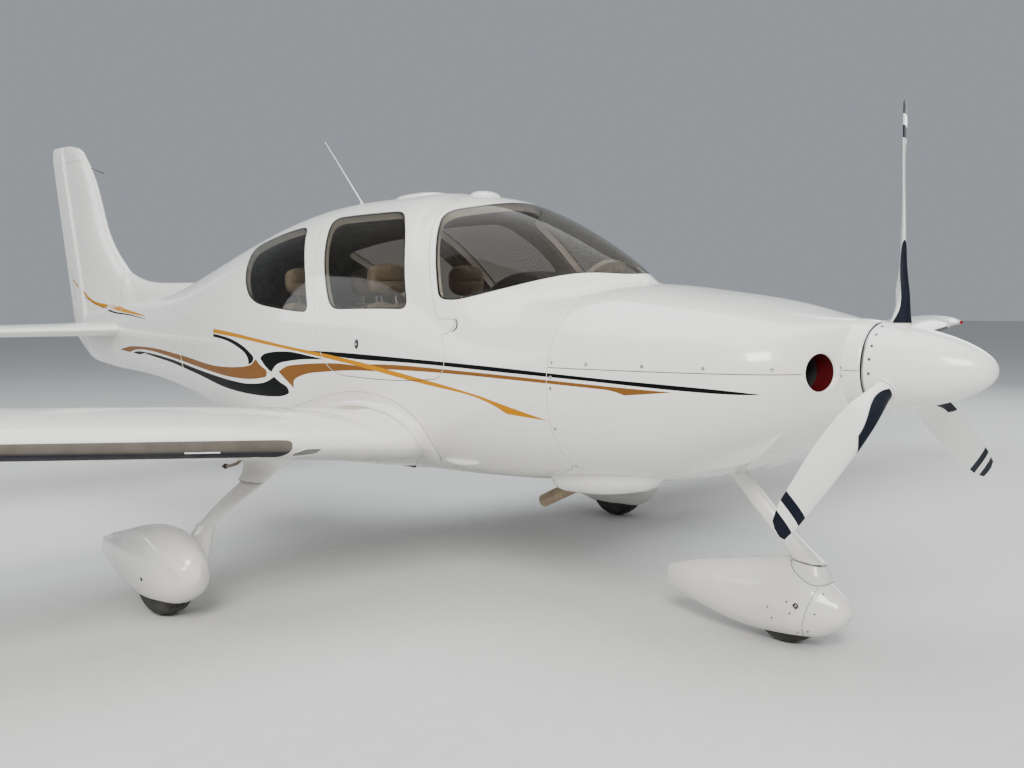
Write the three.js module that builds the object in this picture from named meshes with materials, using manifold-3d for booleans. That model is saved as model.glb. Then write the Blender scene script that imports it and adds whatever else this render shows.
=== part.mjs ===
// Light aircraft: four seats, low wing, fixed tricycle gear with wheel fairings, three-blade propeller.
// Millimetres. +X points to the nose, +Y to port, +Z up. The wheels stand on z = 0.
import * as THREE from "three";
import { mergeVertices } from "three/addons/utils/BufferGeometryUtils.js";
import Module from "manifold-3d";

const wasm = await Module();
wasm.setup();

// Driving dimensions
const NOSE_X = 3960;
const TAIL_X = -3960;
const HALF_SPAN = 5865;
const SEAT_GAP = 0.3;
const RUNNING_GAP = 6;
const CABIN_WALL = 45;
const COWL_WALL = 10;
const GLASS = 6;
const FIREWALL_X = 2365;
const CABIN_AFT_X = -950;
const TAIL_END_X = -3430;
const TAIL_WALL = 25;
const HOLLOW_END_X = -2250;
const WING_PAD = { x: 1080, y: 2900, z: 826, top: 880 };
const TAIL_PAD = { x: -3030, y: 0, z: 886, top: 950 };
const COWL_NOSE_X = 3450;
const FLOOR_Z = 700;
const SEAT = {
  low: 180,
  front: 290,
  top: 320,
  crease: 150,
  lean: 60,
  thick: 110,
  head: { deep: 90, half: 120, high: 190 },
};
const FOCUS = new THREE.Vector3(1050, 0, 1150);
const OUTLINE_RADIUS = 700;
const HUB = { x: 3593, z: 1156, radius: 70 };
const PROP_RADIUS = 990.6;
const SPINNER = { baseX: 3466, radius: 168, wall: 5 };
const MAIN_WHEEL = { x: 882, y: 1607, radius: 193, width: 150, rim: 78 };
const NOSE_WHEEL = { x: 3130, y: 0, radius: 172, width: 126, rim: 66 };
const CASTER_X = 3282;

// Fuselage stations: x, half width, height of the centre, of the belly and of the deck,
// exponent of the upper and of the lower half of the section.
const STATIONS = [
  [3450, 185, 1156, 975, 1335, 2.0, 2.0],
  [3400, 300, 1150, 930, 1342, 2.1, 2.0],
  [3300, 430, 1140, 855, 1358, 2.3, 2.1],
  [3100, 530, 1120, 755, 1403, 2.4, 2.2],
  [2800, 600, 1090, 655, 1448, 2.4, 2.3],
  [2400, 645, 1060, 600, 1485, 2.4, 2.4],
  [1900, 670, 1050, 558, 1545, 2.3, 2.5],
  [1400, 680, 1050, 535, 1900, 2.2, 2.5],
  [900, 680, 1060, 525, 1975, 2.2, 2.5],
  [300, 670, 1070, 535, 1955, 2.2, 2.5],
  [-300, 610, 1090, 600, 1848, 2.15, 2.4],
  [-900, 500, 1120, 700, 1692, 2.1, 2.3],
  [-1600, 365, 1150, 800, 1521, 2.0, 2.1],
  [-2300, 245, 1170, 870, 1430, 2.0, 2.0],
  [-3000, 130, 1180, 912, 1350, 2.0, 2.0],
  [-3600, 50, 1190, 1000, 1310, 2.0, 2.0],
];

// Canopy over the cabin: x, half width, height of the top, exponent.
const CANOPY = [
  [2440, 100, 1487, 2.0],
  [2300, 330, 1577, 2.0],
  [2100, 460, 1690, 2.05],
  [1850, 560, 1810, 2.1],
  [1600, 620, 1900, 2.15],
  [1300, 665, 1952, 2.2],
  [900, 680, 1975, 2.2],
];

// Outlines on the fuselage side: x, angle up from the horizontal in degrees, corner radius.
const DOOR = [
  [1345, 78, 60],
  [1362, 63, 200],
  [1565, 36.4, 400],
  [1758, 12, 110],
  [1742, 1, 70],
  [1450, -1.2, 200],
  [900, -1.5, 150],
  [760, 12, 120],
  [738, 24, 200],
  [600, 48, 300],
  [425, 66, 200],
  [425, 78, 60],
];
const DOOR_WINDOW = [
  [1110, 66.5, 70],
  [1290, 53, 300],
  [1462, 27, 60],
  [1200, 26.5, 200],
  [860, 25.5, 70],
  [760, 37, 300],
  [500, 66.5, 80],
  [800, 67, 200],
];
const REAR_WINDOW = [
  [300, 63.5, 80],
  [560, 41, 200],
  [672, 24, 60],
  [480, 24.5, 200],
  [60, 28, 180],
  [-130, 41, 160],
  [-310, 63, 90],
  [0, 64, 200],
];
// Door hinges: the axis passes through [y, z] low and high, the leaf's outer corner swings forward of
// it, and each leaf has a rear x, a bottom and a top.
const DOOR_HINGE = {
  x: 1798,
  low: [657, 1100],
  high: [600, 1296],
  pin: 5,
  knuckle: 9,
  leaf: 12,
  depth: 35,
  swing: 26,
};
const DOOR_LEAVES = [
  [1640, 1262, 1330],
  [1725, 1082, 1118],
];
const WINDSHIELD = [
  [1372, 68, 70],
  [1470, 54, 300],
  [1632, 32, 45],
  [1760, 33, 150],
  [2090, 54, 300],
  [2300, 73, 250],
  [2392, 90, 150],
];
const WINDSHIELD_TOP = [
  [1622, 90, 100],
  [1560, 77, 200],
];

// Wing sections: y, leading edge x and z, chord, thickness ratio, drop of the trailing edge.
const WING = [
  [480, 1790, 668, 1900, 0.165, 60],
  [660, 1728, 690, 1740, 0.163, 56],
  [820, 1672, 712, 1590, 0.16, 52],
  [1050, 1640, 738, 1500, 0.157, 46],
  [3200, 1522, 942, 1190, 0.15, 24],
  [3215, 1552, 938, 1222, 0.148, 26],
  [5400, 1420, 1146, 870, 0.135, 4],
  [5700, 1372, 1178, 740, 0.12, 0],
  [5815, 1290, 1196, 560, 0.1, 0],
  [HALF_SPAN, 1130, 1206, 300, 0.075, 0],
];
const WING_CAMBER = 0.028;
const THIN_EDGE = 0.0022;
const HINGE_FRACTION = 0.74;
const FLAP_Y = [840, 3120];
const AILERON_Y = [3260, 5240];

// Stabiliser sections: y, leading edge x and z, chord, thickness ratio, drop. The elevators' hinge
// is square to the fuselage.
const STABILIZER = [
  [0, -2342.4, 1205, 960, 0.11, 0],
  [1700, -2540.4, 1205, 660, 0.11, 0],
  [1900, -2606.4, 1205, 560, 0.1, 0],
  [1960, -2712, 1205, 400, 0.07, 0],
];
const ELEVATOR_Y = [215, 1880];
const ELEVATOR_FRACTION = 0.66;

// Fin sections: z, leading edge x, half thickness. The rudder hinge and trailing edge are straight.
const FIN = [
  [1150, -2420, 62],
  [1500, -2450, 60],
  [1640, -2630, 56],
  [1830, -2870, 51],
  [2230, -3100, 42],
  [2490, -3260, 36],
  [2600, -3360, 30],
  [2665, -3500, 22],
  [2690, -3640, 12],
];
const hingeX = (z) => -3352 - 0.285 * (z - 1260);
const trailingX = (z) => Math.max(TAIL_X, -3640 - 0.24 * (z - 1260));

// Rudder sections: z, half thickness at the hinge, trailing edge x.
const RUDDER = [
  [965, 40, hingeX(965) - 70],
  [1020, 52, -3440],
  [1130, 56, -3596],
  [1260, 54, trailingX(1260)],
  [1500, 40, trailingX(1500)],
  [2490, 30, trailingX(2490)],
  [2600, 26, trailingX(2600)],
  [2660, 18, -3950],
  [2690, 9, -3930],
];

// Cowl: height of its level seam, rear of its nose ring, and the inlets' centre, half width and half
// height.
const COWL_SEAM_Z = 1136;
const NOSE_RING_X = 3290;
const INLET = { y: 268, z: 1140, half: 58, high: 68 };

const ENGINE = { low: 880, high: 1300 };
const EXHAUST = { from: [2560, -225, 885], knee: [2330, -262, 640], to: [1985, -262, 478], radius: 31 };
// Exhaust fairing under the cowl: x, half width, half height.
const EXHAUST_BUMP = [
  [2062, 10, 16],
  [2120, 88, 62],
  [2330, 118, 84],
  [2560, 96, 70],
  [2680, 20, 20],
];

// Nose leg: from the firewall forward and down to the caster pivot.
const LEG = { topX: 2560, topZ: 880, kneeX: 2770, kneeZ: 740, footZ: 385 };
const NOSE_LEG_WAIST = { x: 3010, z: 530, deep: 44, wide: 28 };

// Main leg sections: x, y, z, half depth fore and aft, half thickness.
const MAIN_LEG = [
  [1040, 1120, 700, 105, 26],
  [1035, 1170, 630, 98, 25],
  [1005, 1330, 500, 72, 22],
  [950, 1440, 380, 56, 19],
  [900, 1490, 270, 46, 16],
  [884, 1500, 160, 40, 14],
];

const AXLE_RADIUS = 16;
const TOW_LUG_Y = 142;
const WHEEL_SIDES = 18;

// Wheel fairings: x, half width, bottom z, top z.
const MAIN_PANT = [
  [288, 12, 262, 292],
  [420, 52, 205, 345],
  [600, 92, 125, 400],
  [800, 118, 66, 425],
  [980, 124, 48, 418],
  [1130, 112, 58, 380],
  [1240, 82, 98, 325],
  [1300, 42, 150, 268],
  [1318, 12, 185, 225],
];
const NOSE_PANT = [
  [2520, 16, 120, 200],
  [2600, 52, 85, 260],
  [2740, 92, 55, 318],
  [2920, 124, 40, 352],
  [3080, 132, 34, 366],
  [3220, 124, 40, 364],
  [3340, 98, 66, 330],
  [3425, 58, 116, 272],
  [3455, 16, 160, 215],
];

// Dorsal ridge ahead of the fin: x, half width, height of its top.
const RIDGE = [
  [-1500, 25, 1540],
  [-1870, 48, 1545],
  [-2300, 58, 1560],
  [-2480, 56, 1592],
  [-2640, 50, 1644],
];

// Propeller blade sections: radius, chord, thickness, pitch in degrees from the plane of rotation.
const BLADE = [
  [HUB.radius + SEAT_GAP, 78, 78, 0],
  [185, 78, 78, 0],
  [235, 92, 56, 46],
  [330, 118, 34, 40],
  [500, 134, 21, 31],
  [700, 128, 14, 24],
  [850, 112, 11, 20],
  [940, 88, 8, 18],
  [978, 56, 6, 17],
  [PROP_RADIUS, 22, 4, 17],
];

// Materials: colour, roughness, metalness.
const PAINT = {
  white: [0xe9e9e6, 0.25, 0.0],
  grey: [0x7d8083, 0.45, 0.3],
  steel: [0x9a9c9f, 0.35, 0.9],
  dark: [0x2b2b2d, 0.6, 0.1],
  rubber: [0x1c1c1d, 0.9, 0.0],
  glass: [0xa9c3c9, 0.05, 0.0],
  black: [0x17181a, 0.4, 0.2],
  tan: [0xa08a6c, 0.5, 0.6],
  leather: [0x9c8f7d, 0.6, 0.0],
};

const group = new THREE.Group();
group.name = "light_aircraft";

const degrees = (value) => (value * Math.PI) / 180;
const column = (table, k) => table.map((row) => row[k]);
const vector = (x, y, z) => new THREE.Vector3(x, y, z);

// Natural cubic spline through a table's column, as a function of its first column.
function spline(table, k) {
  const rows = [...table].sort((a, b) => a[0] - b[0]);
  const x = column(rows, 0);
  const y = column(rows, k);
  const n = x.length;
  const m = new Array(n).fill(0);
  const c = new Array(n).fill(0);
  const d = new Array(n).fill(0);
  for (let i = 1; i < n - 1; i += 1) {
    const left = x[i] - x[i - 1];
    const right = x[i + 1] - x[i];
    const slope = 6 * ((y[i + 1] - y[i]) / right - (y[i] - y[i - 1]) / left);
    const pivot = 2 * (left + right) - left * c[i - 1];
    c[i] = right / pivot;
    d[i] = (slope - left * d[i - 1]) / pivot;
  }
  for (let i = n - 2; i > 0; i -= 1) m[i] = d[i] - c[i] * m[i + 1];
  return (at) => {
    const p = Math.min(Math.max(at, x[0]), x[n - 1]);
    let i = 0;
    while (i < n - 2 && p > x[i + 1]) i += 1;
    const h = x[i + 1] - x[i];
    const a = (x[i + 1] - p) / h;
    const b = 1 - a;
    return a * y[i] + b * y[i + 1] + (((a ** 3 - a) * m[i] + (b ** 3 - b) * m[i + 1]) * h * h) / 6;
  };
}

const [halfWidth, centreZ, bellyZ, deckZ, upperPower, lowerPower] = [1, 2, 3, 4, 5, 6].map((k) =>
  spline(STATIONS, k),
);
const [canopyWidth, canopyZ, canopyPower] = [1, 2, 3].map((k) => spline(CANOPY, k));

// Radius of a superellipse quarter at an angle.
function superRadius(width, height, power, angle) {
  const across = Math.abs(Math.cos(angle) / width) ** power;
  const upward = Math.abs(Math.sin(angle) / height) ** power;
  return (across + upward) ** (-1 / power);
}

// Distance from the fuselage centre to its skin at a station and an angle.
function skinRadius(x, angle) {
  const up = Math.sin(angle) >= 0;
  const centre = centreZ(x);
  const height = up ? deckZ(x) - centre : centre - bellyZ(x);
  const body = superRadius(halfWidth(x), height, up ? upperPower(x) : lowerPower(x), angle);
  if (!up || x < 900 || x > 2440) return body;
  return Math.max(body, superRadius(canopyWidth(x), canopyZ(x) - centre, canopyPower(x), angle));
}

// A point on the skin, or inset from it.
function skinPoint(x, angle, inset = 0) {
  const radius = skinRadius(x, angle) - inset;
  return vector(x, radius * Math.cos(angle), centreZ(x) + radius * Math.sin(angle));
}

// Closed geometry from points and triangles, turned so that its faces point out.
function closed(points, faces) {
  let volume = 0;
  const cross = vector(0, 0, 0);
  for (const [a, b, c] of faces) volume += points[a].dot(cross.crossVectors(points[b], points[c]));
  const index = volume < 0 ? faces.flatMap(([a, b, c]) => [a, c, b]) : faces.flat();
  const geometry = new THREE.BufferGeometry().setFromPoints(points);
  geometry.setIndex(index);
  return geometry;
}

// Solid skinned over rings of equal count, with a fan on each end.
function loft(rings) {
  const count = rings[0].length;
  const points = rings.flat();
  const faces = [];
  for (let i = 0; i < rings.length - 1; i += 1) {
    for (let j = 0; j < count; j += 1) {
      const a = i * count + j;
      const b = i * count + ((j + 1) % count);
      faces.push([a, b, b + count], [a, b + count, a + count]);
    }
  }
  for (const [ring, start] of [[rings[0], 0], [rings.at(-1), (rings.length - 1) * count]]) {
    const middle = ring.reduce((sum, p) => sum.add(p), vector(0, 0, 0)).divideScalar(count);
    const centre = points.push(middle) - 1;
    for (let j = 0; j < count; j += 1) {
      const edge = [start + ((j + 1) % count), start + j];
      faces.push(start ? [centre, edge[1], edge[0]] : [centre, edge[0], edge[1]]);
    }
  }
  return closed(points, faces);
}

// Manifold solid of a closed geometry.
function solid(geometry) {
  const bare = geometry.clone();
  for (const name of ["normal", "uv"]) bare.deleteAttribute(name);
  const merged = mergeVertices(bare, 1e-3);
  const mesh = new wasm.Mesh({
    numProp: 3,
    vertProperties: merged.attributes.position.array,
    triVerts: new Uint32Array(merged.index.array),
  });
  return new wasm.Manifold(mesh);
}

// Geometry of a manifold solid.
function geometryOf(manifold) {
  const { vertProperties, triVerts, numProp } = manifold.getMesh();
  const flat = new Float32Array((vertProperties.length / numProp) * 3);
  for (let i = 0; i < flat.length / 3; i += 1) {
    flat.set(vertProperties.subarray(i * numProp, i * numProp + 3), i * 3);
  }
  const geometry = new THREE.BufferGeometry();
  geometry.setAttribute("position", new THREE.BufferAttribute(flat, 3));
  geometry.setIndex(new THREE.BufferAttribute(new Uint32Array(triVerts), 1));
  return geometry;
}

// The same geometry on the other side of the plane y = 0.
function mirrored(geometry) {
  const other = geometry.clone();
  const place = other.attributes.position;
  for (let i = 0; i < place.count; i += 1) place.setY(i, -place.getY(i));
  const { array } = other.index;
  for (let i = 0; i < array.length; i += 3) [array[i + 1], array[i + 2]] = [array[i + 2], array[i + 1]];
  return other;
}

const join = (...parts) => parts.reduce((sum, part) => sum.add(part));
const cut = (body, ...tools) => tools.reduce((left, tool) => left.subtract(tool), body);

// Box between two corners.
function box(low, high) {
  const size = high.map((value, k) => value - low[k]);
  const geometry = new THREE.BoxGeometry(...size);
  geometry.translate(...low.map((value, k) => value + size[k] / 2));
  return solid(geometry);
}

// Round bar between two points, with its own radius at each end.
function rod(from, to, radius, endRadius = radius, sides = 12) {
  const along = to.clone().sub(from);
  const geometry = new THREE.CylinderGeometry(endRadius, radius, along.length(), sides);
  geometry.applyQuaternion(
    new THREE.Quaternion().setFromUnitVectors(vector(0, 1, 0), along.clone().normalize()),
  );
  geometry.translate(...from.clone().add(to).divideScalar(2).toArray());
  return solid(geometry);
}

// Turned body about an axis through a centre: profile of [distance along the axis, radius].
function turned(profile, centre, axis, sides = 24) {
  const points = profile.map(([along, radius]) => new THREE.Vector2(radius, along));
  const geometry = new THREE.LatheGeometry(points, sides);
  geometry.applyQuaternion(new THREE.Quaternion().setFromUnitVectors(vector(0, 1, 0), axis));
  geometry.translate(...centre.toArray());
  const merged = mergeVertices(geometry.deleteAttribute("normal").deleteAttribute("uv"), 1e-3);
  return solid(outward(merged));
}

// Reverses a geometry's faces if they point inwards.
function outward(geometry) {
  const place = geometry.attributes.position;
  const points = Array.from({ length: place.count }, (_, i) => vector().fromBufferAttribute(place, i));
  const { array } = geometry.index;
  const faces = [];
  for (let i = 0; i < array.length; i += 3) {
    const face = [array[i], array[i + 1], array[i + 2]];
    if (new Set(face).size === 3) faces.push(face);
  }
  return closed(points, faces);
}

// Plate cut from a side outline of [x, z], between two widths.
function plate(outline, low, high) {
  const rings = [low, high].map((y) => outline.map(([x, z]) => vector(x, y, z)));
  return solid(loft(rings));
}

function add(name, shape, [color, roughness, metalness]) {
  const geometry = shape.isBufferGeometry ? shape : geometryOf(shape);
  const transparent = color === PAINT.glass[0];
  const material = new THREE.MeshStandardMaterial({ color, roughness, metalness });
  if (transparent) Object.assign(material, { transparent, opacity: 0.35 });
  const mesh = new THREE.Mesh(geometry, material);
  mesh.name = name;
  group.add(mesh);
  return geometry;
}

// Adds a piece on the port side and its mirror image on the starboard side.
function addPair(name, shape, paint) {
  const left = add(`${name}_left`, shape, paint);
  add(`${name}_right`, mirrored(left), paint);
}

// Fuselage: angles round the section.
const SECTION_SIDES = 28;
const ANGLES = Array.from({ length: SECTION_SIDES }, (_, i) => degrees((360 / SECTION_SIDES) * i));

// Front edge of the fuselage and rear edge of the cowl at an angle: it runs forward round the
// windshield base and aft under the belly.
function cowlSeam(angle) {
  const turn = (Math.asin(Math.sin(angle)) * 180) / Math.PI;
  const upper = THREE.MathUtils.smoothstep(turn, 40, 80);
  const lower = THREE.MathUtils.smoothstep(-turn, 34, 60);
  return FIREWALL_X + 115 * upper - 322 * lower;
}

// Solid within the skin between two ends, each a number or a function of the angle.
function fuselageSolid(fromX, toX, inset, between) {
  const at = (end, angle) => (typeof end === "function" ? end(angle) : end);
  const shares = [0, ...between, 1];
  return solid(
    loft(
      shares.map((share) =>
        ANGLES.map((angle) => {
          const x = at(fromX, angle) * (1 - share) + at(toX, angle) * share;
          return skinPoint(x, angle, inset);
        }),
      ),
    ),
  );
}

const evenly = (count) => Array.from({ length: count - 1 }, (_, i) => (i + 1) / count);
const CABIN_SHARES = [0.012, 0.055, 0.115, 0.19, 0.27, 0.36, 0.47, 0.62, 0.8];

// Smooth outline on the skin, moved outwards by an offset: an array of [x, angle].
function sideOutline(corners, offset, symmetric = false) {
  const flat = corners.map(([x, angle, radius]) => ({
    place: new THREE.Vector2(x, degrees(angle) * OUTLINE_RADIUS),
    radius,
  }));
  const path = new THREE.Path();
  flat.forEach(({ place, radius }, i) => {
    const before = flat.at(i - 1).place;
    const after = flat[(i + 1) % flat.length].place;
    const reach = (other) => Math.min(radius, other.distanceTo(place) * 0.48);
    const start = place.clone().lerp(before, reach(before) / before.distanceTo(place));
    const end = place.clone().lerp(after, reach(after) / after.distanceTo(place));
    if (i === 0) path.moveTo(start.x, start.y);
    else path.lineTo(start.x, start.y);
    path.quadraticCurveTo(place.x, place.y, end.x, end.y);
  });
  path.closePath();
  const dense = path.getSpacedPoints(symmetric ? 36 : 26).slice(0, -1);
  const clockwise = THREE.ShapeUtils.area(dense) < 0 ? 1 : -1;
  return dense.map((point, i) => {
    const ahead = dense[(i + 1) % dense.length].clone().sub(dense.at(i - 1));
    const normal = new THREE.Vector2(-ahead.y, ahead.x).normalize().multiplyScalar(clockwise * offset);
    const moved = point.clone().add(normal);
    return [moved.x, moved.y / OUTLINE_RADIUS];
  });
}

// Cone from the cabin's middle through an outline on the skin.
function cone(outline, near = 0.6, far = 1.6) {
  const rim = outline.map(([x, angle]) => skinPoint(x, angle));
  const ring = (share) => rim.map((point) => FOCUS.clone().lerp(point, share));
  return solid(loft([ring(near), ring(far)]));
}

function mirrorSolid(shape) {
  return solid(mirrored(geometryOf(shape)));
}

// Windshield outline over both sides.
function windshieldOutline(offset) {
  const port = [...WINDSHIELD_TOP, ...WINDSHIELD];
  const starboard = port
    .filter(([, angle]) => angle < 90)
    .map(([x, angle, radius]) => [x, 180 - angle, radius])
    .reverse();
  return sideOutline([...port, ...starboard], offset, true);
}

// Port door's hinges: the leaves on the door, the pockets in the shell round them, and the pins.
function doorHinges(outer, leafDepth) {
  const { x, low, high, pin, knuckle, depth, swing } = DOOR_HINGE;
  const at = (z) => vector(x, low[0] + ((high[0] - low[0]) * (z - low[1])) / (high[1] - low[1]), z);
  const behindPocket = fuselageSolid(cowlSeam, CABIN_AFT_X, depth, CABIN_SHARES);
  const pieces = DOOR_LEAVES.map(([back, bottom, top]) => {
    const plateBox = box([back, 400, bottom], [x, 900, top]);
    const round = rod(at(bottom), at(top), knuckle).intersect(outer);
    const bore = rod(at(bottom - 10), at(top + 10), pin + 0.8);
    const front = x + swing + RUNNING_GAP;
    const room = box([back - RUNNING_GAP, 400, bottom - RUNNING_GAP], [front, 900, top + RUNNING_GAP]);
    return {
      leaf: cut(join(plateBox.intersect(leafDepth), round), bore),
      pocket: cut(room, behindPocket),
      pin: rod(at(bottom - 16), at(top + 16), pin),
    };
  });
  return ["leaf", "pocket", "pin"].map((kind) => join(...pieces.map((piece) => piece[kind])));
}

function cabin() {
  const outer = fuselageSolid(cowlSeam, CABIN_AFT_X, 0, CABIN_SHARES);
  const lining = fuselageSolid(2215, CABIN_AFT_X + 40, CABIN_WALL, CABIN_SHARES);
  const footwell = box([1950, -900, 300], [2500, 900, 900]);
  const room = cut(lining, footwell);
  const skin = fuselageSolid(cowlSeam, CABIN_AFT_X, GLASS, CABIN_SHARES);
  const shell = cut(outer, room);
  const pane = cut(outer, skin);
  const doorGap = RUNNING_GAP / 2;
  const doorCone = cone(sideOutline(DOOR, -doorGap));
  const doorway = cone(sideOutline(DOOR, doorGap));
  const windowCone = cone(sideOutline(DOOR_WINDOW, 0));
  const windowHole = cone(sideOutline(DOOR_WINDOW, SEAT_GAP));
  const rearCone = cone(sideOutline(REAR_WINDOW, 0));
  const rearHole = cone(sideOutline(REAR_WINDOW, SEAT_GAP));
  const frontCone = cone(windshieldOutline(0));
  const frontHole = cone(windshieldOutline(SEAT_GAP));
  const holes = [doorway, mirrorSolid(doorway), rearHole, mirrorSolid(rearHole), frontHole];
  const leafDepth = cut(outer, fuselageSolid(cowlSeam, CABIN_AFT_X, DOOR_HINGE.leaf, CABIN_SHARES));
  const [leaves, pockets, pins] = doorHinges(outer, leafDepth);
  const open = cut(shell, ...holes, pockets, mirrorSolid(pockets));
  add("cabin_shell", join(open, pins, mirrorSolid(pins)), PAINT.white);
  addPair("door", cut(shell.intersect(doorCone).add(leaves), windowHole), PAINT.white);
  addPair("door_window", pane.intersect(windowCone), PAINT.glass);
  addPair("rear_window", pane.intersect(rearCone), PAINT.glass);
  add("windshield", pane.intersect(frontCone), PAINT.glass);
  const inside = cut(
    fuselageSolid(2214, CABIN_AFT_X + 41, CABIN_WALL + SEAT_GAP + 0.5, CABIN_SHARES),
    box([1949, -900, 300], [2500, 900, 901]),
  );
  add("cabin_floor", inside.intersect(box([-820, -900, 400], [1940, 900, FLOOR_Z])), PAINT.dark);
  const clearOfDoors = fuselageSolid(2214, CABIN_AFT_X + 41, CABIN_WALL + RUNNING_GAP + 2, CABIN_SHARES);
  const panel = join(
    box([1760, -560, 1010], [1860, 560, 1330]),
    box([1700, -600, 1330], [2240, 600, 1385]),
    box([1800, -230, FLOOR_Z + SEAT_GAP], [1940, 230, 1100]),
  );
  add("instrument_panel", inside.intersect(panel).intersect(clearOfDoors), PAINT.black);
}

// Seat: cushion, leaning back, plinth and headrests. Centre y, half width, front and back x.
function seat(name, y, half, frontX, backX, topZ, headrests) {
  const { low, front, top, crease, lean, thick, head } = SEAT;
  const cushion = [
    [frontX, FLOOR_Z + low],
    [frontX + 10, FLOOR_Z + front],
    [frontX - 60, FLOOR_Z + top],
    [backX + crease, FLOOR_Z + front],
    [backX + 20, FLOOR_Z + low],
  ];
  const back = [
    [backX + 20, FLOOR_Z + low],
    [backX + crease - 30, FLOOR_Z + low],
    [backX + crease, FLOOR_Z + front],
    [backX + lean, topZ],
    [backX + lean - thick, topZ + 10],
  ];
  const plinth = box(
    [backX + 40, y - half * 0.6, FLOOR_Z + SEAT_GAP],
    [frontX - 40, y + half * 0.6, FLOOR_Z + low + 10],
  );
  let shape = join(plate(cushion, y - half, y + half), plate(back, y - half, y + half), plinth);
  for (const centre of headrests) {
    const deep = head.deep / 2;
    const low = [backX - deep, centre - head.half, topZ - 10];
    shape = join(shape, box(low, [backX + deep, centre + head.half, topZ + head.high]));
  }
  add(name, shape, PAINT.leather);
}

function seats() {
  seat("seat_front_left", 285, 225, 1400, 870, 1430, [285]);
  seat("seat_front_right", -285, 225, 1400, 870, 1430, [-285]);
  seat("seat_rear", 0, 470, 560, 40, 1420, [260, -260]);
}

// Half thickness of an aerofoil, as a share of its chord, by the usual four-term root formula.
function halfThickness(ratio, u) {
  const shape = 0.2969 * Math.sqrt(u) - 0.126 * u - 0.3516 * u ** 2 + 0.2843 * u ** 3 - 0.1015 * u ** 4;
  return 5 * ratio * shape;
}

const meanLine = (camber, u) => 4 * camber * u * (1 - u);

// Aerofoil ring at a span station, on a curved mean line.
function aerofoil([y, leadX, leadZ, chord, ratio, drop], camber, inflate = 0) {
  const shares = [1, 0.86, 0.7, 0.5, 0.3, 0.15, 0.06, 0.015, 0];
  const place = (u, side) => {
    const half = side * Math.max(halfThickness(ratio, u), THIN_EDGE);
    const z = leadZ + chord * (meanLine(camber, u) + half) - drop * u + side * inflate;
    return vector(leadX + inflate - (chord + 2 * inflate) * u, y, z);
  };
  const upper = shares.map((u) => place(u, 1));
  const lower = shares.slice(0, -1).reverse().map((u) => place(u, -1));
  return [...upper, ...lower];
}

// Linear value of a section table's column at a span station.
function sectionAt(table, y) {
  const i = Math.max(table.findIndex((row) => row[0] >= y), 1);
  const share = (y - table[i - 1][0]) / (table[i][0] - table[i - 1][0]);
  return table[i].map((value, k) => table[i - 1][k] + (value - table[i - 1][k]) * share);
}

// Point of the hinge line at a span station, and the surface's height above it and below it.
function hingeAt(table, camber, fraction, y) {
  const [, leadX, leadZ, chord, ratio, drop] = sectionAt(table, y);
  const height = leadZ + chord * meanLine(camber, fraction) - drop * fraction;
  return { point: vector(leadX - chord * fraction, y, height), half: chord * halfThickness(ratio, fraction) };
}

// Hinge of a control surface: a pinned lug on the fixed side and its slot in the moving side.
function lugAndSlot(point, axis, forward, reach) {
  const side = axis.clone().cross(forward).normalize();
  const arm = (thick, high, back, ahead) => {
    const corners = [
      [-back, -high],
      [ahead, -high],
      [ahead, high],
      [-back, high],
    ];
    const ring = (k) =>
      corners.map(([f, s]) =>
        point.clone().addScaledVector(forward, f).addScaledVector(side, s).addScaledVector(axis, k),
      );
    return solid(loft([ring(-thick / 2), ring(thick / 2)]));
  };
  const along = (k) => point.clone().addScaledVector(axis, k);
  const lug = join(arm(10, 9, 9, reach), rod(along(-28), along(28), 5, 5, 8));
  const slot = join(arm(22, 150, 17, 300), rod(along(-29), along(29), 5.8, 5.8, 8));
  return { lug, slot };
}

const BARREL_SIDES = 12;
const SLICE = { aft: 900, high: 400 };

// Splits a lifting surface at a hinge line between two span stations.
// axisDrop moves the hinge from the middle of the thickness (0) to the lower skin (1).
function splitSurface(whole, hinge, span, axisDrop, hingeYs) {
  const ends = span.map((y) => {
    const { point, half } = hinge(y);
    const low = axisDrop * (half - 10);
    return { point: point.clone().setZ(point.z - low), radius: half + low };
  });
  const axis = ends[1].point.clone().sub(ends[0].point).normalize();
  const aft = vector(-1, 0, 0).addScaledVector(axis, axis.x).normalize();
  const upward = aft.clone().cross(axis);
  const place = (end, side, back, high) =>
    end.point.clone().addScaledVector(axis, side).addScaledVector(aft, back).addScaledVector(upward, high);
  const behind = (side) => {
    const ring = (end, offset) =>
      [
        [0, -SLICE.high],
        [0, SLICE.high],
        [SLICE.aft, SLICE.high],
        [SLICE.aft, -SLICE.high],
      ].map(([back, high]) => place(end, offset, back, high));
    return solid(loft([ring(ends[0], -side), ring(ends[1], side)]));
  };
  const barrel = (grow, side) => {
    const ring = (end, offset) =>
      Array.from({ length: BARREL_SIDES }, (_, i) => {
        const angle = (2 * Math.PI * i) / BARREL_SIDES;
        const radius = end.radius + grow;
        return place(end, offset, radius * Math.cos(angle), radius * Math.sin(angle));
      });
    return solid(loft([ring(ends[0], -side), ring(ends[1], side)]));
  };
  const side = RUNNING_GAP / 2;
  let fixed = cut(whole, behind(side), barrel(RUNNING_GAP, side));
  let moving = whole.intersect(join(behind(-side), barrel(0, -side)));
  const forward = vector(1, 0, 0);
  for (const y of hingeYs) {
    const share = (y - span[0]) / (span[1] - span[0]);
    const point = ends[0].point.clone().lerp(ends[1].point, share);
    const radius = ends[0].radius + (ends[1].radius - ends[0].radius) * share;
    const { lug, slot } = lugAndSlot(point, axis, forward, radius + RUNNING_GAP + 12);
    fixed = fixed.add(lug);
    moving = moving.subtract(slot);
  }
  return { fixed, moving };
}

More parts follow.
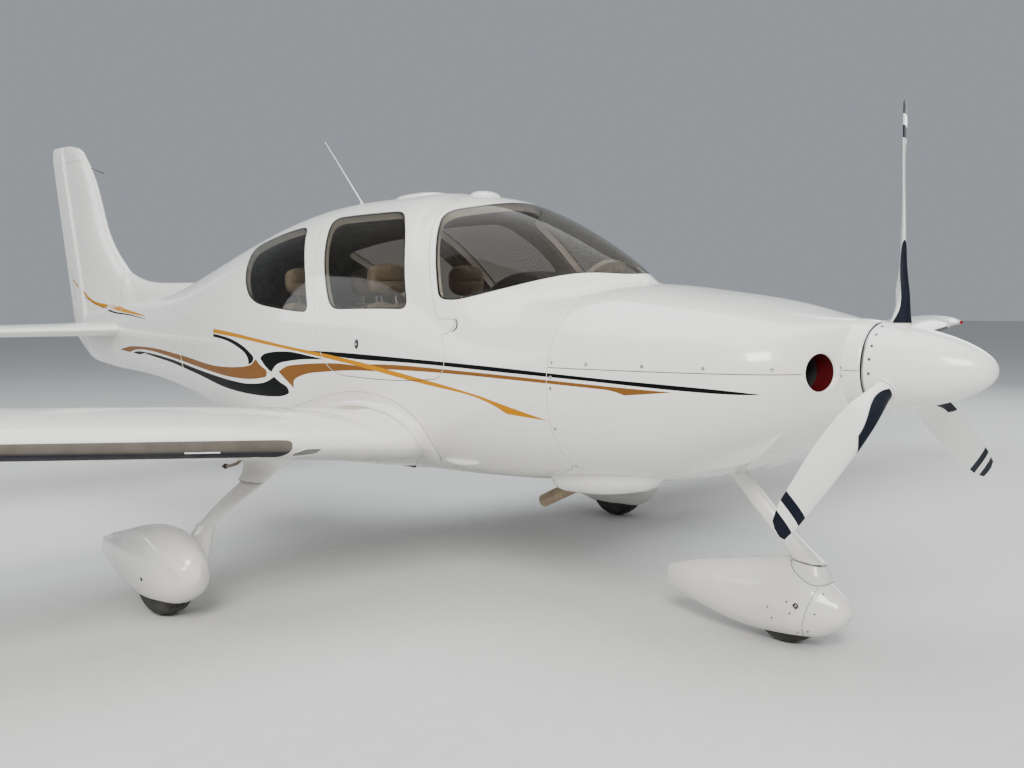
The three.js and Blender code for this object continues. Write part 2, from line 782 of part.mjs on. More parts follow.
// Flat pad for a tie-down ring or a jack.
function tieDownPad({ x, y, z, top }) {
  return rod(vector(x, y, z), vector(x, y, top), 18);
}

function wings() {
  const body = fuselageSolid(cowlSeam, CABIN_AFT_X, -SEAT_GAP, CABIN_SHARES);
  let wing = solid(loft(WING.map((row) => aerofoil(row, WING_CAMBER)))).add(tieDownPad(WING_PAD));
  const hinge = (y) => hingeAt(WING, WING_CAMBER, HINGE_FRACTION, y);
  const flap = splitSurface(wing, hinge, FLAP_Y, 1, [1000, 1980, 2960]);
  const aileron = splitSurface(flap.fixed, hinge, AILERON_Y, 0, [3460, 5040]);
  wing = aileron.fixed;
  add("wing_left", cut(wing, body), PAINT.white);
  add("wing_right", cut(mirrorSolid(wing), body), PAINT.white);
  addPair("flap", flap.moving, PAINT.white);
  addPair("aileron", aileron.moving, PAINT.white);
}

function tail() {
  const port = STABILIZER.map((row) => aerofoil(row, 0));
  const starboard = STABILIZER.slice(1)
    .reverse()
    .map((row) => aerofoil([-row[0], ...row.slice(1)], 0));
  const plane = solid(loft([...starboard, ...port]));
  const grown = (rows) => rows.map((row) => aerofoil(row, 0, SEAT_GAP));
  const middle = STABILIZER[0].slice(1);
  const planeHole = solid(loft(grown([[-300, ...middle], [300, ...middle]])));
  const hinge = (y) => hingeAt(STABILIZER, 0, ELEVATOR_FRACTION, y);
  const first = splitSurface(plane, hinge, ELEVATOR_Y, 0, [420, 1600]);
  const flipped = mirrorSolid(first.fixed);
  const second = splitSurface(flipped, hinge, ELEVATOR_Y, 0, [420, 1600]);
  const hingePoint = hinge(ELEVATOR_Y[0]).point;
  const tubeEnd = ELEVATOR_Y[0] + 3 - SEAT_GAP;
  const across = (y) => vector(hingePoint.x, y, hingePoint.z);
  const tubeBore = rod(across(-300), across(300), 30, 30, 16);
  const aft = box([hingePoint.x - 600, -ELEVATOR_Y[0], 900], [hingePoint.x, ELEVATOR_Y[0], 1500]);
  const stabilizer = cut(second.fixed, tubeBore, aft);
  add("stabilizer", stabilizer, PAINT.white);
  addPair("elevator", first.moving, PAINT.white);
  add("elevator_tube", rod(across(-tubeEnd), across(tubeEnd), 22, 22, 16), PAINT.steel);
  const coneBody = fuselageSolid(CABIN_AFT_X - SEAT_GAP, TAIL_END_X, 0, evenly(6));
  const aftX = (z) => hingeX(z) + rudderHalf(z) + RUNNING_GAP + 1;
  const fin = solid(loft(FIN.map(([z, leadX, half]) => finRing(z, leadX, aftX(z), half, 1))));
  const levels = [800, 965, 1020, 1130, 1260, 1500];
  const sternCut = plate(
    [...levels.map((z) => [aftX(z), z]), [-3700, 1500], [-3700, 800]],
    -300,
    300,
  );
  const ridge = solid(loft(RIDGE.map(([x, width, top]) => ridgeRing(x, width, top))));
  const hollow = fuselageSolid(CABIN_AFT_X + 5, HOLLOW_END_X, TAIL_WALL, evenly(4));
  let body = join(cut(coneBody, sternCut), fin, ridge);
  body = cut(body, hollow).add(tieDownPad(TAIL_PAD));
  body = cut(body, planeHole, tubeBore);
  const rudderRows = RUDDER.map(([z, half, trail]) => finRing(z, hingeX(z), trail, half, -1));
  let rudder = solid(loft(rudderRows));
  const axis = vector(hingeX(2400) - hingeX(1100), 0, 1300).normalize();
  const forward = vector(axis.z, 0, -axis.x);
  for (const z of [1180, 1800, 2420]) {
    const { lug, slot } = lugAndSlot(vector(hingeX(z), 0, z), axis, forward, 62);
    body = body.add(lug);
    rudder = rudder.subtract(slot);
  }
  add("tail_cone", body, PAINT.white);
  add("rudder", rudder, PAINT.white);
}

function ridgeRing(x, width, top) {
  const base = deckZ(x) - 90;
  return Array.from({ length: 16 }, (_, i) => {
    const angle = (i * Math.PI) / 8;
    return vector(x, width * Math.cos(angle), (top + base) / 2 + ((top - base) / 2) * Math.sin(angle));
  });
}

const rudderHalf = (z) => sectionAt(RUDDER, Math.min(Math.max(z, 965), 2690))[1];

// Level ring of the fin or rudder: rounded at one end, thin at the other.
function finRing(z, frontX, backX, half, kind) {
  const count = 6;
  const ring = [];
  if (kind > 0) {
    const length = frontX - backX;
    const nose = (u) => half * Math.sqrt(Math.max(0, 1 - ((0.34 - u) / 0.34) ** 2));
    const width = (u) => (u < 0.34 ? nose(u) : half * (1 - 0.45 * ((u - 0.34) / 0.66) ** 1.6));
    const shares = [0.004, 0.03, 0.1, 0.2, 0.34, 0.6, 0.82, 1];
    for (const u of shares) ring.push(vector(frontX - length * u, width(u), z));
    for (const u of [...shares].reverse()) ring.push(vector(frontX - length * u, -width(u), z));
    return ring;
  }
  for (let i = 0; i <= count; i += 1) {
    const angle = Math.PI / 2 - (Math.PI * i) / count;
    ring.push(vector(frontX + half * Math.cos(angle), half * Math.sin(angle), z));
  }
  ring.push(vector(backX, -3, z), vector(backX, 3, z));
  return ring;
}

// Cowl: hollow, split at a level seam behind a nose ring with two inlets, and with the exhaust fairing.
function cowl() {
  const rear = (angle) => cowlSeam(angle) + SEAT_GAP;
  const rearInside = (angle) => cowlSeam(angle) - 5;
  const shares = [0.25, 0.5, 0.72, 0.88, 0.96];
  const outer = fuselageSolid(rear, COWL_NOSE_X, 0, shares);
  const inner = fuselageSolid(rearInside, COWL_NOSE_X - 12, COWL_WALL, shares);
  const bump = solid(
    loft(
      EXHAUST_BUMP.map(([x, width, height]) => {
        const sideZ = skinPoint(x, degrees(-116)).z;
        return Array.from({ length: 16 }, (_, i) => {
          const angle = (i * Math.PI) / 8;
          return vector(x, EXHAUST.to[1] + width * Math.cos(angle), sideZ + 28 + height * Math.sin(angle));
        });
      }),
    ),
  );
  let whole = cut(outer.add(cut(bump, fuselageBlock())), inner);
  for (const side of [1, -1]) whole = whole.subtract(inletHole(side));
  const hubHole = rod(vector(3380, 0, HUB.z), vector(3500, 0, HUB.z), 60, 60, 16);
  whole = whole.subtract(hubHole);
  whole = whole.subtract(exhaustRoute(SEAT_GAP));
  whole = whole.subtract(legSleeve(SEAT_GAP));
  const upper = whole.intersect(box([1500, -900, COWL_SEAM_Z + SEAT_GAP], [NOSE_RING_X, 900, 2000]));
  const lower = whole.intersect(box([1500, -900, 0], [NOSE_RING_X, 900, COWL_SEAM_Z]));
  const ring = whole.intersect(box([NOSE_RING_X + SEAT_GAP, -900, 0], [3600, 900, 2000]));
  add("cowl_upper", upper, PAINT.white);
  add("cowl_lower", lower, PAINT.white);
  add("cowl_nose", ring, PAINT.white);
}

// What the exhaust fairing keeps clear of: the fuselage skin behind the cowl's seam.
function fuselageBlock() {
  return fuselageSolid((angle) => cowlSeam(angle) + SEAT_GAP, 1500, -SEAT_GAP, evenly(6));
}

function inletHole(side) {
  const rings = [3300, 3520].map((x) =>
    Array.from({ length: 18 }, (_, i) => {
      const angle = (i * Math.PI) / 9;
      const across = side * INLET.y + INLET.half * Math.cos(angle);
      return vector(x, across, INLET.z + INLET.high * Math.sin(angle));
    }),
  );
  return solid(loft(rings));
}


function exhaustRoute(grow) {
  return tube([EXHAUST.from, EXHAUST.knee, EXHAUST.to], EXHAUST.radius + grow);
}

// Round tube along straight stretches, mitred where they meet.
function tube(path, radius, sides = 12) {
  const points = path.map((p) => vector(...p));
  return solid(
    loft(
      points.map((point, k) => {
        const before = point.clone().sub(points[Math.max(k - 1, 0)]).normalize();
        const after = points[Math.min(k + 1, points.length - 1)].clone().sub(point).normalize();
        const along = before.clone().add(after).normalize();
        const across = vector(0, 0, 1).cross(along).normalize();
        const upward = along.clone().cross(across);
        const stretch = 1 / Math.max(along.dot(k ? before : after), 0.5);
        return Array.from({ length: sides }, (_, i) => {
          const angle = (2 * Math.PI * i) / sides;
          return point
            .clone()
            .addScaledVector(across, radius * Math.cos(angle))
            .addScaledVector(upward, radius * stretch * Math.sin(angle));
        });
      }),
    ),
  );
}

function powerplant() {
  const block = join(
    box([2420, -330, ENGINE.low], [3180, 330, ENGINE.high]),
    rod(vector(3100, 0, HUB.z), vector(3330, 0, HUB.z), 95, 75, 24),
    box([2325, -180, 960], [2425, 180, 1180]),
  );
  const mountHole = fuselageBlock();
  add("engine_block", cut(block, mountHole, legSleeve(SEAT_GAP)), PAINT.grey);
  const bore = rod(vector(...EXHAUST.knee), vector(1900, -262, 438.1), 27, 27, 20);
  const pipe = cut(exhaustRoute(0), box([2400, -400, ENGINE.low - SEAT_GAP], [2700, 0, 1000]), bore);
  add("exhaust_pipe", pipe, PAINT.tan);
}

function legSleeve(grow) {
  const path = [
    [LEG.topX, LEG.topZ, 34, 34],
    [LEG.kneeX, LEG.kneeZ, 42, 34],
    [NOSE_LEG_WAIST.x, NOSE_LEG_WAIST.z, NOSE_LEG_WAIST.deep, NOSE_LEG_WAIST.wide],
    [CASTER_X - 30, 405, 36, 25],
  ];
  return solid(
    loft(
      path.map(([x, z, deep, wide]) =>
        Array.from({ length: 12 }, (_, i) => {
          const angle = (i * Math.PI) / 6;
          const along = (deep + grow) * Math.cos(angle);
          return vector(x + along * 0.707, (wide + grow) * Math.sin(angle), z + along * 0.707);
        }),
      ),
    ),
  );
}

function noseLeg() {
  const foot = rod(vector(CASTER_X, 0, 372), vector(CASTER_X, 0, 418), 30, 30, 24);
  const pin = rod(vector(CASTER_X, 0, 303), vector(CASTER_X, 0, 380), 13, 13, 24);
  add("nose_leg", join(legSleeve(0), foot, pin), PAINT.white);
}

// Teardrop body: rows of x, half width, bottom z, top z about a centre y.
function teardrop(rows, y, grow = 0) {
  const power = 2.3;
  return solid(
    loft(
      rows.map(([x, width, bottom, top]) =>
        Array.from({ length: 16 }, (_, i) => {
          const angle = (i * Math.PI) / 8;
          const radius = superRadius(width + grow, (top - bottom) / 2 + grow, power, angle);
          return vector(x, y + radius * Math.cos(angle), (top + bottom) / 2 + radius * Math.sin(angle));
        }),
      ),
    ),
  );
}

// Room for a wheel in its fairing: a short drum open to the ground.
function wheelRoom({ x, y, radius, width }, aside, around) {
  const half = width / 2 + aside;
  const room = radius + around;
  const drum = rod(vector(x, y - half, radius), vector(x, y + half, radius), room, room, 20);
  const mouth = box([x - radius * 0.9, y - half, -50], [x + radius * 0.9, y + half, radius * 0.55]);
  return join(drum, mouth);
}

function wheel(prefix, suffix, { x, y, radius, width, rim }, side) {
  const centre = vector(x, side * y, radius);
  const half = width / 2;
  const shoulder = radius - 34;
  const across = vector(0, 1, 0);
  const tyre = turned(
    [
      [-half * 0.62, rim + 4],
      [-half * 0.97, rim + 26],
      [-half, shoulder - 22],
      [-half * 0.88, shoulder + 12],
      [-half * 0.6, radius - 8],
      [0, radius],
      [half * 0.6, radius - 8],
      [half * 0.88, shoulder + 12],
      [half, shoulder - 22],
      [half * 0.97, rim + 26],
      [half * 0.62, rim + 4],
      [-half * 0.62, rim + 4],
    ],
    centre,
    across,
    WHEEL_SIDES,
  );
  const hub = turned(
    [
      [-half * 0.86, AXLE_RADIUS + 0.5],
      [-half * 0.86, 42],
      [-half * 0.5, 46],
      [-half * 0.5, rim - 8],
      [-half * 0.6, rim + 4 - SEAT_GAP],
      [half * 0.6, rim + 4 - SEAT_GAP],
      [half * 0.5, rim - 8],
      [half * 0.5, 46],
      [half * 0.86, 42],
      [half * 0.86, AXLE_RADIUS + 0.5],
      [-half * 0.86, AXLE_RADIUS + 0.5],
    ],
    centre,
    across,
    WHEEL_SIDES,
  );
  add(`${prefix}_tyre${suffix}`, tyre, PAINT.rubber);
  add(`${prefix}_rim${suffix}`, hub, PAINT.steel);
}

// Main leg: a tapered blade from under the wing to the inboard side of the wheel.
function mainLegBlade(grow) {
  return solid(
    loft(
      MAIN_LEG.map(([x, y, z, deep, thick]) =>
        Array.from({ length: 12 }, (_, i) => {
          const angle = (i * Math.PI) / 6;
          return vector(x + (deep + grow) * Math.cos(angle), y + (thick + grow) * Math.sin(angle), z);
        }),
      ),
    ),
  );
}

function mainGear() {
  const wing = solid(loft(WING.map((row) => aerofoil(row, WING_CAMBER, SEAT_GAP))));
  const blade = cut(mainLegBlade(0), wing);
  addPair("main_leg", blade, PAINT.white);
  const pant = cut(
    teardrop(MAIN_PANT, MAIN_WHEEL.y),
    wheelRoom(MAIN_WHEEL, 10, 14),
    rod(vector(MAIN_WHEEL.x, 1500, MAIN_WHEEL.radius), vector(MAIN_WHEEL.x, 1560, MAIN_WHEEL.radius), 33),
    mainLegBlade(SEAT_GAP),
    box([884 - 48, 1480, 0], [884 + 48, 1540, 200]),
  );
  addPair("main_pant", pant, PAINT.white);
  const { x, y, radius } = MAIN_WHEEL;
  const at = (offset) => vector(x, y + offset, radius);
  const stub = join(
    rod(at(-92.5), at(84.6), AXLE_RADIUS, AXLE_RADIUS, 24),
    rod(at(-92.5), at(-66), 26, 26, 24),
    rod(at(66), at(84.6), 24, 24, 6),
  );
  const leg = mainLegBlade(SEAT_GAP);
  addPair("main_axle", cut(stub, leg), PAINT.steel);
  wheel("main", "_left", MAIN_WHEEL, 1);
  wheel("main", "_right", MAIN_WHEEL, -1);
}

function noseGear() {
  noseLeg();
  const { x, radius } = NOSE_WHEEL;
  const at = (y) => vector(x, y, radius);
  const outline = [
    [CASTER_X + 22, 342],
    [CASTER_X - 26, 342],
    [x - 24, radius + 12],
    [x - 22, radius - 20],
    [x + 22, radius - 20],
    [CASTER_X + 26, 296],
  ];
  const bar = box([CASTER_X - 26, -88, 302], [CASTER_X + 22, 88, 342]);
  const arms = [76, -88].map((y) => plate(outline, y, y + 12));
  const bore = rod(vector(CASTER_X, 0, 280), vector(CASTER_X, 0, 360), 13.6, 13.6, 24);
  const axleHole = rod(at(-180), at(180), AXLE_RADIUS + SEAT_GAP, AXLE_RADIUS + SEAT_GAP, 24);
  add("nose_fork", cut(join(bar, ...arms), bore, axleHole), PAINT.steel);
  add("nose_axle", rod(at(-TOW_LUG_Y), at(TOW_LUG_Y), AXLE_RADIUS, AXLE_RADIUS, 24), PAINT.steel);
  const pant = cut(
    teardrop(NOSE_PANT, 0),
    wheelRoom(NOSE_WHEEL, 37, 14),
    box([CASTER_X - 60, -100, 120], [CASTER_X + 40, 100, 346]),
    rod(vector(CASTER_X, 0, 300), vector(CASTER_X, 0, 420), 26, 26, 24),
    axleHole,
  );
  add("nose_pant", pant, PAINT.white);
  wheel("nose", "", NOSE_WHEEL, 1);
}

function bladeSolid() {
  const rings = BLADE.map(([radius, chord, thick, pitch]) => {
    const turn = degrees(pitch);
    return Array.from({ length: 12 }, (_, i) => {
      const angle = (i * Math.PI) / 6;
      const across = (chord / 2) * Math.cos(angle);
      const deep = (thick / 2) * Math.sin(angle);
      const y = across * Math.cos(turn) + deep * Math.sin(turn);
      const x = -across * Math.sin(turn) + deep * Math.cos(turn);
      return vector(x, y, radius);
    });
  });
  return loft(rings);
}

function propeller() {
  const centre = vector(HUB.x, 0, HUB.z);
  const forward = vector(1, 0, 0);
  const place = (k) => new THREE.Matrix4().makeRotationX((k * 2 * Math.PI) / 3).setPosition(centre);
  const base = vector(SPINNER.baseX + SEAT_GAP, 0, HUB.z);
  const length = NOSE_X - SPINNER.baseX - SEAT_GAP;
  const cavity = turned(spinnerProfile(SPINNER.radius - SPINNER.wall, length - 12, -1), base, forward, 18);
  let shell = cut(turned(spinnerProfile(SPINNER.radius, length, 0), base, forward, 18), cavity);
  const back = turned(
    [
      [0, 0],
      [0, SPINNER.radius],
      [8, SPINNER.radius],
      [8, 0],
    ],
    vector(SPINNER.baseX - 8, 0, HUB.z),
    forward,
    18,
  );
  const facets = Math.cos(Math.PI / 12);
  const boss = turned(
    [
      [0, 0],
      [0, 60],
      [40, 60],
      [60, (HUB.radius - 0.5) / facets - 3],
      [190, HUB.radius - 3],
      [210, 40],
      [210, 0],
    ],
    vector(SPINNER.baseX - 2, 0, HUB.z),
    forward,
    12,
  );
  const shaft = rod(vector(3330 + SEAT_GAP, 0, HUB.z), vector(SPINNER.baseX, 0, HUB.z), 38, 38, 24);
  const sockets = [];
  for (let k = 0; k < 3; k += 1) {
    const socket = new THREE.CylinderGeometry(46, 46, 200, 12);
    socket.rotateX(Math.PI / 2);
    socket.translate(0, 0, 160);
    socket.applyMatrix4(place(k));
    shell = shell.subtract(solid(socket));
    const seat = new THREE.CylinderGeometry(44, 44, 40, 12);
    seat.rotateX(Math.PI / 2);
    seat.translate(0, 0, HUB.radius - 20);
    seat.applyMatrix4(place(k));
    sockets.push(solid(seat));
    const blade = bladeSolid();
    blade.applyMatrix4(place(k));
    add(`blade_${k + 1}`, blade, PAINT.white);
  }
  add("prop_hub", join(back, boss, shaft, ...sockets), PAINT.steel);
  add("spinner", shell, PAINT.white);
}

// Spinner outline from the middle of its base round to its tip.
function spinnerProfile(radius, length, start) {
  const count = 6;
  const curve = Array.from({ length: count + 1 }, (_, i) => {
    const u = i / count;
    const share = i === count ? 0 : Math.sqrt(1 - u ** 1.75) * (1 - 0.12 * u);
    return [i === 0 ? start : length * u, radius * share];
  });
  return [[start, 0], ...curve];
}

cabin();
seats();
cowl();
powerplant();
propeller();
wings();
tail();
noseGear();
mainGear();

export default group;
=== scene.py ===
"""Looks of a light aircraft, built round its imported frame.

Metres. +X points to the nose, +Y to port, +Z up, and the wheels stand on z = 0. Every curved piece is a
surface worked out with numpy from the same tables as the frame's own sections.
"""

import logging
import math
from dataclasses import dataclass, field
from enum import Enum
from typing import Callable, Optional, Sequence

import bpy
import numpy as np
from mathutils import Matrix, Vector
from mathutils.geometry import delaunay_2d_cdt


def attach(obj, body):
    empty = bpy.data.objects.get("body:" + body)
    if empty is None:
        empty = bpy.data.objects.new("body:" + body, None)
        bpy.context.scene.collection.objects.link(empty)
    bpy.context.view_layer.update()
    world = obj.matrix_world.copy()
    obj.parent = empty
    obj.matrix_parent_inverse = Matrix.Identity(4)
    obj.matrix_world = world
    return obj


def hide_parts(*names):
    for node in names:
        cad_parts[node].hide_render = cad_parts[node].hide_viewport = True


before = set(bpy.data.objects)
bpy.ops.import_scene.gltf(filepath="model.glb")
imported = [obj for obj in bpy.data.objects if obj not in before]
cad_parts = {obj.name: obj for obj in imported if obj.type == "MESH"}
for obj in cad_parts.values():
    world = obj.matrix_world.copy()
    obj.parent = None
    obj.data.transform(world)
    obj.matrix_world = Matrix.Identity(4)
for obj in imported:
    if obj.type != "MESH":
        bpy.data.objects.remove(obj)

LOG = logging.getLogger("light_aircraft")
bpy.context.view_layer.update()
Array = np.ndarray
Curve = Callable[[Array], Array]
Pair = tuple[float, float]
Triple = tuple[float, float, float]
X_AXIS, Y_AXIS, Z_AXIS = (1, 0, 0), (0, 1, 0), (0, 0, 1)


class Side(Enum):
    """Side of the aircraft, as the sign of y."""

    PORT = 1
    STARBOARD = -1

    @property
    def word(self) -> str:
        """Word that the side's pieces are named by."""
        return "left" if self is Side.PORT else "right"


def natural_spline(x: Sequence[float], y: Sequence[float]) -> Curve:
    """Natural cubic spline through points.

    Args:
        x: Places, in any order.
        y: Values at those places.

    Returns:
        A function of an array, held constant past the ends.
    """
    order = np.argsort(np.asarray(x, float))
    knots = np.asarray(x, float)[order]
    values = np.asarray(y, float)[order]
    gap = np.diff(knots)
    count = len(knots)
    matrix = np.eye(count)
    right = np.zeros(count)
    inner = np.arange(1, count - 1)
    matrix[inner, inner - 1] = gap[:-1]
    matrix[inner, inner] = 2 * (gap[:-1] + gap[1:])
    matrix[inner, inner + 1] = gap[1:]
    right[inner] = 6 * (np.diff(values)[1:] / gap[1:] - np.diff(values)[:-1] / gap[:-1])
    bend = np.linalg.solve(matrix, right)

    def at(place: Array) -> Array:
        """Spline's value: a cubic in each interval with the bends at its ends."""
        p = np.clip(np.asarray(place, float), knots[0], knots[-1])
        k = np.clip(np.searchsorted(knots, p) - 1, 0, count - 2)
        a = (knots[k + 1] - p) / gap[k]
        b = 1 - a
        cubic = ((a**3 - a) * bend[k] + (b**3 - b) * bend[k + 1]) * gap[k] ** 2 / 6
        return a * values[k] + b * values[k + 1] + cubic

    return at


def smoothstep(low: float, high: float, value: Array) -> Array:
    """Share from 0 to 1 between two values, level at both ends."""
    t = np.clip((np.asarray(value, float) - low) / (high - low), 0.0, 1.0)
    return t * t * (3 - 2 * t)


def unit(vectors: Array) -> Array:
    """Vectors scaled to length one along the last axis."""
    return vectors / np.maximum(np.linalg.norm(vectors, axis=-1, keepdims=True), 1e-12)


def run_lengths(path: Array) -> Array:
    """Distance along a path from its first point to each of its points."""
    return np.concatenate([[0], np.cumsum(np.linalg.norm(np.diff(path, axis=0), axis=1))])


def full_turn(count: int) -> Array:
    """Angles of points spaced evenly round a circle."""
    return np.linspace(0, 2 * math.pi, count, endpoint=False)


def column_splines(table: Array, columns: Sequence[int]) -> list[Curve]:
    """Natural splines of some columns of a table against its first column."""
    return [natural_spline(table[:, 0], table[:, k]) for k in columns]


def soft_corner(start: Array, corner: Array, end: Array, share: Array) -> Array:
    """Quadratic arc: start times (1-t)^2, the corner times 2t(1-t) and the end times t^2, t being the share."""
    return (1 - share) ** 2 * start + 2 * share * (1 - share) * corner + share**2 * end


def halved(low: Array, high: Array, holds: Callable[[Array], Array], steps: int) -> Array:
    """Places between low and high where a test that holds at low stops holding, by halving."""
    for _ in range(steps):
        middle = (low + high) / 2
        below = holds(middle)
        low, high = np.where(below, middle, low), np.where(below, high, middle)
    return (low + high) / 2


def even_path(points: Array, count: int, closed: bool = True) -> Array:
    """Points spaced evenly along a path.

    Args:
        points: The path's points, one a row.
        count: How many points to return.
        closed: Whether the path runs back to its first point.

    Returns:
        An array of count rows.
    """
    path = np.vstack([points, points[:1]]) if closed else points
    length = run_lengths(path)
    places = np.linspace(0, length[-1], count, endpoint=not closed)
    return np.stack([np.interp(places, length, path[:, k]) for k in range(path.shape[1])], -1)


def rounded_outline(corners: Sequence[Triple], count: int) -> Array:
    """Closed outline whose corners are quadratic arcs.

    Args:
        corners: Rows of the two coordinates and the corner's reach.
        count: How many points to return.

    Returns:
        An array of count rows of two coordinates.
    """
    table = np.asarray(corners, float)
    place, reach = table[:, :2], table[:, 2:3]
    share = np.linspace(0, 1, 24)[:, None]
    pieces = []
    for step in (1, -1):
        other = np.roll(place, step, axis=0)
        distance = np.linalg.norm(other - place, axis=1, keepdims=True)
        pieces.append(place + (other - place) * np.minimum(reach, 0.48 * distance) / distance)
    for start, corner, end in zip(pieces[0], place, pieces[1]):
        pieces.append(soft_corner(start, corner, end, share))
    return even_path(np.vstack(pieces[2:]), count)


def offset_outline(outline: Array, distance: float) -> Array:
    """Closed outline moved outwards by a distance, along the normal of its neighbours' chord."""
    ahead = np.roll(outline, -1, axis=0) - np.roll(outline, 1, axis=0)
    normal = unit(np.stack([ahead[:, 1], -ahead[:, 0]], -1))
    area = np.sum(outline[:, 0] * np.roll(outline[:, 1], -1) - np.roll(outline[:, 0], -1) * outline[:, 1])
    return outline + normal * distance * math.copysign(1.0, area)


def inside(outline: Array, points: Array) -> Array:
    """Whether each point lies in a closed outline, by the even-odd count of edges crossed."""
    x, y = points[:, 0:1], points[:, 1:2]
    x0, y0 = outline[None, :, 0], outline[None, :, 1]
    x1, y1 = np.roll(outline[:, 0], -1)[None], np.roll(outline[:, 1], -1)[None]
    rise = np.where(np.abs(y1 - y0) < 1e-12, 1e-12, y1 - y0)
    crosses = ((y0 > y) != (y1 > y)) & (x < x0 + (y - y0) / rise * (x1 - x0))
    return np.sum(crosses, axis=1) % 2 == 1


@dataclass
class Mesh:
    """Vertices, faces, each face's material and, where given, each vertex's normal.

    Attributes:
        points: Vertex places, one a row.
        faces: Faces as tuples of vertex numbers.
        paint: Material number of each face.
        normals: Vertex normals, or zeros where the faces' own normals serve.
    """

    points: Array = field(default_factory=lambda: np.zeros((0, 3)))
    faces: list = field(default_factory=list)
    paint: list = field(default_factory=list)
    normals: Array = field(default_factory=lambda: np.zeros((0, 3)))

    @classmethod
    def plain(cls, points: Array, faces: list, paint: int = 0) -> "Mesh":
        """A mesh of one paint, without normals of its own."""
        return cls(points, faces, [paint] * len(faces), np.zeros_like(points))

    def join(self, other: "Mesh") -> "Mesh":
        """Appends another mesh and returns this one."""
        start = len(self.points)
        self.points = np.vstack([self.points, other.points])
        self.normals = np.vstack([self.normals, other.normals])
        self.faces += [[k + start for k in face] for face in other.faces]
        self.paint += other.paint
        return self

    def packed(self) -> "Mesh":
        """The mesh without the points that no face uses."""
        used = np.unique(np.concatenate([np.asarray(face) for face in self.faces]))
        number = np.zeros(len(self.points), int)
        number[used] = np.arange(len(used))
        faces = [number[face].tolist() for face in self.faces]
        return Mesh(self.points[used], faces, list(self.paint), self.normals[used])

    def moved(self, points: Array) -> "Mesh":
        """The same mesh with its vertices at other places."""
        return Mesh(points, self.faces, self.paint, self.normals)

    def mirrored(self) -> "Mesh":
        """The same mesh on the other side of the plane y = 0, with its faces still pointing out."""
        flip = np.array([1.0, -1.0, 1.0])
        return Mesh(self.points * flip, [face[::-1] for face in self.faces], list(self.paint), self.normals * flip)

    def on(self, side: Side) -> "Mesh":
        """The mesh for a side, given that it was built for port."""
        return self if side is Side.PORT else self.mirrored()


def grid_faces(rows: int, columns: int, wrap_columns: bool = False) -> Array:
    """Quads of a grid of vertices in row order, with the last column joined to the first if it wraps."""
    across = columns if wrap_columns else columns - 1
    i, j = np.meshgrid(np.arange(rows - 1), np.arange(across), indexing="ij")
    k = (j + 1) % columns
    quads = [i * columns + j, i * columns + k, (i + 1) * columns + k, (i + 1) * columns + j]
    return np.stack(quads, -1).reshape(-1, 4)


def tube_mesh(rings: Array, paint: int = 0, caps: bool = True) -> Mesh:
    """Closed skin over rings.

    Each pair of neighbouring rings is joined by quads, and each end closes on the ring's mean point.

    Args:
        rings: Array of ring, point on the ring and coordinate.
        paint: Material number.
        caps: Whether the ends are closed.

    Returns:
        The mesh, with its faces pointing out.
    """
    count, sides = rings.shape[:2]
    points = rings.reshape(-1, 3)
    faces = grid_faces(count, sides, True).tolist()
    if caps:
        ends = rings[[0, -1]].mean(axis=1)
        points = np.vstack([points, ends])
        j = np.arange(sides)
        k = (j + 1) % sides
        last = (count - 1) * sides
        faces += np.stack([k, j, np.full(sides, count * sides)], -1).tolist()
        faces += np.stack([last + j, last + k, np.full(sides, count * sides + 1)], -1).tolist()
    return outward(Mesh.plain(points, faces, paint))


def outward(mesh: Mesh) -> Mesh:
    """The mesh with its faces turned if the volume that they enclose comes out negative."""
    first, second, third = (mesh.points[[face[k] for face in mesh.faces]] for k in range(3))
    volume = np.einsum("ij,ij->", first, np.cross(second, third))
    quads = [face for face in mesh.faces if len(face) == 4]
    if quads:
        a, c, d = (mesh.points[[face[k] for face in quads]] for k in (0, 2, 3))
        volume += np.einsum("ij,ij->", a, np.cross(c, d))
    if volume < 0:
        mesh.faces = [face[::-1] for face in mesh.faces]
    return mesh


def ellipse_ring(centre: Array, first: Array, second: Array, sides: int, power: float = 2.0) -> Array:
    """Superellipse rings.

    A point at an angle is the centre plus the first half axis times the cosine, and the second times the
    sine, each raised to two over the power with its sign kept.

    Args:
        centre: Centres, one a row.
        first: First half axes, one a row.
        second: Second half axes, one a row.
        sides: Points on a ring.
        power: Exponent, 2 for an ellipse.

    Returns:
        Array of ring, point and coordinate.
    """
    angle = full_turn(sides)
    c = np.sign(np.cos(angle)) * np.abs(np.cos(angle)) ** (2 / power)
    s = np.sign(np.sin(angle)) * np.abs(np.sin(angle)) ** (2 / power)
    return centre[:, None] + first[:, None] * c[None, :, None] + second[:, None] * s[None, :, None]


def path_tube(path: Array, radius: Array, sides: int = 12, paint: int = 0) -> Mesh:
    """Round tube along a path: rings square to the path's direction, turned as little as they can be."""
    path = np.asarray(path, float)
    ahead = unit(np.gradient(path, axis=0))
    up = np.tile([0.0, 0.0, 1.0], (len(path), 1))
    up[np.abs(ahead[:, 2]) > 0.9] = [1.0, 0.0, 0.0]
    first = unit(np.cross(up, ahead))
    second = np.cross(ahead, first)
    size = np.broadcast_to(np.asarray(radius, float), (len(path),))[:, None]
    return tube_mesh(ellipse_ring(path, first * size, second * size, sides), paint)


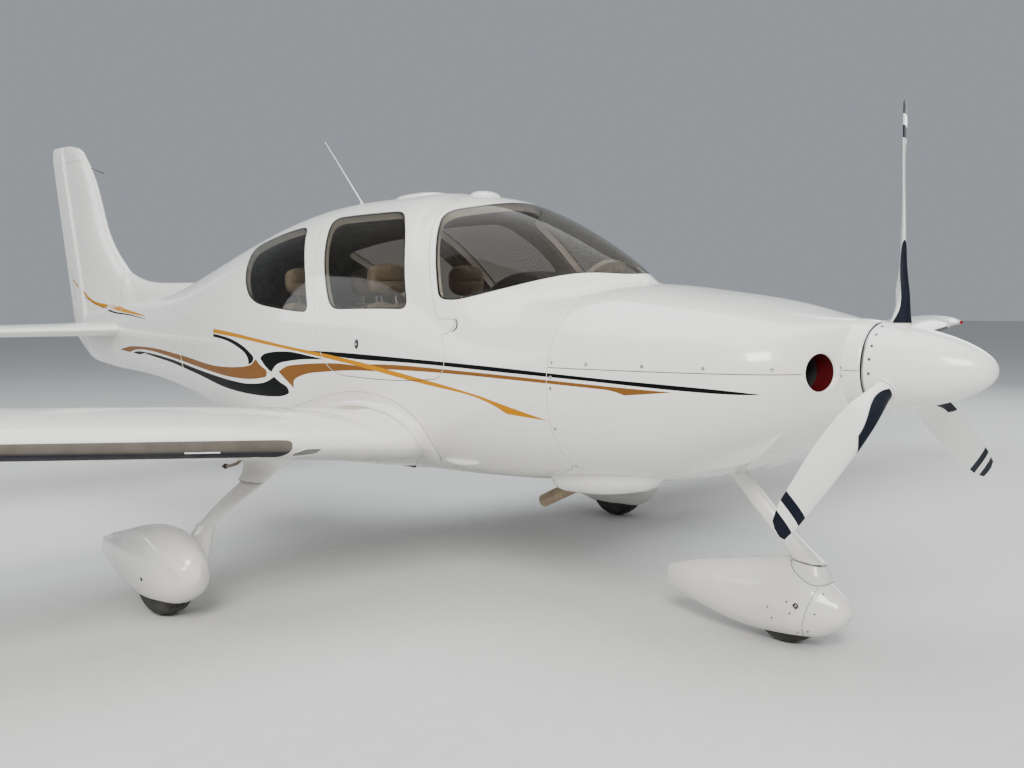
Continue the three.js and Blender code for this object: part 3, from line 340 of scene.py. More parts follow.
def turned_rings(profile: Sequence[Pair], centre: Triple, axis: Triple, sides: int) -> Array:
    """Rings about an axis, whose place along it and radius come from the profile's rows."""
    table = np.asarray(profile, float)
    along = unit(np.asarray(axis, float))
    first = unit(np.cross(along, [0.0, 0.0, 1.0] if abs(along[2]) < 0.9 else [1.0, 0.0, 0.0]))
    second = np.cross(along, first)
    centres = np.asarray(centre, float) + table[:, :1] * along
    return ellipse_ring(centres, first * table[:, 1:], second * table[:, 1:], sides)


def lathe(profile: Sequence[Pair], centre: Triple, axis: Triple, sides: int = 48, paint: int = 0) -> Mesh:
    """Turned body whose ends are closed."""
    return tube_mesh(turned_rings(profile, centre, axis, sides), paint)


def ring_lathe(profile: Sequence[Pair], centre: Triple, axis: Triple, sides: int = 64, paint: int = 0) -> Mesh:
    """Turned body with a hole: the profile closes on itself."""
    rings = turned_rings(profile, centre, axis, sides)
    faces = grid_faces(len(rings) + 1, sides, True) % (len(rings) * sides)
    return outward(Mesh.plain(rings.reshape(-1, 3), faces.tolist(), paint))


def rounded_profile(profile: Sequence[Triple], steps: int = 5) -> Array:
    """Open profile of two coordinates whose corners are arcs of the reach in each row's last column."""
    table = np.asarray(profile, float)
    rows = [table[:1, :2]]
    share = np.linspace(0, 1, steps)[:, None]
    for before, corner, after in zip(table[:-2], table[1:-1], table[2:]):
        ends = []
        for other in (before, after):
            away = other[:2] - corner[:2]
            distance = max(np.linalg.norm(away), 1e-9)
            ends.append(corner[:2] + away * min(corner[2], 0.48 * distance) / distance)
        rows.append(soft_corner(ends[0], corner[:2], ends[1], share))
    return np.vstack([*rows, table[-1:, :2]])


def box_mesh(low: Triple, high: Triple, bevel: float = 0.004, paint: int = 0) -> Mesh:
    """Box with rounded upright edges and chamfered rims: one rounded outline at four heights."""
    low_corner, high_corner = np.asarray(low, float), np.asarray(high, float)
    bevel = min(bevel, 0.45 * float(np.min(high_corner - low_corner)))
    middle, half = (low_corner + high_corner) / 2, (high_corner - low_corner) / 2

    def ring(shrink: float, z: float) -> Array:
        """Rounded rectangle at a height, pulled in on all sides."""
        a, b = half[0] - shrink, half[1] - shrink
        corners = [(-a, -b, bevel), (a, -b, bevel), (a, b, bevel), (-a, b, bevel)]
        flat = rounded_outline(corners, 48) + middle[:2]
        return np.column_stack([flat, np.full(len(flat), z)])

    levels = [(bevel, low_corner[2]), (0, low_corner[2] + bevel), (0, high_corner[2] - bevel)]
    rings = [ring(shrink, z) for shrink, z in [*levels, (bevel, high_corner[2])]]
    return tube_mesh(np.stack(rings), paint)


def link_object(name: str, data: bpy.types.ID) -> bpy.types.Object:
    """Makes an object of some data in the scene."""
    obj = bpy.data.objects.new(name, data)
    bpy.context.scene.collection.objects.link(obj)
    return obj


def make_object(
    name: str,
    mesh: Mesh,
    finishes: Sequence["Finish"],
    body: str,
    slot: str,
    replaces: Sequence[str] = (),
    sharp: float = 40.0,
) -> bpy.types.Object:
    """Makes a Blender object that rides on a body.

    Args:
        name: The piece's name.
        mesh: Its surface.
        finishes: Finishes in the order of the mesh's material numbers.
        body: Body that it moves with.
        slot: Material slot of the record; not used.
        replaces: Frame nodes that it stands for.
        sharp: Angle in degrees past which an edge stays sharp.

    Returns:
        The object.
    """
    data = bpy.data.meshes.new(name)
    data.from_pydata(mesh.points.tolist(), [], mesh.faces)
    data.validate()
    for finish in finishes:
        data.materials.append(finish.material)
    if len(data.polygons) == len(mesh.paint):
        data.polygons.foreach_set("material_index", np.asarray(mesh.paint, np.int32))
    data.polygons.foreach_set("use_smooth", np.ones(len(data.polygons), bool))
    data.set_sharp_from_angle(angle=math.radians(sharp))
    if np.any(mesh.normals):
        set_normals(data, mesh)
    data.update()
    obj = link_object(name, data)
    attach(obj, body)
    if replaces:
        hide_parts(*replaces)
    LOG.info("%s: %d faces on %s", name, len(data.polygons), body)
    return obj


def make_pairs(*rows: tuple) -> None:
    """Makes pieces on port, and then the same ones on starboard.

    Args:
        rows: What make_object is called with. The mesh is built for port, and a pair of braces in a name, a
            body or a replaced node stands for the side's word.
    """
    for side in Side:
        for name, mesh, finishes, body, slot, *rest in rows:
            name, body = name.format(side.word), body.format(side.word)
            nodes = [node.format(side.word) for node in rest[0]] if rest else ()
            make_object(name, mesh.on(side), finishes, body, slot, nodes, *rest[1:])


def set_normals(data: bpy.types.Mesh, mesh: Mesh) -> None:
    """Gives each face corner its vertex's worked-out normal, or Blender's own where that is zero."""
    count = len(data.loops)
    vertex = np.zeros(count, np.int32)
    data.loops.foreach_get("vertex_index", vertex)
    own = np.zeros(count * 3, np.float32)
    data.corner_normals.foreach_get("vector", own)
    own = own.reshape(-1, 3)
    given = mesh.normals[vertex]
    known = np.linalg.norm(given, axis=1) > 0.5
    agrees = np.einsum("ij,ij->i", given, own) > 0.55
    use = known & agrees
    own[use] = given[use]
    data.normals_split_custom_set(own.tolist())


class Graph:
    """Node graph of a material, with short calls for the nodes that the finishes share."""

    def __init__(self, name: str) -> None:
        """Makes an empty material with a principled shader and object coordinates."""
        self.material = bpy.data.materials.new(name)
        self.material.use_nodes = True
        self.tree = self.material.node_tree
        self.tree.nodes.clear()
        self.output = self.node("ShaderNodeOutputMaterial")
        self.shader = self.node("ShaderNodeBsdfPrincipled")
        self.place = self.node("ShaderNodeTexCoord").outputs["Object"]
        self.link(self.shader.outputs["BSDF"], self.output.inputs["Surface"])

    def node(self, kind: str, **values: object) -> bpy.types.Node:
        """Adds a node and sets its properties."""
        made = self.tree.nodes.new(kind)
        for key, value in values.items():
            setattr(made, key, value)
        return made

    def link(self, source: bpy.types.NodeSocket, target: bpy.types.NodeSocket) -> None:
        """Joins two sockets."""
        self.tree.links.new(source, target)

    def set(self, **values: object) -> "Graph":
        """Sets the shader's own sockets, named with underscores for spaces."""
        for key, value in values.items():
            self.shader.inputs[key.replace("_", " ")].default_value = value
        return self

    def stretched(self, scale: Triple) -> bpy.types.NodeSocket:
        """Object coordinates scaled on each axis."""
        mapping = self.node("ShaderNodeMapping")
        mapping.inputs["Scale"].default_value = scale
        self.link(self.place, mapping.inputs["Vector"])
        return mapping.outputs["Vector"]

    def noise(self, scale: float, detail: float = 3.0, source: Optional[bpy.types.NodeSocket] = None):
        """Noise of a scale in turns per metre; gives its 0 to 1 output."""
        made = self.node("ShaderNodeTexNoise")
        made.inputs["Scale"].default_value = scale
        made.inputs["Detail"].default_value = detail
        self.link(source or self.place, made.inputs["Vector"])
        return made.outputs["Fac"]

    def cells(self, scale: float, source: Optional[bpy.types.NodeSocket] = None):
        """Distance to the edge between cells of a scale in cells per metre."""
        made = self.node("ShaderNodeTexVoronoi", feature="DISTANCE_TO_EDGE")
        made.inputs["Scale"].default_value = scale
        self.link(source or self.place, made.inputs["Vector"])
        return made.outputs["Distance"]

    def ramp(self, source: bpy.types.NodeSocket, low: float, high: float, start: Sequence[float], end: Sequence[float]):
        """Colour that runs from start to end as the source goes from low to high."""
        made = self.node("ShaderNodeValToRGB")
        made.color_ramp.elements[0].position = low
        made.color_ramp.elements[1].position = high
        made.color_ramp.elements[0].color = (*start, 1.0)
        made.color_ramp.elements[1].color = (*end, 1.0)
        self.link(source, made.inputs["Fac"])
        return made.outputs["Color"]

    def span(self, source: bpy.types.NodeSocket, low: float, high: float, start: float, end: float):
        """Number that runs from start to end as the source goes from low to high."""
        made = self.node("ShaderNodeMapRange")
        for key, value in (("From Min", low), ("From Max", high), ("To Min", start), ("To Max", end)):
            made.inputs[key].default_value = value
        self.link(source, made.inputs["Value"])
        return made.outputs["Result"]

    def mix(self, share: bpy.types.NodeSocket, first: object, second: object):
        """Colour between two others by a share; each may be a socket or a fixed colour."""
        made = self.node("ShaderNodeMix", data_type="RGBA")
        self.link(share, made.inputs[0])
        for socket, value in ((made.inputs[6], first), (made.inputs[7], second)):
            if isinstance(value, bpy.types.NodeSocket):
                self.link(value, socket)
            else:
                socket.default_value = (*value, 1.0)
        return made.outputs[2]

    def height(self) -> bpy.types.NodeSocket:
        """Height above the ground."""
        made = self.node("ShaderNodeSeparateXYZ")
        self.link(self.place, made.inputs["Vector"])
        return made.outputs["Z"]

    def lifted(self, rise: float) -> bpy.types.NodeSocket:
        """Height less the rise times the distance from the middle plane."""
        made = self.node("ShaderNodeSeparateXYZ")
        self.link(self.place, made.inputs["Vector"])
        away = self.node("ShaderNodeMath", operation="ABSOLUTE")
        self.link(made.outputs["Y"], away.inputs[0])
        total = self.node("ShaderNodeMath", operation="MULTIPLY_ADD")
        self.link(away.outputs[0], total.inputs[0])
        total.inputs[1].default_value = -rise
        self.link(made.outputs["Z"], total.inputs[2])
        return total.outputs[0]

    def colour(self, source: bpy.types.NodeSocket) -> "Graph":
        """Feeds the base colour."""
        self.link(source, self.shader.inputs["Base Color"])
        return self

    def rough(self, source: bpy.types.NodeSocket) -> "Graph":
        """Feeds the roughness."""
        self.link(source, self.shader.inputs["Roughness"])
        return self

    def bump(self, source: bpy.types.NodeSocket, strength: float, distance: float) -> "Graph":
        """Adds a bump of a height in metres, on top of any bump already there."""
        made = self.node("ShaderNodeBump")
        made.inputs["Strength"].default_value = strength
        made.inputs["Distance"].default_value = distance
        self.link(source, made.inputs["Height"])
        earlier = self.shader.inputs["Normal"].links
        if earlier:
            self.link(earlier[0].from_socket, made.inputs["Normal"])
        self.link(made.outputs["Normal"], self.shader.inputs["Normal"])
        return self


def tint(colour: Triple, factor: float) -> Triple:
    """Colour times a factor, held under one."""
    return tuple(min(channel * factor, 1.0) for channel in colour)


class Finish:
    """A finish that makes its material once and hands out the same one afterwards."""

    made: dict = {}

    def build(self) -> Graph:
        """Makes the material's graph."""
        raise NotImplementedError

    @property
    def material(self) -> bpy.types.Material:
        """The material of this finish."""
        if self not in Finish.made:
            Finish.made[self] = self.build().material
        return Finish.made[self]


@dataclass(frozen=True)
class GlossPaint(Finish):
    """Sprayed paint under a clear coat: slight unevenness in tone, dust low down and an orange-peel skin.

    Attributes:
        name: The material's name.
        tone: Base colour.
        roughness: Middle of the roughness.
        coat: Weight of the clear coat.
        dust: Share of dust near the ground.
        ior: Index of refraction, low where the paint must stay dark at a grazing view.
    """

    name: str
    tone: Triple
    roughness: float = 0.3
    coat: float = 0.7
    dust: float = 0.35
    ior: float = 1.5

    def build(self) -> Graph:
        """Tone times broad noise, dust by height, roughness by fine noise and a very low bump."""
        graph = Graph(self.name).set(Coat_Weight=self.coat, Coat_Roughness=0.05, IOR=self.ior)
        broad = graph.ramp(graph.noise(1.3, 4), 0.3, 0.7, tint(self.tone, 0.965), tint(self.tone, 1.02))
        streaks = graph.noise(9.0, 5, graph.stretched((0.25, 1.0, 1.6)))
        low = graph.span(graph.height(), 0.9, 0.15, 0.0, self.dust)
        share = graph.node("ShaderNodeMath", operation="MULTIPLY")
        graph.link(low, share.inputs[0])
        graph.link(streaks, share.inputs[1])
        graph.colour(graph.mix(share.outputs[0], broad, tint((0.52, 0.47, 0.4), 0.6 + 0.4 * self.tone[0])))
        graph.rough(graph.span(streaks, 0.3, 0.75, self.roughness - 0.07, self.roughness + 0.09))
        return graph.bump(graph.noise(260.0, 2), 0.12, 0.00025)


@dataclass(frozen=True)
class TintedGlass(Finish):
    """Clear or smoked sheet with faint smears."""

    name: str
    tone: Triple
    roughness: float = 0.02

    def build(self) -> Graph:
        """Transmission through a toned sheet whose roughness follows stretched noise."""
        graph = Graph(self.name).set(Transmission_Weight=1.0, IOR=1.16)
        smear = graph.noise(6.0, 6, graph.stretched((1.0, 1.0, 3.0)))
        graph.colour(graph.ramp(smear, 0.3, 0.75, tint(self.tone, 0.96), self.tone))
        return graph.rough(graph.span(smear, 0.45, 0.8, self.roughness, self.roughness + 0.05))


@dataclass(frozen=True)
class Moulded(Finish):
    """Moulded plastic or rubber: fine grain, slight patches of wear.

    Attributes:
        name: The material's name.
        tone: Base colour.
        roughness: Middle of the roughness.
        grain: Turns of the grain's noise per metre.
        depth: Height of the grain.
        worn: Factor on the tone where it is worn.
        ior: Index of refraction.
    """

    name: str
    tone: Triple
    roughness: float = 0.55
    grain: float = 700.0
    depth: float = 0.0003
    worn: float = 1.35
    ior: float = 1.48

    def build(self) -> Graph:
        """Tone between itself and a worn shade by noise, with a fine noise bump."""
        graph = Graph(self.name).set(IOR=self.ior)
        patches = graph.noise(14.0, 6)
        graph.colour(graph.ramp(patches, 0.42, 0.8, self.tone, tint(self.tone, self.worn)))
        graph.rough(graph.span(patches, 0.3, 0.8, self.roughness + 0.05, self.roughness - 0.12))
        return graph.bump(graph.noise(self.grain, 3), 0.35, self.depth)


@dataclass(frozen=True)
class Metal(Finish):
    """Brushed or cast metal with stains."""

    name: str
    tone: Triple
    stain: Triple
    roughness: float = 0.32
    brush: Triple = (1.0, 1.0, 1.0)
    grain: float = 300.0
    depth: float = 0.0002

    def build(self) -> Graph:
        """Tone and stain mixed by noise, roughness and bump from noise stretched along the brushing."""
        graph = Graph(self.name).set(Metallic=1.0)
        blotch = graph.noise(11.0, 7)
        lines = graph.noise(self.grain, 3, graph.stretched(self.brush))
        graph.colour(graph.ramp(blotch, 0.38, 0.72, self.tone, self.stain))
        graph.rough(graph.span(lines, 0.25, 0.75, self.roughness - 0.08, self.roughness + 0.16))
        return graph.bump(lines, 0.3, self.depth)


@dataclass(frozen=True)
class Porous(Finish):
    """Drilled metal strip along a leading edge, with painted shade: darker and bluer on its lower, downward-facing
    part.

    Attributes:
        level: Height at which the tone turns to the painted shade, at y zero.
        rise: How much that height rises per metre of y.
    """

    name: str
    tone: Triple
    # under: painted shade of the strip's lower, downward-facing part, dark and bluish
    under: Triple
    level: float
    rise: float

    def build(self) -> Graph:
        """The strip's tone, and a painted shade below a line: mixed by the height less the rise times the distance from
        the middle, and fine pores.
        """
        graph = Graph(self.name).set(Metallic=0.35, IOR=1.2)
        lower = graph.lifted(self.rise)
        patches = graph.ramp(graph.noise(11.0, 7), 0.38, 0.72, self.tone, tint(self.tone, 0.78))
        # painted shade: below the level line the strip turns to the dark, bluish under tone
        share = graph.span(lower, self.level - 0.008, self.level + 0.004, 1.0, 0.0)
        graph.colour(graph.mix(share, patches, self.under))
        lines = graph.noise(900.0, 3)
        graph.rough(graph.span(lines, 0.25, 0.75, 0.42, 0.66))
        return graph.bump(lines, 0.3, 0.0002)


@dataclass(frozen=True)
class Leather(Finish):
    """Grained leather: pores between small cells, long creases and a worn sheen."""

    name: str
    tone: Triple
    sheen: float = 0.15

    def build(self) -> Graph:
        """Cell edges and noise make the grain; tone darkens in the pores as painted shade, and varies broadly."""
        graph = Graph(self.name).set(Sheen_Weight=self.sheen, Sheen_Roughness=0.4, IOR=1.45)
        pores = graph.cells(420.0)
        broad = graph.noise(7.0, 5)
        shade = graph.ramp(broad, 0.3, 0.75, tint(self.tone, 0.82), tint(self.tone, 1.1))
        # painted shade: the tone darkens towards the cell edges, in the grain's sunken pores
        deep = graph.span(pores, 0.0, 0.12, 0.55, 0.0)
        graph.colour(graph.mix(deep, shade, tint(self.tone, 0.55)))
        graph.rough(graph.span(broad, 0.3, 0.7, 0.52, 0.38))
        graph.bump(pores, 0.5, 0.0006)
        return graph.bump(graph.noise(55.0, 5), 0.3, 0.0012)


@dataclass(frozen=True)
class Cloth(Finish):
    """Carpet or woven lining: threads at a pitch, with tufts of tone."""

    name: str
    tone: Triple
    pitch: float = 260.0
    pile: float = 0.0012
    sheen: float = 0.3

    def build(self) -> Graph:
        """Fine cells for the threads and noise for the pile's lean."""
        graph = Graph(self.name).set(Sheen_Weight=self.sheen, Sheen_Roughness=0.6)
        threads = graph.cells(self.pitch)
        lean = graph.noise(30.0, 6)
        graph.colour(graph.ramp(lean, 0.25, 0.8, tint(self.tone, 0.72), tint(self.tone, 1.25)))
        graph.rough(graph.span(lean, 0.2, 0.8, 0.85, 0.98))
        graph.bump(threads, 0.7, self.pile)
        return graph.bump(graph.noise(600.0, 2), 0.4, 0.0006)


class Paint:
    """The aircraft's own finishes, by the name of what they cover."""

    WHITE = GlossPaint("white_paint", (0.83, 0.82, 0.78))
    BLACK = GlossPaint("black_stripe_paint", (0.002, 0.003, 0.003), 0.5, 0.05, 0.03, 1.15)
    GOLD = GlossPaint("gold_stripe_paint", (0.46, 0.19, 0.0), 0.45, 0.06, 0.06, 1.2)
    BROWN = GlossPaint("brown_stripe_paint", (0.19, 0.078, 0.016), 0.45, 0.06, 0.06, 1.2)
    WALKWAY = Moulded("walkway_grit", (0.5, 0.44, 0.36), 0.85, 420.0, 0.0012, 0.8)
    # the porous strip's lower part carries painted shade
    DEICE = Porous("porous_strip_painted_shade", (0.17, 0.15, 0.13), (0.012, 0.014, 0.024), 0.6685, 0.0875)
    GLASS = TintedGlass("smoked_acrylic", (0.58, 0.55, 0.5))
    SEAL = Moulded("black_seal", (0.014, 0.014, 0.015), 0.5)
    LINING = Cloth("grey_headliner", (0.42, 0.41, 0.39), 900.0, 0.0002, 0.15)
    CARPET = Cloth("grey_carpet", (0.12, 0.115, 0.11), 240.0, 0.0016)
    LEATHER = Leather("tan_leather", (0.36, 0.3, 0.235))
    PANEL = Moulded("panel_cover", (0.022, 0.022, 0.025), 0.6, 520.0, 0.0005, 1.6)
    SCREEN = GlossPaint("screen_glass", (0.004, 0.006, 0.009), 0.12, 1.0, 0.0)
    RUBBER = Moulded("tyre_rubber", (0.022, 0.021, 0.02), 0.75, 340.0, 0.0006, 2.4)
    RIM = Metal("cast_rim", (0.55, 0.55, 0.56), (0.32, 0.31, 0.3), 0.4, (1.0, 1.0, 1.0), 240.0)
    STEEL = Metal("plain_steel", (0.5, 0.5, 0.51), (0.33, 0.31, 0.29), 0.3, (1.0, 6.0, 1.0), 420.0)
    SCREW = Metal("dark_screw", (0.2, 0.19, 0.18), (0.1, 0.09, 0.08), 0.4)
    EXHAUST = Metal("heat_tinted_steel", (0.3, 0.24, 0.17), (0.17, 0.13, 0.1), 0.42, (3.0, 1.0, 1.0), 260.0)
    CASTING = Metal("engine_casting", (0.2, 0.2, 0.2), (0.11, 0.1, 0.09), 0.55, (1.0, 1.0, 1.0), 180.0, 0.0008)
    BAFFLE = Moulded("red_baffle_rubber", (0.06, 0.002, 0.004), 0.6, 300.0, 0.0006, 0.5, 1.2)
    DARK = Moulded("shadowed_recess", (0.006, 0.006, 0.008), 0.8)
    BLADE = GlossPaint("white_enamel", (0.85, 0.85, 0.82), 0.26, 0.5, 0.0)
    BOOT = Moulded("blade_boot", (0.006, 0.008, 0.015), 0.5, 500.0, 0.0004, 1.6, 1.25)
    RED_LENS = TintedGlass("red_lens", (0.75, 0.03, 0.02))
    GREEN_LENS = TintedGlass("green_lens", (0.03, 0.5, 0.2))
    GEAR = GlossPaint("gear_paint", (0.8, 0.79, 0.76), 0.32)
    PIPING = Leather("dark_piping", (0.16, 0.13, 0.1))
    TRIM = Moulded("grey_trim", (0.16, 0.155, 0.15), 0.55, 520.0, 0.0004, 1.3)
    TAPE = Moulded("grey_tape", (0.3, 0.31, 0.33), 0.45, 500.0, 0.0002, 1.2)
    STAGE = Moulded("pale_floor", (0.62, 0.62, 0.61), 0.8, 40.0, 0.0004, 1.05)


class Surface:
    """Curved surface with two parameters, from which panels are cut."""

    step: float = 0.002

    def at(self, s: Array, v: Array, inset: float = 0.0) -> Array:
        """Points at the parameters, pushed in by an inset."""
        raise NotImplementedError

    def outwards(self, s: Array, v: Array) -> Array:
        """Rough outward directions, which settle the normals' sign."""
        raise NotImplementedError

    def normal(self, s: Array, v: Array) -> Array:
        """Unit normals: the cross product of the two central differences, turned outwards."""
        h = self.step
        along = self.at(s + h, v) - self.at(s - h, v)
        round_ = self.at(s, v + h) - self.at(s, v - h)
        cross = unit(np.cross(along, round_))
        sign = np.sign(np.einsum("ij,ij->i", cross, self.outwards(s, v)))
        return cross * np.where(sign == 0, 1.0, sign)[:, None]

    def spot(self, s: float, v: float) -> tuple[Array, Array]:
        """Point and normal at one pair of parameters."""
        place = np.array([s], float), np.array([v], float)
        return self.at(*place)[0], self.normal(*place)[0]


def super_radius(width: Array, height: Array, power: Array, angle: Array) -> Array:
    """Radius of a superellipse quarter: (|cos/width|^power + |sin/height|^power)^(-1/power)."""
    across = np.abs(np.cos(angle) / width) ** power
    upward = np.abs(np.sin(angle) / height) ** power
    return (across + upward) ** (-1 / power)


@dataclass
class Skin(Surface):
    """Fuselage skin in polar sections: the parameters are x and the angle times the outline radius.

    Attributes:
        stations: Rows of x, half width, centre height, belly height, deck height and the two exponents.
        canopy: Rows of x, half width, top height and exponent over the cabin.
        girth: Length that one radian stands for in outlines.
        blend: Reach of the soft crease where the canopy meets the deck.
        seam: Middle x of the cowl's rear edge, and how far it shifts at the top and under the belly.
    """

    stations: Sequence[Sequence[float]] = (
        (3.45, 0.185, 1.156, 0.975, 1.335, 2.0, 2.0),
        (3.4, 0.3, 1.15, 0.93, 1.342, 2.1, 2.0),
        (3.3, 0.43, 1.14, 0.855, 1.358, 2.3, 2.1),
        (3.1, 0.53, 1.12, 0.755, 1.403, 2.4, 2.2),
        (2.8, 0.6, 1.09, 0.655, 1.448, 2.4, 2.3),
        (2.4, 0.645, 1.06, 0.6, 1.485, 2.4, 2.4),
        (1.9, 0.67, 1.05, 0.558, 1.545, 2.3, 2.5),
        (1.4, 0.68, 1.05, 0.535, 1.9, 2.2, 2.5),
        (0.9, 0.68, 1.06, 0.525, 1.975, 2.2, 2.5),
        (0.3, 0.67, 1.07, 0.535, 1.955, 2.2, 2.5),
        (-0.3, 0.61, 1.09, 0.6, 1.848, 2.15, 2.4),
        (-0.9, 0.5, 1.12, 0.7, 1.692, 2.1, 2.3),
        (-1.6, 0.365, 1.15, 0.8, 1.521, 2.0, 2.1),
        (-2.3, 0.245, 1.17, 0.87, 1.43, 2.0, 2.0),
        (-3.0, 0.13, 1.18, 0.912, 1.35, 2.0, 2.0),
        (-3.6, 0.05, 1.19, 1.0, 1.31, 2.0, 2.0),
    )
    canopy: Sequence[Sequence[float]] = (
        (2.44, 0.1, 1.487, 2.0),
        (2.3, 0.33, 1.577, 2.0),
        (2.1, 0.46, 1.69, 2.05),
        (1.85, 0.56, 1.81, 2.1),
        (1.6, 0.62, 1.9, 2.15),
        (1.3, 0.665, 1.952, 2.2),
        (0.9, 0.68, 1.975, 2.2),
    )
    girth: float = 0.7
    blend: float = 0.045
    seam: Triple = (2.365, 0.115, 0.322)

    def __post_init__(self) -> None:
        """Puts a spline through each column."""
        body, top = np.asarray(self.stations), np.asarray(self.canopy)
        splines = column_splines(body, range(1, 7))
        self.width, self.centre, self.belly, self.deck, self.upper, self.lower = splines
        self.canopy_width, self.canopy_top, self.canopy_power = column_splines(top, range(1, 4))

    def radius(self, x: Array, angle: Array) -> Array:
        """Distance from the section's centre: the body's superellipse, or the canopy's where it is larger.

        The larger of the two is taken softly: their gap, as a share of the blend, is squared and added.
        """
        up = np.sin(angle) >= 0
        centre = self.centre(x)
        height = np.where(up, self.deck(x) - centre, centre - self.belly(x))
        body = super_radius(self.width(x), height, np.where(up, self.upper(x), self.lower(x)), angle)
        top = super_radius(self.canopy_width(x), self.canopy_top(x) - centre, self.canopy_power(x), angle)
        over = up & (x >= self.canopy[-1][0]) & (x <= self.canopy[0][0])
        blend = self.blend * smoothstep(1.35, 1.75, x) * (1 - smoothstep(2.3, 2.44, x)) + 1e-6
        share = np.maximum(1 - np.abs(body - top) / blend, 0.0)
        return np.where(over, np.maximum(body, top) + share**2 * blend / 4, body)

    def polar(self, x: Array, angle: Array, inset: float = 0.0) -> Array:
        """Points at stations and angles: the centre plus the radius, less an inset, along the angle."""
        x, angle = np.broadcast_arrays(np.asarray(x, float), np.asarray(angle, float))
        radius = self.radius(x, angle) - inset
        return np.stack([x, radius * np.cos(angle), self.centre(x) + radius * np.sin(angle)], -1)

    def at(self, s: Array, v: Array, inset: float = 0.0) -> Array:
        """Points by x and girth."""
        return self.polar(s, v / self.girth, inset)

    def outwards(self, s: Array, v: Array) -> Array:
        """Direction of the angle."""
        angle = v / self.girth
        return np.stack([np.zeros_like(angle), np.cos(angle), np.sin(angle)], -1)

    def cowl_edge(self, angle: Array) -> Array:
        """x of the seam between cabin and cowl: forward of its middle at the top, aft of it at the belly."""
        turn = np.degrees(np.arcsin(np.sin(angle)))
        middle, top, bottom = self.seam
        return middle + top * smoothstep(40, 80, turn) - bottom * smoothstep(34, 60, -turn)

    def angle_at(self, x: Array, z: Array) -> Array:
        """Port-side angle whose point has a height, by halving between the belly and the crown."""
        x, z = np.broadcast_arrays(np.asarray(x, float), np.asarray(z, float))
        quarter = np.full(x.shape, math.pi / 2)
        return halved(-quarter, quarter, lambda angle: self.polar(x, angle)[..., 2] < z, 40)

    def flat(self, rows: Sequence[Pair]) -> Array:
        """Points of x and z on the port side as the surface's own parameters."""
        table = np.asarray(rows, float)
        return np.column_stack([table[:, 0], self.angle_at(table[:, 0], table[:, 1]) * self.girth])

    def outline(self, corners: Sequence[Triple], spacing: float = 0.012, offset: float = 0.0) -> Array:
        """Rounded outline from rows of x, angle in degrees and corner reach, as the surface's parameters."""
        table = np.asarray(corners, float)
        table[:, 1] = np.radians(table[:, 1]) * self.girth
        return spaced(offset_outline(rounded_outline(table, 400), offset), spacing)


def spaced(outline: Array, spacing: float) -> Array:
    """Closed outline with its points about a spacing apart."""
    length = np.sum(np.linalg.norm(np.roll(outline, -1, axis=0) - outline, axis=1))
    return even_path(outline, max(int(round(length / spacing)), 8))


def mirrored_outline(outline: Array) -> Array:
    """Outline on the starboard side: the girth counted back from half a turn."""
    return np.column_stack([outline[:, 0], math.pi * SKIN.girth - outline[:, 1]])[::-1]


SKIN = Skin()


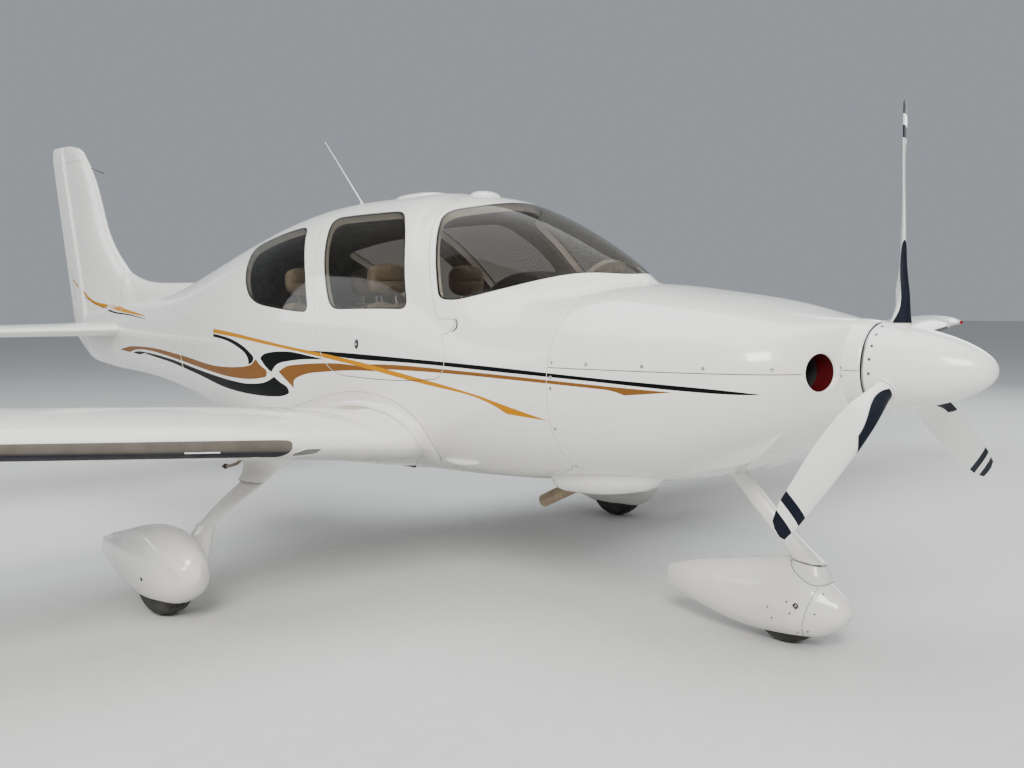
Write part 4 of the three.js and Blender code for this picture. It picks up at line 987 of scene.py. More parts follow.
@dataclass
class Patch:
    """Piece cut from a surface: an outer outline, holes, and areas of other paints.

    Attributes:
        surface: What it is cut from.
        outer: Outer outline in the surface's parameters.
        holes: Outlines of holes.
        areas: Pairs of an outline and the paint number inside it; later ones lie over earlier ones.
        spacing: Distance between inner points.
        depth: Thickness.
        lift: How far the outer face stands above the surface.
        back: Paint number of the inner face.
        rim: Paint number of the edges.
        lip: How far the edge is rounded off.
        across: Width of the spacing on the second parameter, where it differs.
    """

    surface: Surface
    outer: Array
    holes: Sequence[Array] = ()
    areas: Sequence[tuple[Array, int]] = ()
    spacing: float = 0.025
    depth: float = 0.006
    lift: float = 0.0
    back: int = 0
    rim: int = 0
    lip: float = 0.0012
    across: Optional[float] = None

    def loops(self) -> list[Array]:
        """Every outline on the patch."""
        return [self.outer, *self.holes, *(outline for outline, _ in self.areas)]

    def lattice(self) -> Array:
        """Inner points: a lattice whose other rows are shifted by half, kept clear of every outline."""
        low, high = self.outer.min(axis=0), self.outer.max(axis=0)
        wide = self.across or self.spacing
        rows = np.arange(low[0] + self.spacing / 2, high[0], self.spacing)
        columns = np.arange(low[1] + wide / 2, high[1] - wide / 4, wide)
        s, v = np.meshgrid(rows, columns, indexing="ij")
        v = v + wide / 2 * (np.arange(len(rows)) % 2)[:, None]
        points = np.column_stack([s.ravel(), v.ravel()])
        keep = inside(self.outer, points)
        for hole in self.holes:
            keep &= ~inside(hole, points)
        points = points[keep]
        for edge in self.loops():
            near = (points > edge.min(axis=0) - self.spacing).all(1) & (points < edge.max(axis=0) + self.spacing).all(1)
            chosen = points[near]
            distance = np.full(len(chosen), 9.0)
            for part in np.array_split(edge, max(len(edge) // 60, 1)):
                gap = np.linalg.norm(chosen[:, None] - part[None], axis=2).min(axis=1)
                distance = np.minimum(distance, gap)
            clear = np.ones(len(points), bool)
            clear[near] = distance > 0.45 * self.spacing
            points = points[clear]
        return points

    def cut(self) -> tuple[Array, Array, Array]:
        """Triangles of the patch.

        Returns:
            Parameters of the points, triangles, and each triangle's paint number.
        """
        loops = self.loops()
        starts = np.cumsum([0, *(len(loop) for loop in loops)])
        edges = np.vstack(
            [np.column_stack([np.arange(len(p)), (np.arange(len(p)) + 1) % len(p)]) + k for p, k in zip(loops, starts)]
        )
        points = np.vstack([*loops, self.lattice()])
        found = delaunay_2d_cdt([Vector(p) for p in points.tolist()], edges.tolist(), [], 0, 1e-7, False)
        flat = np.array([tuple(p) for p in found[0]])
        triangles = np.array([tuple(face) for face in found[2]])
        corner = flat[triangles]
        first, second = corner[:, 1] - corner[:, 0], corner[:, 2] - corner[:, 0]
        area = first[:, 0] * second[:, 1] - first[:, 1] * second[:, 0]
        middle = corner.mean(axis=1)
        keep = inside(self.outer, middle) & (np.abs(area) > 1e-10)
        for hole in self.holes:
            keep &= ~inside(hole, middle)
        triangles, middle, area = triangles[keep], middle[keep], area[keep]
        triangles = np.where(area[:, None] < 0, triangles[:, ::-1], triangles)
        paint = np.zeros(len(triangles), int)
        for outline, number in self.areas:
            paint[inside(outline, middle)] = number
        return flat, triangles, paint

    def build(self, paint: int = 0) -> Mesh:
        """Closed mesh: outer face, inner face at the depth, and walls along every open edge.

        Args:
            paint: Paint number of the outer face where no area lies.

        Returns:
            The mesh, with normals worked out from the surface.
        """
        flat, triangles, area = self.cut()
        outer = self.surface.at(flat[:, 0], flat[:, 1], -self.lift)
        normal = self.surface.normal(flat[:, 0], flat[:, 1])
        first = outer[triangles]
        facing = np.cross(first[:, 1] - first[:, 0], first[:, 2] - first[:, 0])
        if np.sum(facing * normal[triangles[:, 0]]) < 0:
            triangles = triangles[:, ::-1]
        _, unique, merged = np.unique(np.round(outer, 6), axis=0, return_index=True, return_inverse=True)
        triangles = merged.reshape(-1)[triangles]
        whole = (triangles != np.roll(triangles, 1, axis=1)).all(axis=1)
        triangles, area = triangles[whole], area[whole]
        outer, normal, flat = outer[unique], normal[unique], flat[unique]
        edges = open_edges(triangles)
        lowered = np.zeros(len(outer), bool)
        lowered[edges.ravel()] = True
        if self.lip > 0:
            outer = outer - normal * (self.lip * lowered)[:, None]
        inner = self.surface.at(flat[:, 0], flat[:, 1], self.depth)
        count = len(outer)
        walls = np.column_stack([edges[:, 1], edges[:, 0], edges[:, 0] + count, edges[:, 1] + count])
        numbers = np.concatenate([area + (area == 0) * paint, np.full(len(triangles), self.back)])
        mesh = Mesh(
            np.vstack([outer, inner]),
            np.vstack([triangles, triangles[:, ::-1] + count]).tolist() + walls.tolist(),
            numbers.tolist() + [self.rim] * len(walls),
            np.vstack([normal, -normal]),
        )
        return mesh.packed()


def open_edges(triangles: Array) -> Array:
    """Directed edges that belong to one triangle only."""
    edges = np.vstack([triangles[:, [0, 1]], triangles[:, [1, 2]], triangles[:, [2, 0]]])
    big = int(edges.max()) + 1
    forward = edges[:, 0].astype(np.int64) * big + edges[:, 1]
    backward = edges[:, 1].astype(np.int64) * big + edges[:, 0]
    return edges[~np.isin(forward, backward)]


def smooth_edge(rows: Sequence[Pair], count: int = 40) -> Array:
    """Points on a spline through rows, by the length of the rows' chords; two rows give a straight edge."""
    table = np.asarray(rows, float)
    length = run_lengths(table)
    places = np.linspace(0, length[-1], count if len(table) > 2 else 8)
    return np.stack([natural_spline(length, table[:, k])(places) for k in range(2)], -1)


class Tone(Enum):
    """Paints of the side stripes, by the number of their material on the skins."""

    BLACK = 1
    GOLD = 2
    BROWN = 3


@dataclass(frozen=True)
class Stripe:
    """Painted shape on the fuselage side.

    Attributes:
        tone: Its paint.
        edges: Smooth edges as rows of x and z. Each starts where the one before it ends.
    """

    tone: Tone
    edges: tuple

    @property
    def side_view(self) -> Array:
        """Closed outline in x and z."""
        starts = [edge[-1] for edge in (self.edges[-1], *self.edges)]
        return np.vstack([smooth_edge((start, *edge))[:-1] for start, edge in zip(starts, self.edges)])

    def on_skin(self, along: Optional[Curve] = None) -> Array:
        """Outline in the skin's parameters; along turns x into another first parameter."""
        flat = even_path(SKIN.flat(self.side_view), 90 + 50 * len(self.edges))
        if along is not None:
            flat[:, 0] = along(flat[:, 0])
        return flat


STRIPES = (
    Stripe(Tone.BROWN, (
        ((-2.16, 1.086), (-1.85, 1.097), (-1.535, 1.095), (-1.157, 1.079), (-0.804, 1.06), (-0.45, 1.036),
         (-0.2, 1.034), (-0.03, 1.042), (0.09, 1.055), (0.148, 1.074), (0.175, 1.097)),
        ((0.248, 1.053), (0.295, 1.026), (0.288, 1.008), (0.262, 0.997)),
        ((0.12, 0.981), (-0.03, 0.977), (-0.213, 0.98), (-0.417, 0.993), (-0.688, 1.012), (-1.03, 1.037),
         (-1.322, 1.056), (-1.628, 1.073), (-1.9, 1.075), (-2.064, 1.062), (-2.169, 1.045)),
        ((-2.396, 1.056),),
    )),
    Stripe(Tone.BLACK, (
        ((-1.93, 1.061), (-1.8, 1.06), (-1.486, 1.049), (-1.111, 1.028), (-0.764, 1.001), (-0.354, 0.971),
         (-0.098, 0.955), (0.06, 0.952), (0.16, 0.958), (0.287, 0.976), (0.368, 1.007)),
        ((0.453, 0.971), (0.5, 0.947), (0.505, 0.93), (0.483, 0.917), (0.406, 0.901)),
        ((0.3, 0.894), (0.1, 0.892), (-0.129, 0.899), (-0.391, 0.922), (-0.658, 0.957), (-0.924, 0.983),
         (-1.205, 1.01), (-1.509, 1.029), (-1.825, 1.051)),
        ((-1.897, 1.04), (-2.1, 1.046)),
    )),
    Stripe(Tone.BLACK, (
        ((0.25, 1.119), (0.29, 1.131), (0.346, 1.139), (0.43, 1.145), (0.52, 1.147), (0.633, 1.139),
         (0.849, 1.117)),
        ((0.634, 1.109), (0.48, 1.092), (0.391, 1.069), (0.342, 1.03)),
        ((0.287, 1.055), (0.225, 1.101)),
    )),
    Stripe(Tone.BROWN, (
        ((0.48, 1.063), (0.591, 1.081), (0.731, 1.092), (0.978, 1.101), (1.19, 1.087), (1.27, 1.074)),
        ((1.19, 1.074), (0.977, 1.065), (0.809, 1.051), (0.689, 1.037), (0.605, 1.016), (0.56, 0.99),
         (0.558, 0.952)),
        ((0.524, 0.974), (0.476, 1.001), (0.416, 1.036)),
    )),
    Stripe(Tone.BLACK, (
        ((-0.262, 1.212), (-0.15, 1.2), (-0.05, 1.181), (0.043, 1.155), (0.119, 1.122), (0.149, 1.096),
         (0.139, 1.081), (0.085, 1.063)),
        ((0.086, 1.081), (0.071, 1.105), (0.033, 1.129), (-0.036, 1.152), (-0.131, 1.175), (-0.259, 1.194),
         (-0.402, 1.204)),
        ((-0.402, 1.222),),
    )),
    Stripe(Tone.BLACK, (
        ((0.823, 1.158), (1.445, 1.146), (2.1, 1.125), (2.637, 1.101), (3.06, 1.081), (3.17, 1.073),
         (3.268, 1.0625)),
        ((3.268, 1.0605),),
        ((3.21, 1.0592), (3.14, 1.0605), (3.06, 1.0635), (2.637, 1.086), (2.1, 1.106), (1.447, 1.125),
         (1.02, 1.131), (0.7, 1.158)),
    )),
    Stripe(Tone.BROWN, (
        ((1.3, 1.1095), (1.73, 1.105), (2.105, 1.094), (2.637, 1.073), (2.956, 1.06)),
        ((2.83, 1.047), (2.748, 1.039)),
        ((2.7, 1.053), (2.637, 1.059), (2.105, 1.078), (1.73, 1.087), (1.26, 1.087)),
        ((1.215, 1.1065),),
    )),
    Stripe(Tone.GOLD, (
        ((-0.078, 1.231), (0.145, 1.211), (0.343, 1.192), (0.523, 1.174), (0.691, 1.159), (0.849, 1.146),
         (0.95, 1.136), (1.19, 1.109), (1.46, 1.073), (1.79, 1.027), (1.98, 0.996)),
        ((2.364, 0.911),),
        ((2.135, 0.926),),
        ((2.112, 0.936), (2.08, 0.952), (2.04, 0.966), (1.98, 0.983), (1.79, 1.012), (1.46, 1.05),
         (1.19, 1.086), (0.96, 1.113), (0.849, 1.125), (0.691, 1.142), (0.524, 1.158), (0.344, 1.174),
         (0.147, 1.191), (-0.075, 1.209), (-0.408, 1.227)),
        ((-0.408, 1.252),),
    )),
)
PAINTS = (Paint.WHITE, Paint.BLACK, Paint.GOLD, Paint.BROWN)
LINING, EDGE = 4, 5


def stripe_areas(along: Optional[Curve] = None, turn: float = math.pi, both: bool = True) -> list:
    """Stripes as paint areas: on port, and on starboard where the girth counts back from a turn."""
    areas = []
    for stripe in STRIPES:
        port = stripe.on_skin(along)
        areas.append((port, stripe.tone.value))
        if both:
            areas.append((np.column_stack([port[:, 0], turn * SKIN.girth - port[:, 1]]), stripe.tone.value))
    return areas


@dataclass
class Cabin:
    """Cabin skin with its doors, panes and hinge plates.

    Attributes:
        door: Door outline: x, angle up in degrees and corner reach.
        door_window: Window in the door.
        rear_window: Window behind the door.
        windshield: Port half of the windshield from its top corner forward; its top edge comes first.
        leaf: Hinge plate on the door's front edge, as x and z rows.
        aft: x where the tail skin takes over.
        wall: Thickness of the cabin's wall.
        gap: Width of a door's seam.
        pane_gap: Half the width of the seam round a pane.
    """

    door: Sequence[Triple] = (
        (1.345, 78, 0.06), (1.362, 63, 0.2), (1.565, 36.4, 0.4), (1.758, 12, 0.11), (1.742, 1, 0.07),
        (1.45, -1.2, 0.2), (0.9, -1.5, 0.15), (0.76, 12, 0.12), (0.738, 24, 0.2), (0.6, 48, 0.3),
        (0.425, 66, 0.2), (0.425, 78, 0.06),
    )
    door_window: Sequence[Triple] = (
        (1.11, 66.5, 0.07), (1.29, 53, 0.3), (1.462, 27, 0.06), (1.2, 26.5, 0.2),
        (0.86, 25.5, 0.07), (0.76, 37, 0.3), (0.5, 66.5, 0.08), (0.8, 67, 0.2),
    )
    rear_window: Sequence[Triple] = (
        (0.3, 63.5, 0.08), (0.56, 41, 0.2), (0.672, 24, 0.06), (0.48, 24.5, 0.2),
        (0.06, 28, 0.18), (-0.13, 41, 0.16), (-0.31, 63, 0.09), (0.0, 64, 0.2),
    )
    windshield: Sequence[Triple] = (
        (1.622, 90, 0.1), (1.56, 77, 0.2), (1.372, 68, 0.07), (1.47, 54, 0.3), (1.632, 32, 0.045),
        (1.76, 33, 0.15), (2.09, 54, 0.3), (2.3, 73, 0.25), (2.392, 90, 0.15),
    )
    leaf: Sequence[Triple] = (
        (1.62, 1.255, 0.004), (1.62, 1.33, 0.004), (1.757, 1.33, 0.012), (1.773, 1.318, 0.01),
        (1.771, 1.291, 0.012), (1.745, 1.266, 0.02), (1.7, 1.258, 0.01),
    )
    aft: float = -1.0
    wall: float = 0.045
    gap: float = 0.0035
    pane_gap: float = 0.0008

    def windshield_outline(self, offset: float = 0.0) -> Array:
        """Windshield outline over both sides."""
        port = [tuple(row) for row in self.windshield]
        starboard = [(x, 180 - angle, reach) for x, angle, reach in reversed(port) if angle < 90]
        return SKIN.outline([*port, *starboard], 0.014, offset)

    def leaf_outline(self, offset: float) -> Array:
        """Hinge plate's outline on the skin."""
        table = np.asarray(self.leaf, float)
        corners = np.column_stack([SKIN.flat(table[:, :2]), table[:, 2]])
        return spaced(offset_outline(rounded_outline(corners, 200), offset), 0.006)

    def shell(self) -> Mesh:
        """Skin from the cowl's seam to the tail, wrapped round from the belly line and welded there."""
        low, high = -0.5 * math.pi * SKIN.girth, 1.5 * math.pi * SKIN.girth
        v = np.linspace(low, high, 181)
        front = SKIN.cowl_edge(v / SKIN.girth) - self.gap / 2
        belly = np.arange(self.aft, front[0], 0.025)[1:-1]
        outer = np.vstack(
            [
                np.column_stack([front, v]),
                np.column_stack([belly[::-1], np.full(len(belly), high)]),
                np.column_stack([np.full(len(v), self.aft), v[::-1]]),
                np.column_stack([belly, np.full(len(belly), low)]),
            ]
        )
        port = [
            SKIN.outline(self.door, 0.012, self.gap / 2),
            SKIN.outline(self.rear_window, 0.012, self.pane_gap),
            self.leaf_outline(self.gap / 2),
        ]
        holes = [*port, *(mirrored_outline(hole) for hole in port), self.windshield_outline(self.pane_gap)]
        patch = Patch(SKIN, outer, holes, stripe_areas(), 0.03, self.wall, back=LINING, rim=EDGE)
        return patch.build()

    def door_skin(self) -> Mesh:
        """Port door with its window cut out."""
        outer = SKIN.outline(self.door, 0.012, -self.gap / 2)
        hole = SKIN.outline(self.door_window, 0.012, self.pane_gap)
        patch = Patch(SKIN, outer, [hole], stripe_areas(both=False), 0.025, self.wall, back=LINING, rim=EDGE)
        return patch.build()

    def leaf_plate(self) -> Mesh:
        """Port hinge plate: the part of the leaf ahead of the door's edge, a thin piece of the skin."""
        return Patch(SKIN, self.leaf_outline(-0.0008), spacing=0.01, depth=0.004, rim=1, lip=0.0008).build()

    def recess(self) -> Mesh:
        """Dark floor of the hinge plate's recess."""
        return Patch(SKIN, self.leaf_outline(0.012), spacing=0.02, depth=0.03, lift=-0.02).build()

    def pane(self, outline: Array, body_depth: float = 0.0052) -> Mesh:
        """Sheet in an opening, a little under the skin, with a black band round its inner edge."""
        sheet = Patch(SKIN, outline, spacing=0.03, depth=body_depth, lift=-0.0016, lip=0.0008).build()
        band = Patch(SKIN, outline, [offset_outline(outline, -0.008)], spacing=0.03, depth=0.0066, lift=-0.0054, lip=0)
        return sheet.join(band.build(1))

    def bulkhead(self, x: float, inset: float, thick: float = 0.02) -> Mesh:
        """Closing wall across the cabin: three shrinking rings of the section."""
        angle = full_turn(72)
        rings = [SKIN.polar(x - thick, angle, inset), SKIN.polar(x, angle, inset), SKIN.polar(x, angle, inset + 0.05)]
        return tube_mesh(np.stack(rings))

    def build(self) -> None:
        """Makes the shell, the doors, the panes and what closes them."""
        faces = (*PAINTS, Paint.LINING, Paint.WHITE)
        make_object("cabin_skin", self.shell(), faces, "airframe", "airframe_paint", ["cabin_shell"])
        glass = (Paint.GLASS, Paint.SEAL)
        front = self.windshield_outline(-self.pane_gap)
        make_object("windshield_pane", self.pane(front), glass, "airframe", "window_glass", ["windshield"])
        door, rear = (SKIN.outline(rows, 0.012, -self.pane_gap) for rows in (self.door_window, self.rear_window))
        plate = (Paint.WHITE, Paint.SEAL)
        make_pairs(
            ("door_skin_{}", self.door_skin(), faces, "{}_door", "airframe_paint", ["door_{}"]),
            ("door_window_{}_pane", self.pane(door), glass, "{}_door", "window_glass", ["door_window_{}"]),
            ("rear_window_{}_pane", self.pane(rear), glass, "airframe", "window_glass", ["rear_window_{}"]),
            ("hinge_plate_{}", self.leaf_plate(), plate, "{}_door", "airframe_paint"),
            ("hinge_recess_{}", self.recess(), (Paint.DARK,), "airframe", "panel_black"),
        )
        walls = self.bulkhead(2.2, self.wall + 0.001).join(self.bulkhead(-0.9, self.wall + 0.001))
        make_object("bulkheads", walls, (Paint.LINING,), "airframe", "cabin_trim")


@dataclass
class CowlSkin(Surface):
    """The fuselage skin ahead of the cabin, with the length along its profile as first parameter.

    The length grows by the root of one plus the slope of the mean radius squared, so that the steep nose
    gets as many points as the flanks.

    Attributes:
        start: x where the length starts.
        end: x of the nose.
        snout: x ahead of which the sections only shrink.
    """

    start: float = 1.9
    end: float = 3.45
    snout: float = 3.15

    def __post_init__(self) -> None:
        """Tabulates length against x."""
        self.places = np.linspace(self.start, self.end, 1200)
        mean = (2 * SKIN.width(self.places) + SKIN.deck(self.places) - SKIN.belly(self.places)) / 4
        steps = np.hypot(np.diff(self.places), np.diff(mean))
        self.lengths = self.start + np.concatenate([[0], np.cumsum(steps)])

    def along(self, x: Array) -> Array:
        """Length at x, run on evenly past the ends."""
        inner = np.interp(x, self.places, self.lengths)
        return inner + np.minimum(np.asarray(x, float) - self.start, 0)

    def at(self, s: Array, v: Array, inset: float = 0.0) -> Array:
        """Points by length and girth."""
        return SKIN.polar(np.interp(s, self.lengths, self.places), np.asarray(v, float) / SKIN.girth, inset)

    def outwards(self, s: Array, v: Array) -> Array:
        """Direction of the angle, leaning forward."""
        angle = np.asarray(v, float) / SKIN.girth
        return np.stack([np.full(angle.shape, 0.3), np.cos(angle), np.sin(angle)], -1)

    def facing(self, y: Array, z: Array) -> Array:
        """x where the nose has a point of y and z, by halving: the section's radius falls as x grows."""

        def within(x: Array) -> Array:
            """Whether the section at x still reaches past the point."""
            rise = z - SKIN.centre(x)
            return SKIN.radius(x, np.arctan2(rise, y)) > np.hypot(y, rise)

        return halved(np.full(np.shape(y), self.snout), np.full(np.shape(y), self.end), within, 36)


COWL = CowlSkin()


@dataclass
class Cowl:
    """Engine cowl: two skins split at a level seam, round inlets, nose ring, fairings and fasteners.

    Attributes:
        seam: Height of the level seam.
        gap: Width of the seams.
        inlet: Centre y and z, half width and half height of an inlet.
        tilt: How far an inlet's mouth leans: x over y.
        bump: Exhaust fairing's sections: x, half width, half height.
        bump_angle: Angle in degrees of the skin that the fairing's middle line follows.
        bump_drop: How far that line lies inside the skin.
        exhaust: Path of the exhaust pipe.
        screws: x of the fasteners above the level seam.
        edge_angles: Angles in degrees of the fasteners ahead of the cabin's seam.
        ridges: Ridges beside the nose leg: points of the sunk line and of the raised one, and the rise.
    """

    seam: float = 1.136
    gap: float = 0.003
    inlet: Sequence[float] = (0.264, 1.14, 0.064, 0.072)
    tilt: float = 0.39
    bump: Sequence[Triple] = (
        (2.062, 0.01, 0.016), (2.085, 0.05, 0.038), (2.12, 0.088, 0.062), (2.2, 0.108, 0.077),
        (2.33, 0.118, 0.084), (2.56, 0.096, 0.07), (2.65, 0.05, 0.04), (2.68, 0.012, 0.012),
    )
    bump_angle: float = -116.0
    bump_drop: float = 0.028
    exhaust: Sequence[Triple] = ((2.5, -0.24, 0.8), (2.42, -0.255, 0.72), (2.33, -0.262, 0.64), (1.985, -0.262, 0.478))
    screws: Sequence[float] = (2.564, 2.824, 3.073, 3.303)
    edge_angles: Sequence[float] = (8.7, 3.2, -0.9, -16.4, -36.9)
    ridges: Sequence[Sequence[Sequence[float]]] = (
        ((2.765, 0.322, 0.694, 2.76, 0.305, 0.688, 0.001), (2.928, 0.348, 0.757, 2.896, 0.302, 0.726, 0.01),
         (3.069, 0.346, 0.815, 3.012, 0.289, 0.765, 0.02), (3.181, 0.331, 0.863, 3.119, 0.268, 0.803, 0.024),
         (3.28, 0.301, 0.912, 3.274, 0.298, 0.906, 0.001)),
        ((3.28, 0.3, 0.911, 3.276, 0.302, 0.908, 0.001), (3.187, 0.241, 0.827, 3.119, 0.268, 0.803, 0.024),
         (3.06, 0.125, 0.746, 3.008, 0.184, 0.735, 0.024), (3.0, 0.085, 0.7, 2.93, 0.1, 0.675, 0.01)),
    )

    def outline(self, upper: bool) -> Array:
        """Outline of the upper or lower skin: rear edge, one level seam, nose and the other level seam."""
        half_turn = math.pi * SKIN.girth
        shift = self.gap / 2 if upper else -self.gap / 2
        x = np.linspace(SKIN.seam[0] + self.gap / 2, 3.4495, 70)
        port = np.column_stack([COWL.along(x), SKIN.angle_at(x, self.seam + shift) * SKIN.girth])
        other = half_turn if upper else -half_turn
        starboard = np.column_stack([port[:, 0], other - port[:, 1]])
        rear = np.linspace(starboard[0, 1], port[0, 1], 90)[1:-1]
        nose = np.linspace(port[-1, 1], starboard[-1, 1], 60)[1:-1]
        rear_x = SKIN.cowl_edge(rear / SKIN.girth) + self.gap / 2
        back = np.column_stack([COWL.along(rear_x), rear])
        front = np.column_stack([np.full(len(nose), port[-1, 0]), nose])
        return np.vstack([back, port, front, starboard[::-1]])

    def inlet_ring(self, scale: float, count: int = 64) -> tuple[Array, Array]:
        """y and z of the port inlet's edge, made larger or smaller about its centre."""
        angle = full_turn(count)
        y, z, half, high = self.inlet
        return y + half * scale * np.cos(angle), z + high * scale * np.sin(angle)

    def skin(self, upper: bool) -> Mesh:
        """Upper or lower cowl skin."""
        y, z = self.inlet_ring(1.125)
        x = COWL.facing(y, z)
        angle = np.arctan2(z - SKIN.centre(x), y)
        port = np.column_stack([COWL.along(x), angle * SKIN.girth])
        turn = math.pi if upper else -math.pi
        holes = [port, np.column_stack([port[:, 0], turn * SKIN.girth - port[:, 1]])]
        areas = [] if upper else stripe_areas(COWL.along, -math.pi)
        patch = Patch(COWL, self.outline(upper), holes, areas, 0.026, 0.008, back=4, rim=0, lip=0.001)
        return patch.build()

    def inlet_duct(self) -> Mesh:
        """Port inlet: a dish in the skin whose inboard side dips to a round mouth, then a duct to a baffle.

        Each ring is the inlet's outline at its own scale, set on the nose, moved towards the mouth's leaning
        plane by a share and shifted along x. The rings start and end behind the mouth. The last three bands
        and the last cap are dark, and the inboard half of the first two of those bands is the red baffle.
        """
        rings = []
        steps = (
            (0.98, 1.0, -0.125), (1.08, 1.0, -0.1), (1.145, 0.35, -0.03), (1.145, 0.0, -0.004), (1.14, 0.0, 0.0012),
            (1.12, 0.04, 0.0016), (1.09, 0.16, 0.0), (1.055, 0.42, 0.0), (1.025, 0.72, 0.0), (1.008, 0.9, 0.0),
            (1.0, 0.97, -0.001), (0.99, 1.0, -0.006), (0.985, 1.0, -0.045), (0.98, 1.0, -0.075), (0.95, 1.0, -0.12),
        )
        for scale, share, shift in steps:
            y, z = self.inlet_ring(scale)
            x = COWL.facing(y, z)
            mouth = x.min() + self.tilt * (y.max() - y)
            rings.append(np.column_stack([x + (mouth - x) * share + shift, y, z]))
        duct = tube_mesh(np.stack(rings))
        bands = len(rings) - 1
        number = np.arange(len(duct.faces)) // rings[0].shape[0]
        inner = (number >= bands - 3) & (number < bands) | (number > bands)
        middle = np.array([duct.points[face].mean(axis=0) for face in duct.faces])
        red = inner & (middle[:, 1] < self.inlet[0] - 0.004) & (number < bands - 1)
        duct.paint = np.where(red, 1, np.where(inner, 2, 0)).tolist()
        return duct

    def nose(self) -> Mesh:
        """Rolled edge behind the spinner, the wall inside it, and a dark seam on each side."""
        rows = [(3.42, 0.183), (3.4495, 0.1835), (3.48, 0.1803), (3.505, 0.1762), (3.5155, 0.173), (3.5172, 0.1705),
                (3.5155, 0.1675), (3.505, 0.166), (3.4, 0.165), (3.398, 0.05)]
        ring = lathe(rows, (0, 0, 1.1555), X_AXIS, 96)
        for side in (1, -1):
            path = np.array([(x, side * math.sqrt(radius**2 - 0.008**2), 1.1475) for x, radius in rows[1:5]])
            seam = seam_line(even_path(path, 12, closed=False))
            seam.paint = [1] * len(seam.faces)
            ring.join(seam)
        return ring

    def fairing(self) -> Mesh:
        """Exhaust fairing: superellipse sections along x whose sizes follow a spline, sunk into the cowl."""
        table, count = np.asarray(self.bump), 40
        x = table[0, 0] + (table[-1, 0] - table[0, 0]) * (1 - np.cos(np.linspace(0, math.pi, count))) / 2
        width, height = (spline(x) for spline in column_splines(table, (1, 2)))
        middle = SKIN.polar(x, np.full(count, math.radians(self.bump_angle)))[:, 2] + self.bump_drop
        centre = np.column_stack([x, np.full(count, self.exhaust[-1][1]), middle])
        across, upward = np.outer(width, Y_AXIS), np.outer(height, Z_AXIS)
        return tube_mesh(ellipse_ring(centre, across, upward, 40, 2.2))

    def pipe(self) -> Mesh:
        """Exhaust pipe: a tube down its path, with a bored tail."""
        path = even_path(np.asarray(self.exhaust), 26, closed=False)
        tube = path_tube(path, 0.0305, 28)
        tail, ahead = path[-1], unit(path[-1] - path[-2])
        rows = [(-0.004, 0.0305), (0.0, 0.0302), (0.0015, 0.029), (0.0, 0.0275), (-0.05, 0.0272), (-0.051, 0.001)]
        return tube.join(lathe(rows, tail + ahead * 0.0005, ahead, 28))

    def studs(self) -> Mesh:
        """Fasteners: low domes along the seams on both sides."""
        port = [(x, float(SKIN.angle_at(x, self.seam + 0.02))) for x in self.screws]
        for degrees in self.edge_angles:
            angle = math.radians(degrees)
            port.append((float(SKIN.cowl_edge(np.array(angle))) + 0.022, angle))
        places = np.array([*port, *((x, math.pi - angle) for x, angle in port)])
        mesh = stud_heads(SKIN, places[:, 0], places[:, 1] * SKIN.girth, 0.0075)
        y, z = np.array([0.182, 0.182]), np.array([1.158, 1.126])
        x = COWL.facing(y, z)
        angle = np.arctan2(z - SKIN.centre(x), y)
        near = np.column_stack([np.tile(COWL.along(x), 2), np.concatenate([angle, math.pi - angle]) * SKIN.girth])
        return mesh.join(stud_heads(COWL, near[:, 0], near[:, 1], 0.006))

    def chevron(self) -> Mesh:
        """Faceted fairing beside the nose leg: two ridges that meet ahead of it.

        A ridge runs between two lines on the skin, each a spline through points. Its section is a triangle:
        one line sunk in the skin, the other raised by a spline, and that line again sunk in the skin.
        """
        mesh = Mesh()
        for edges in self.ridges:
            table = np.asarray(edges, float)
            share = np.linspace(0, 1, len(table))
            places = np.linspace(0, 1, 30)
            rows = np.stack([natural_spline(share, table[:, k])(places) for k in range(7)], -1)
            lines = []
            for k in (0, 3):
                angle = np.arctan2(rows[:, k + 2] - SKIN.centre(rows[:, k]), rows[:, k + 1])
                base = SKIN.polar(rows[:, k], angle)
                lines.append((base, SKIN.normal(rows[:, k], angle * SKIN.girth)))
            (outer, away), (inner, out) = lines
            ring = [outer - away * 0.003, inner + out * rows[:, 6:], inner - out * 0.003]
            mesh.join(tube_mesh(np.stack(ring, 1)))
        return mesh

    def build(self) -> None:
        """Makes the skins, the inlets, the fairing, the pipe and the fasteners."""
        faces = (*PAINTS, Paint.DARK)
        for name, upper, nodes in (("cowl_skin_upper", True, ["cowl_upper", "cowl_nose"]),
                                   ("cowl_skin_lower", False, ["cowl_lower"])):
            make_object(name, self.skin(upper), faces, "airframe", "airframe_paint", nodes)
        lined = (Paint.WHITE, Paint.BAFFLE, Paint.DARK)
        make_pairs(
            ("inlet_{}", self.inlet_duct(), lined, "airframe", "airframe_paint"),
            ("leg_chevron_{}", self.chevron(), lined[:1], "airframe", "airframe_paint"),
        )
        make_object("nose_edge", self.nose(), (Paint.WHITE, Paint.SEAL), "airframe", "airframe_paint", sharp=60)
        make_object("exhaust_fairing", self.fairing(), (Paint.WHITE,), "airframe", "airframe_paint")
        pipe = (Paint.EXHAUST,)
        make_object("exhaust_tube", self.pipe(), pipe, "airframe", "exhaust_metal", ["exhaust_pipe"])
        make_object("cowl_fasteners", self.studs(), (Paint.STEEL,), "airframe", "hub_metal")


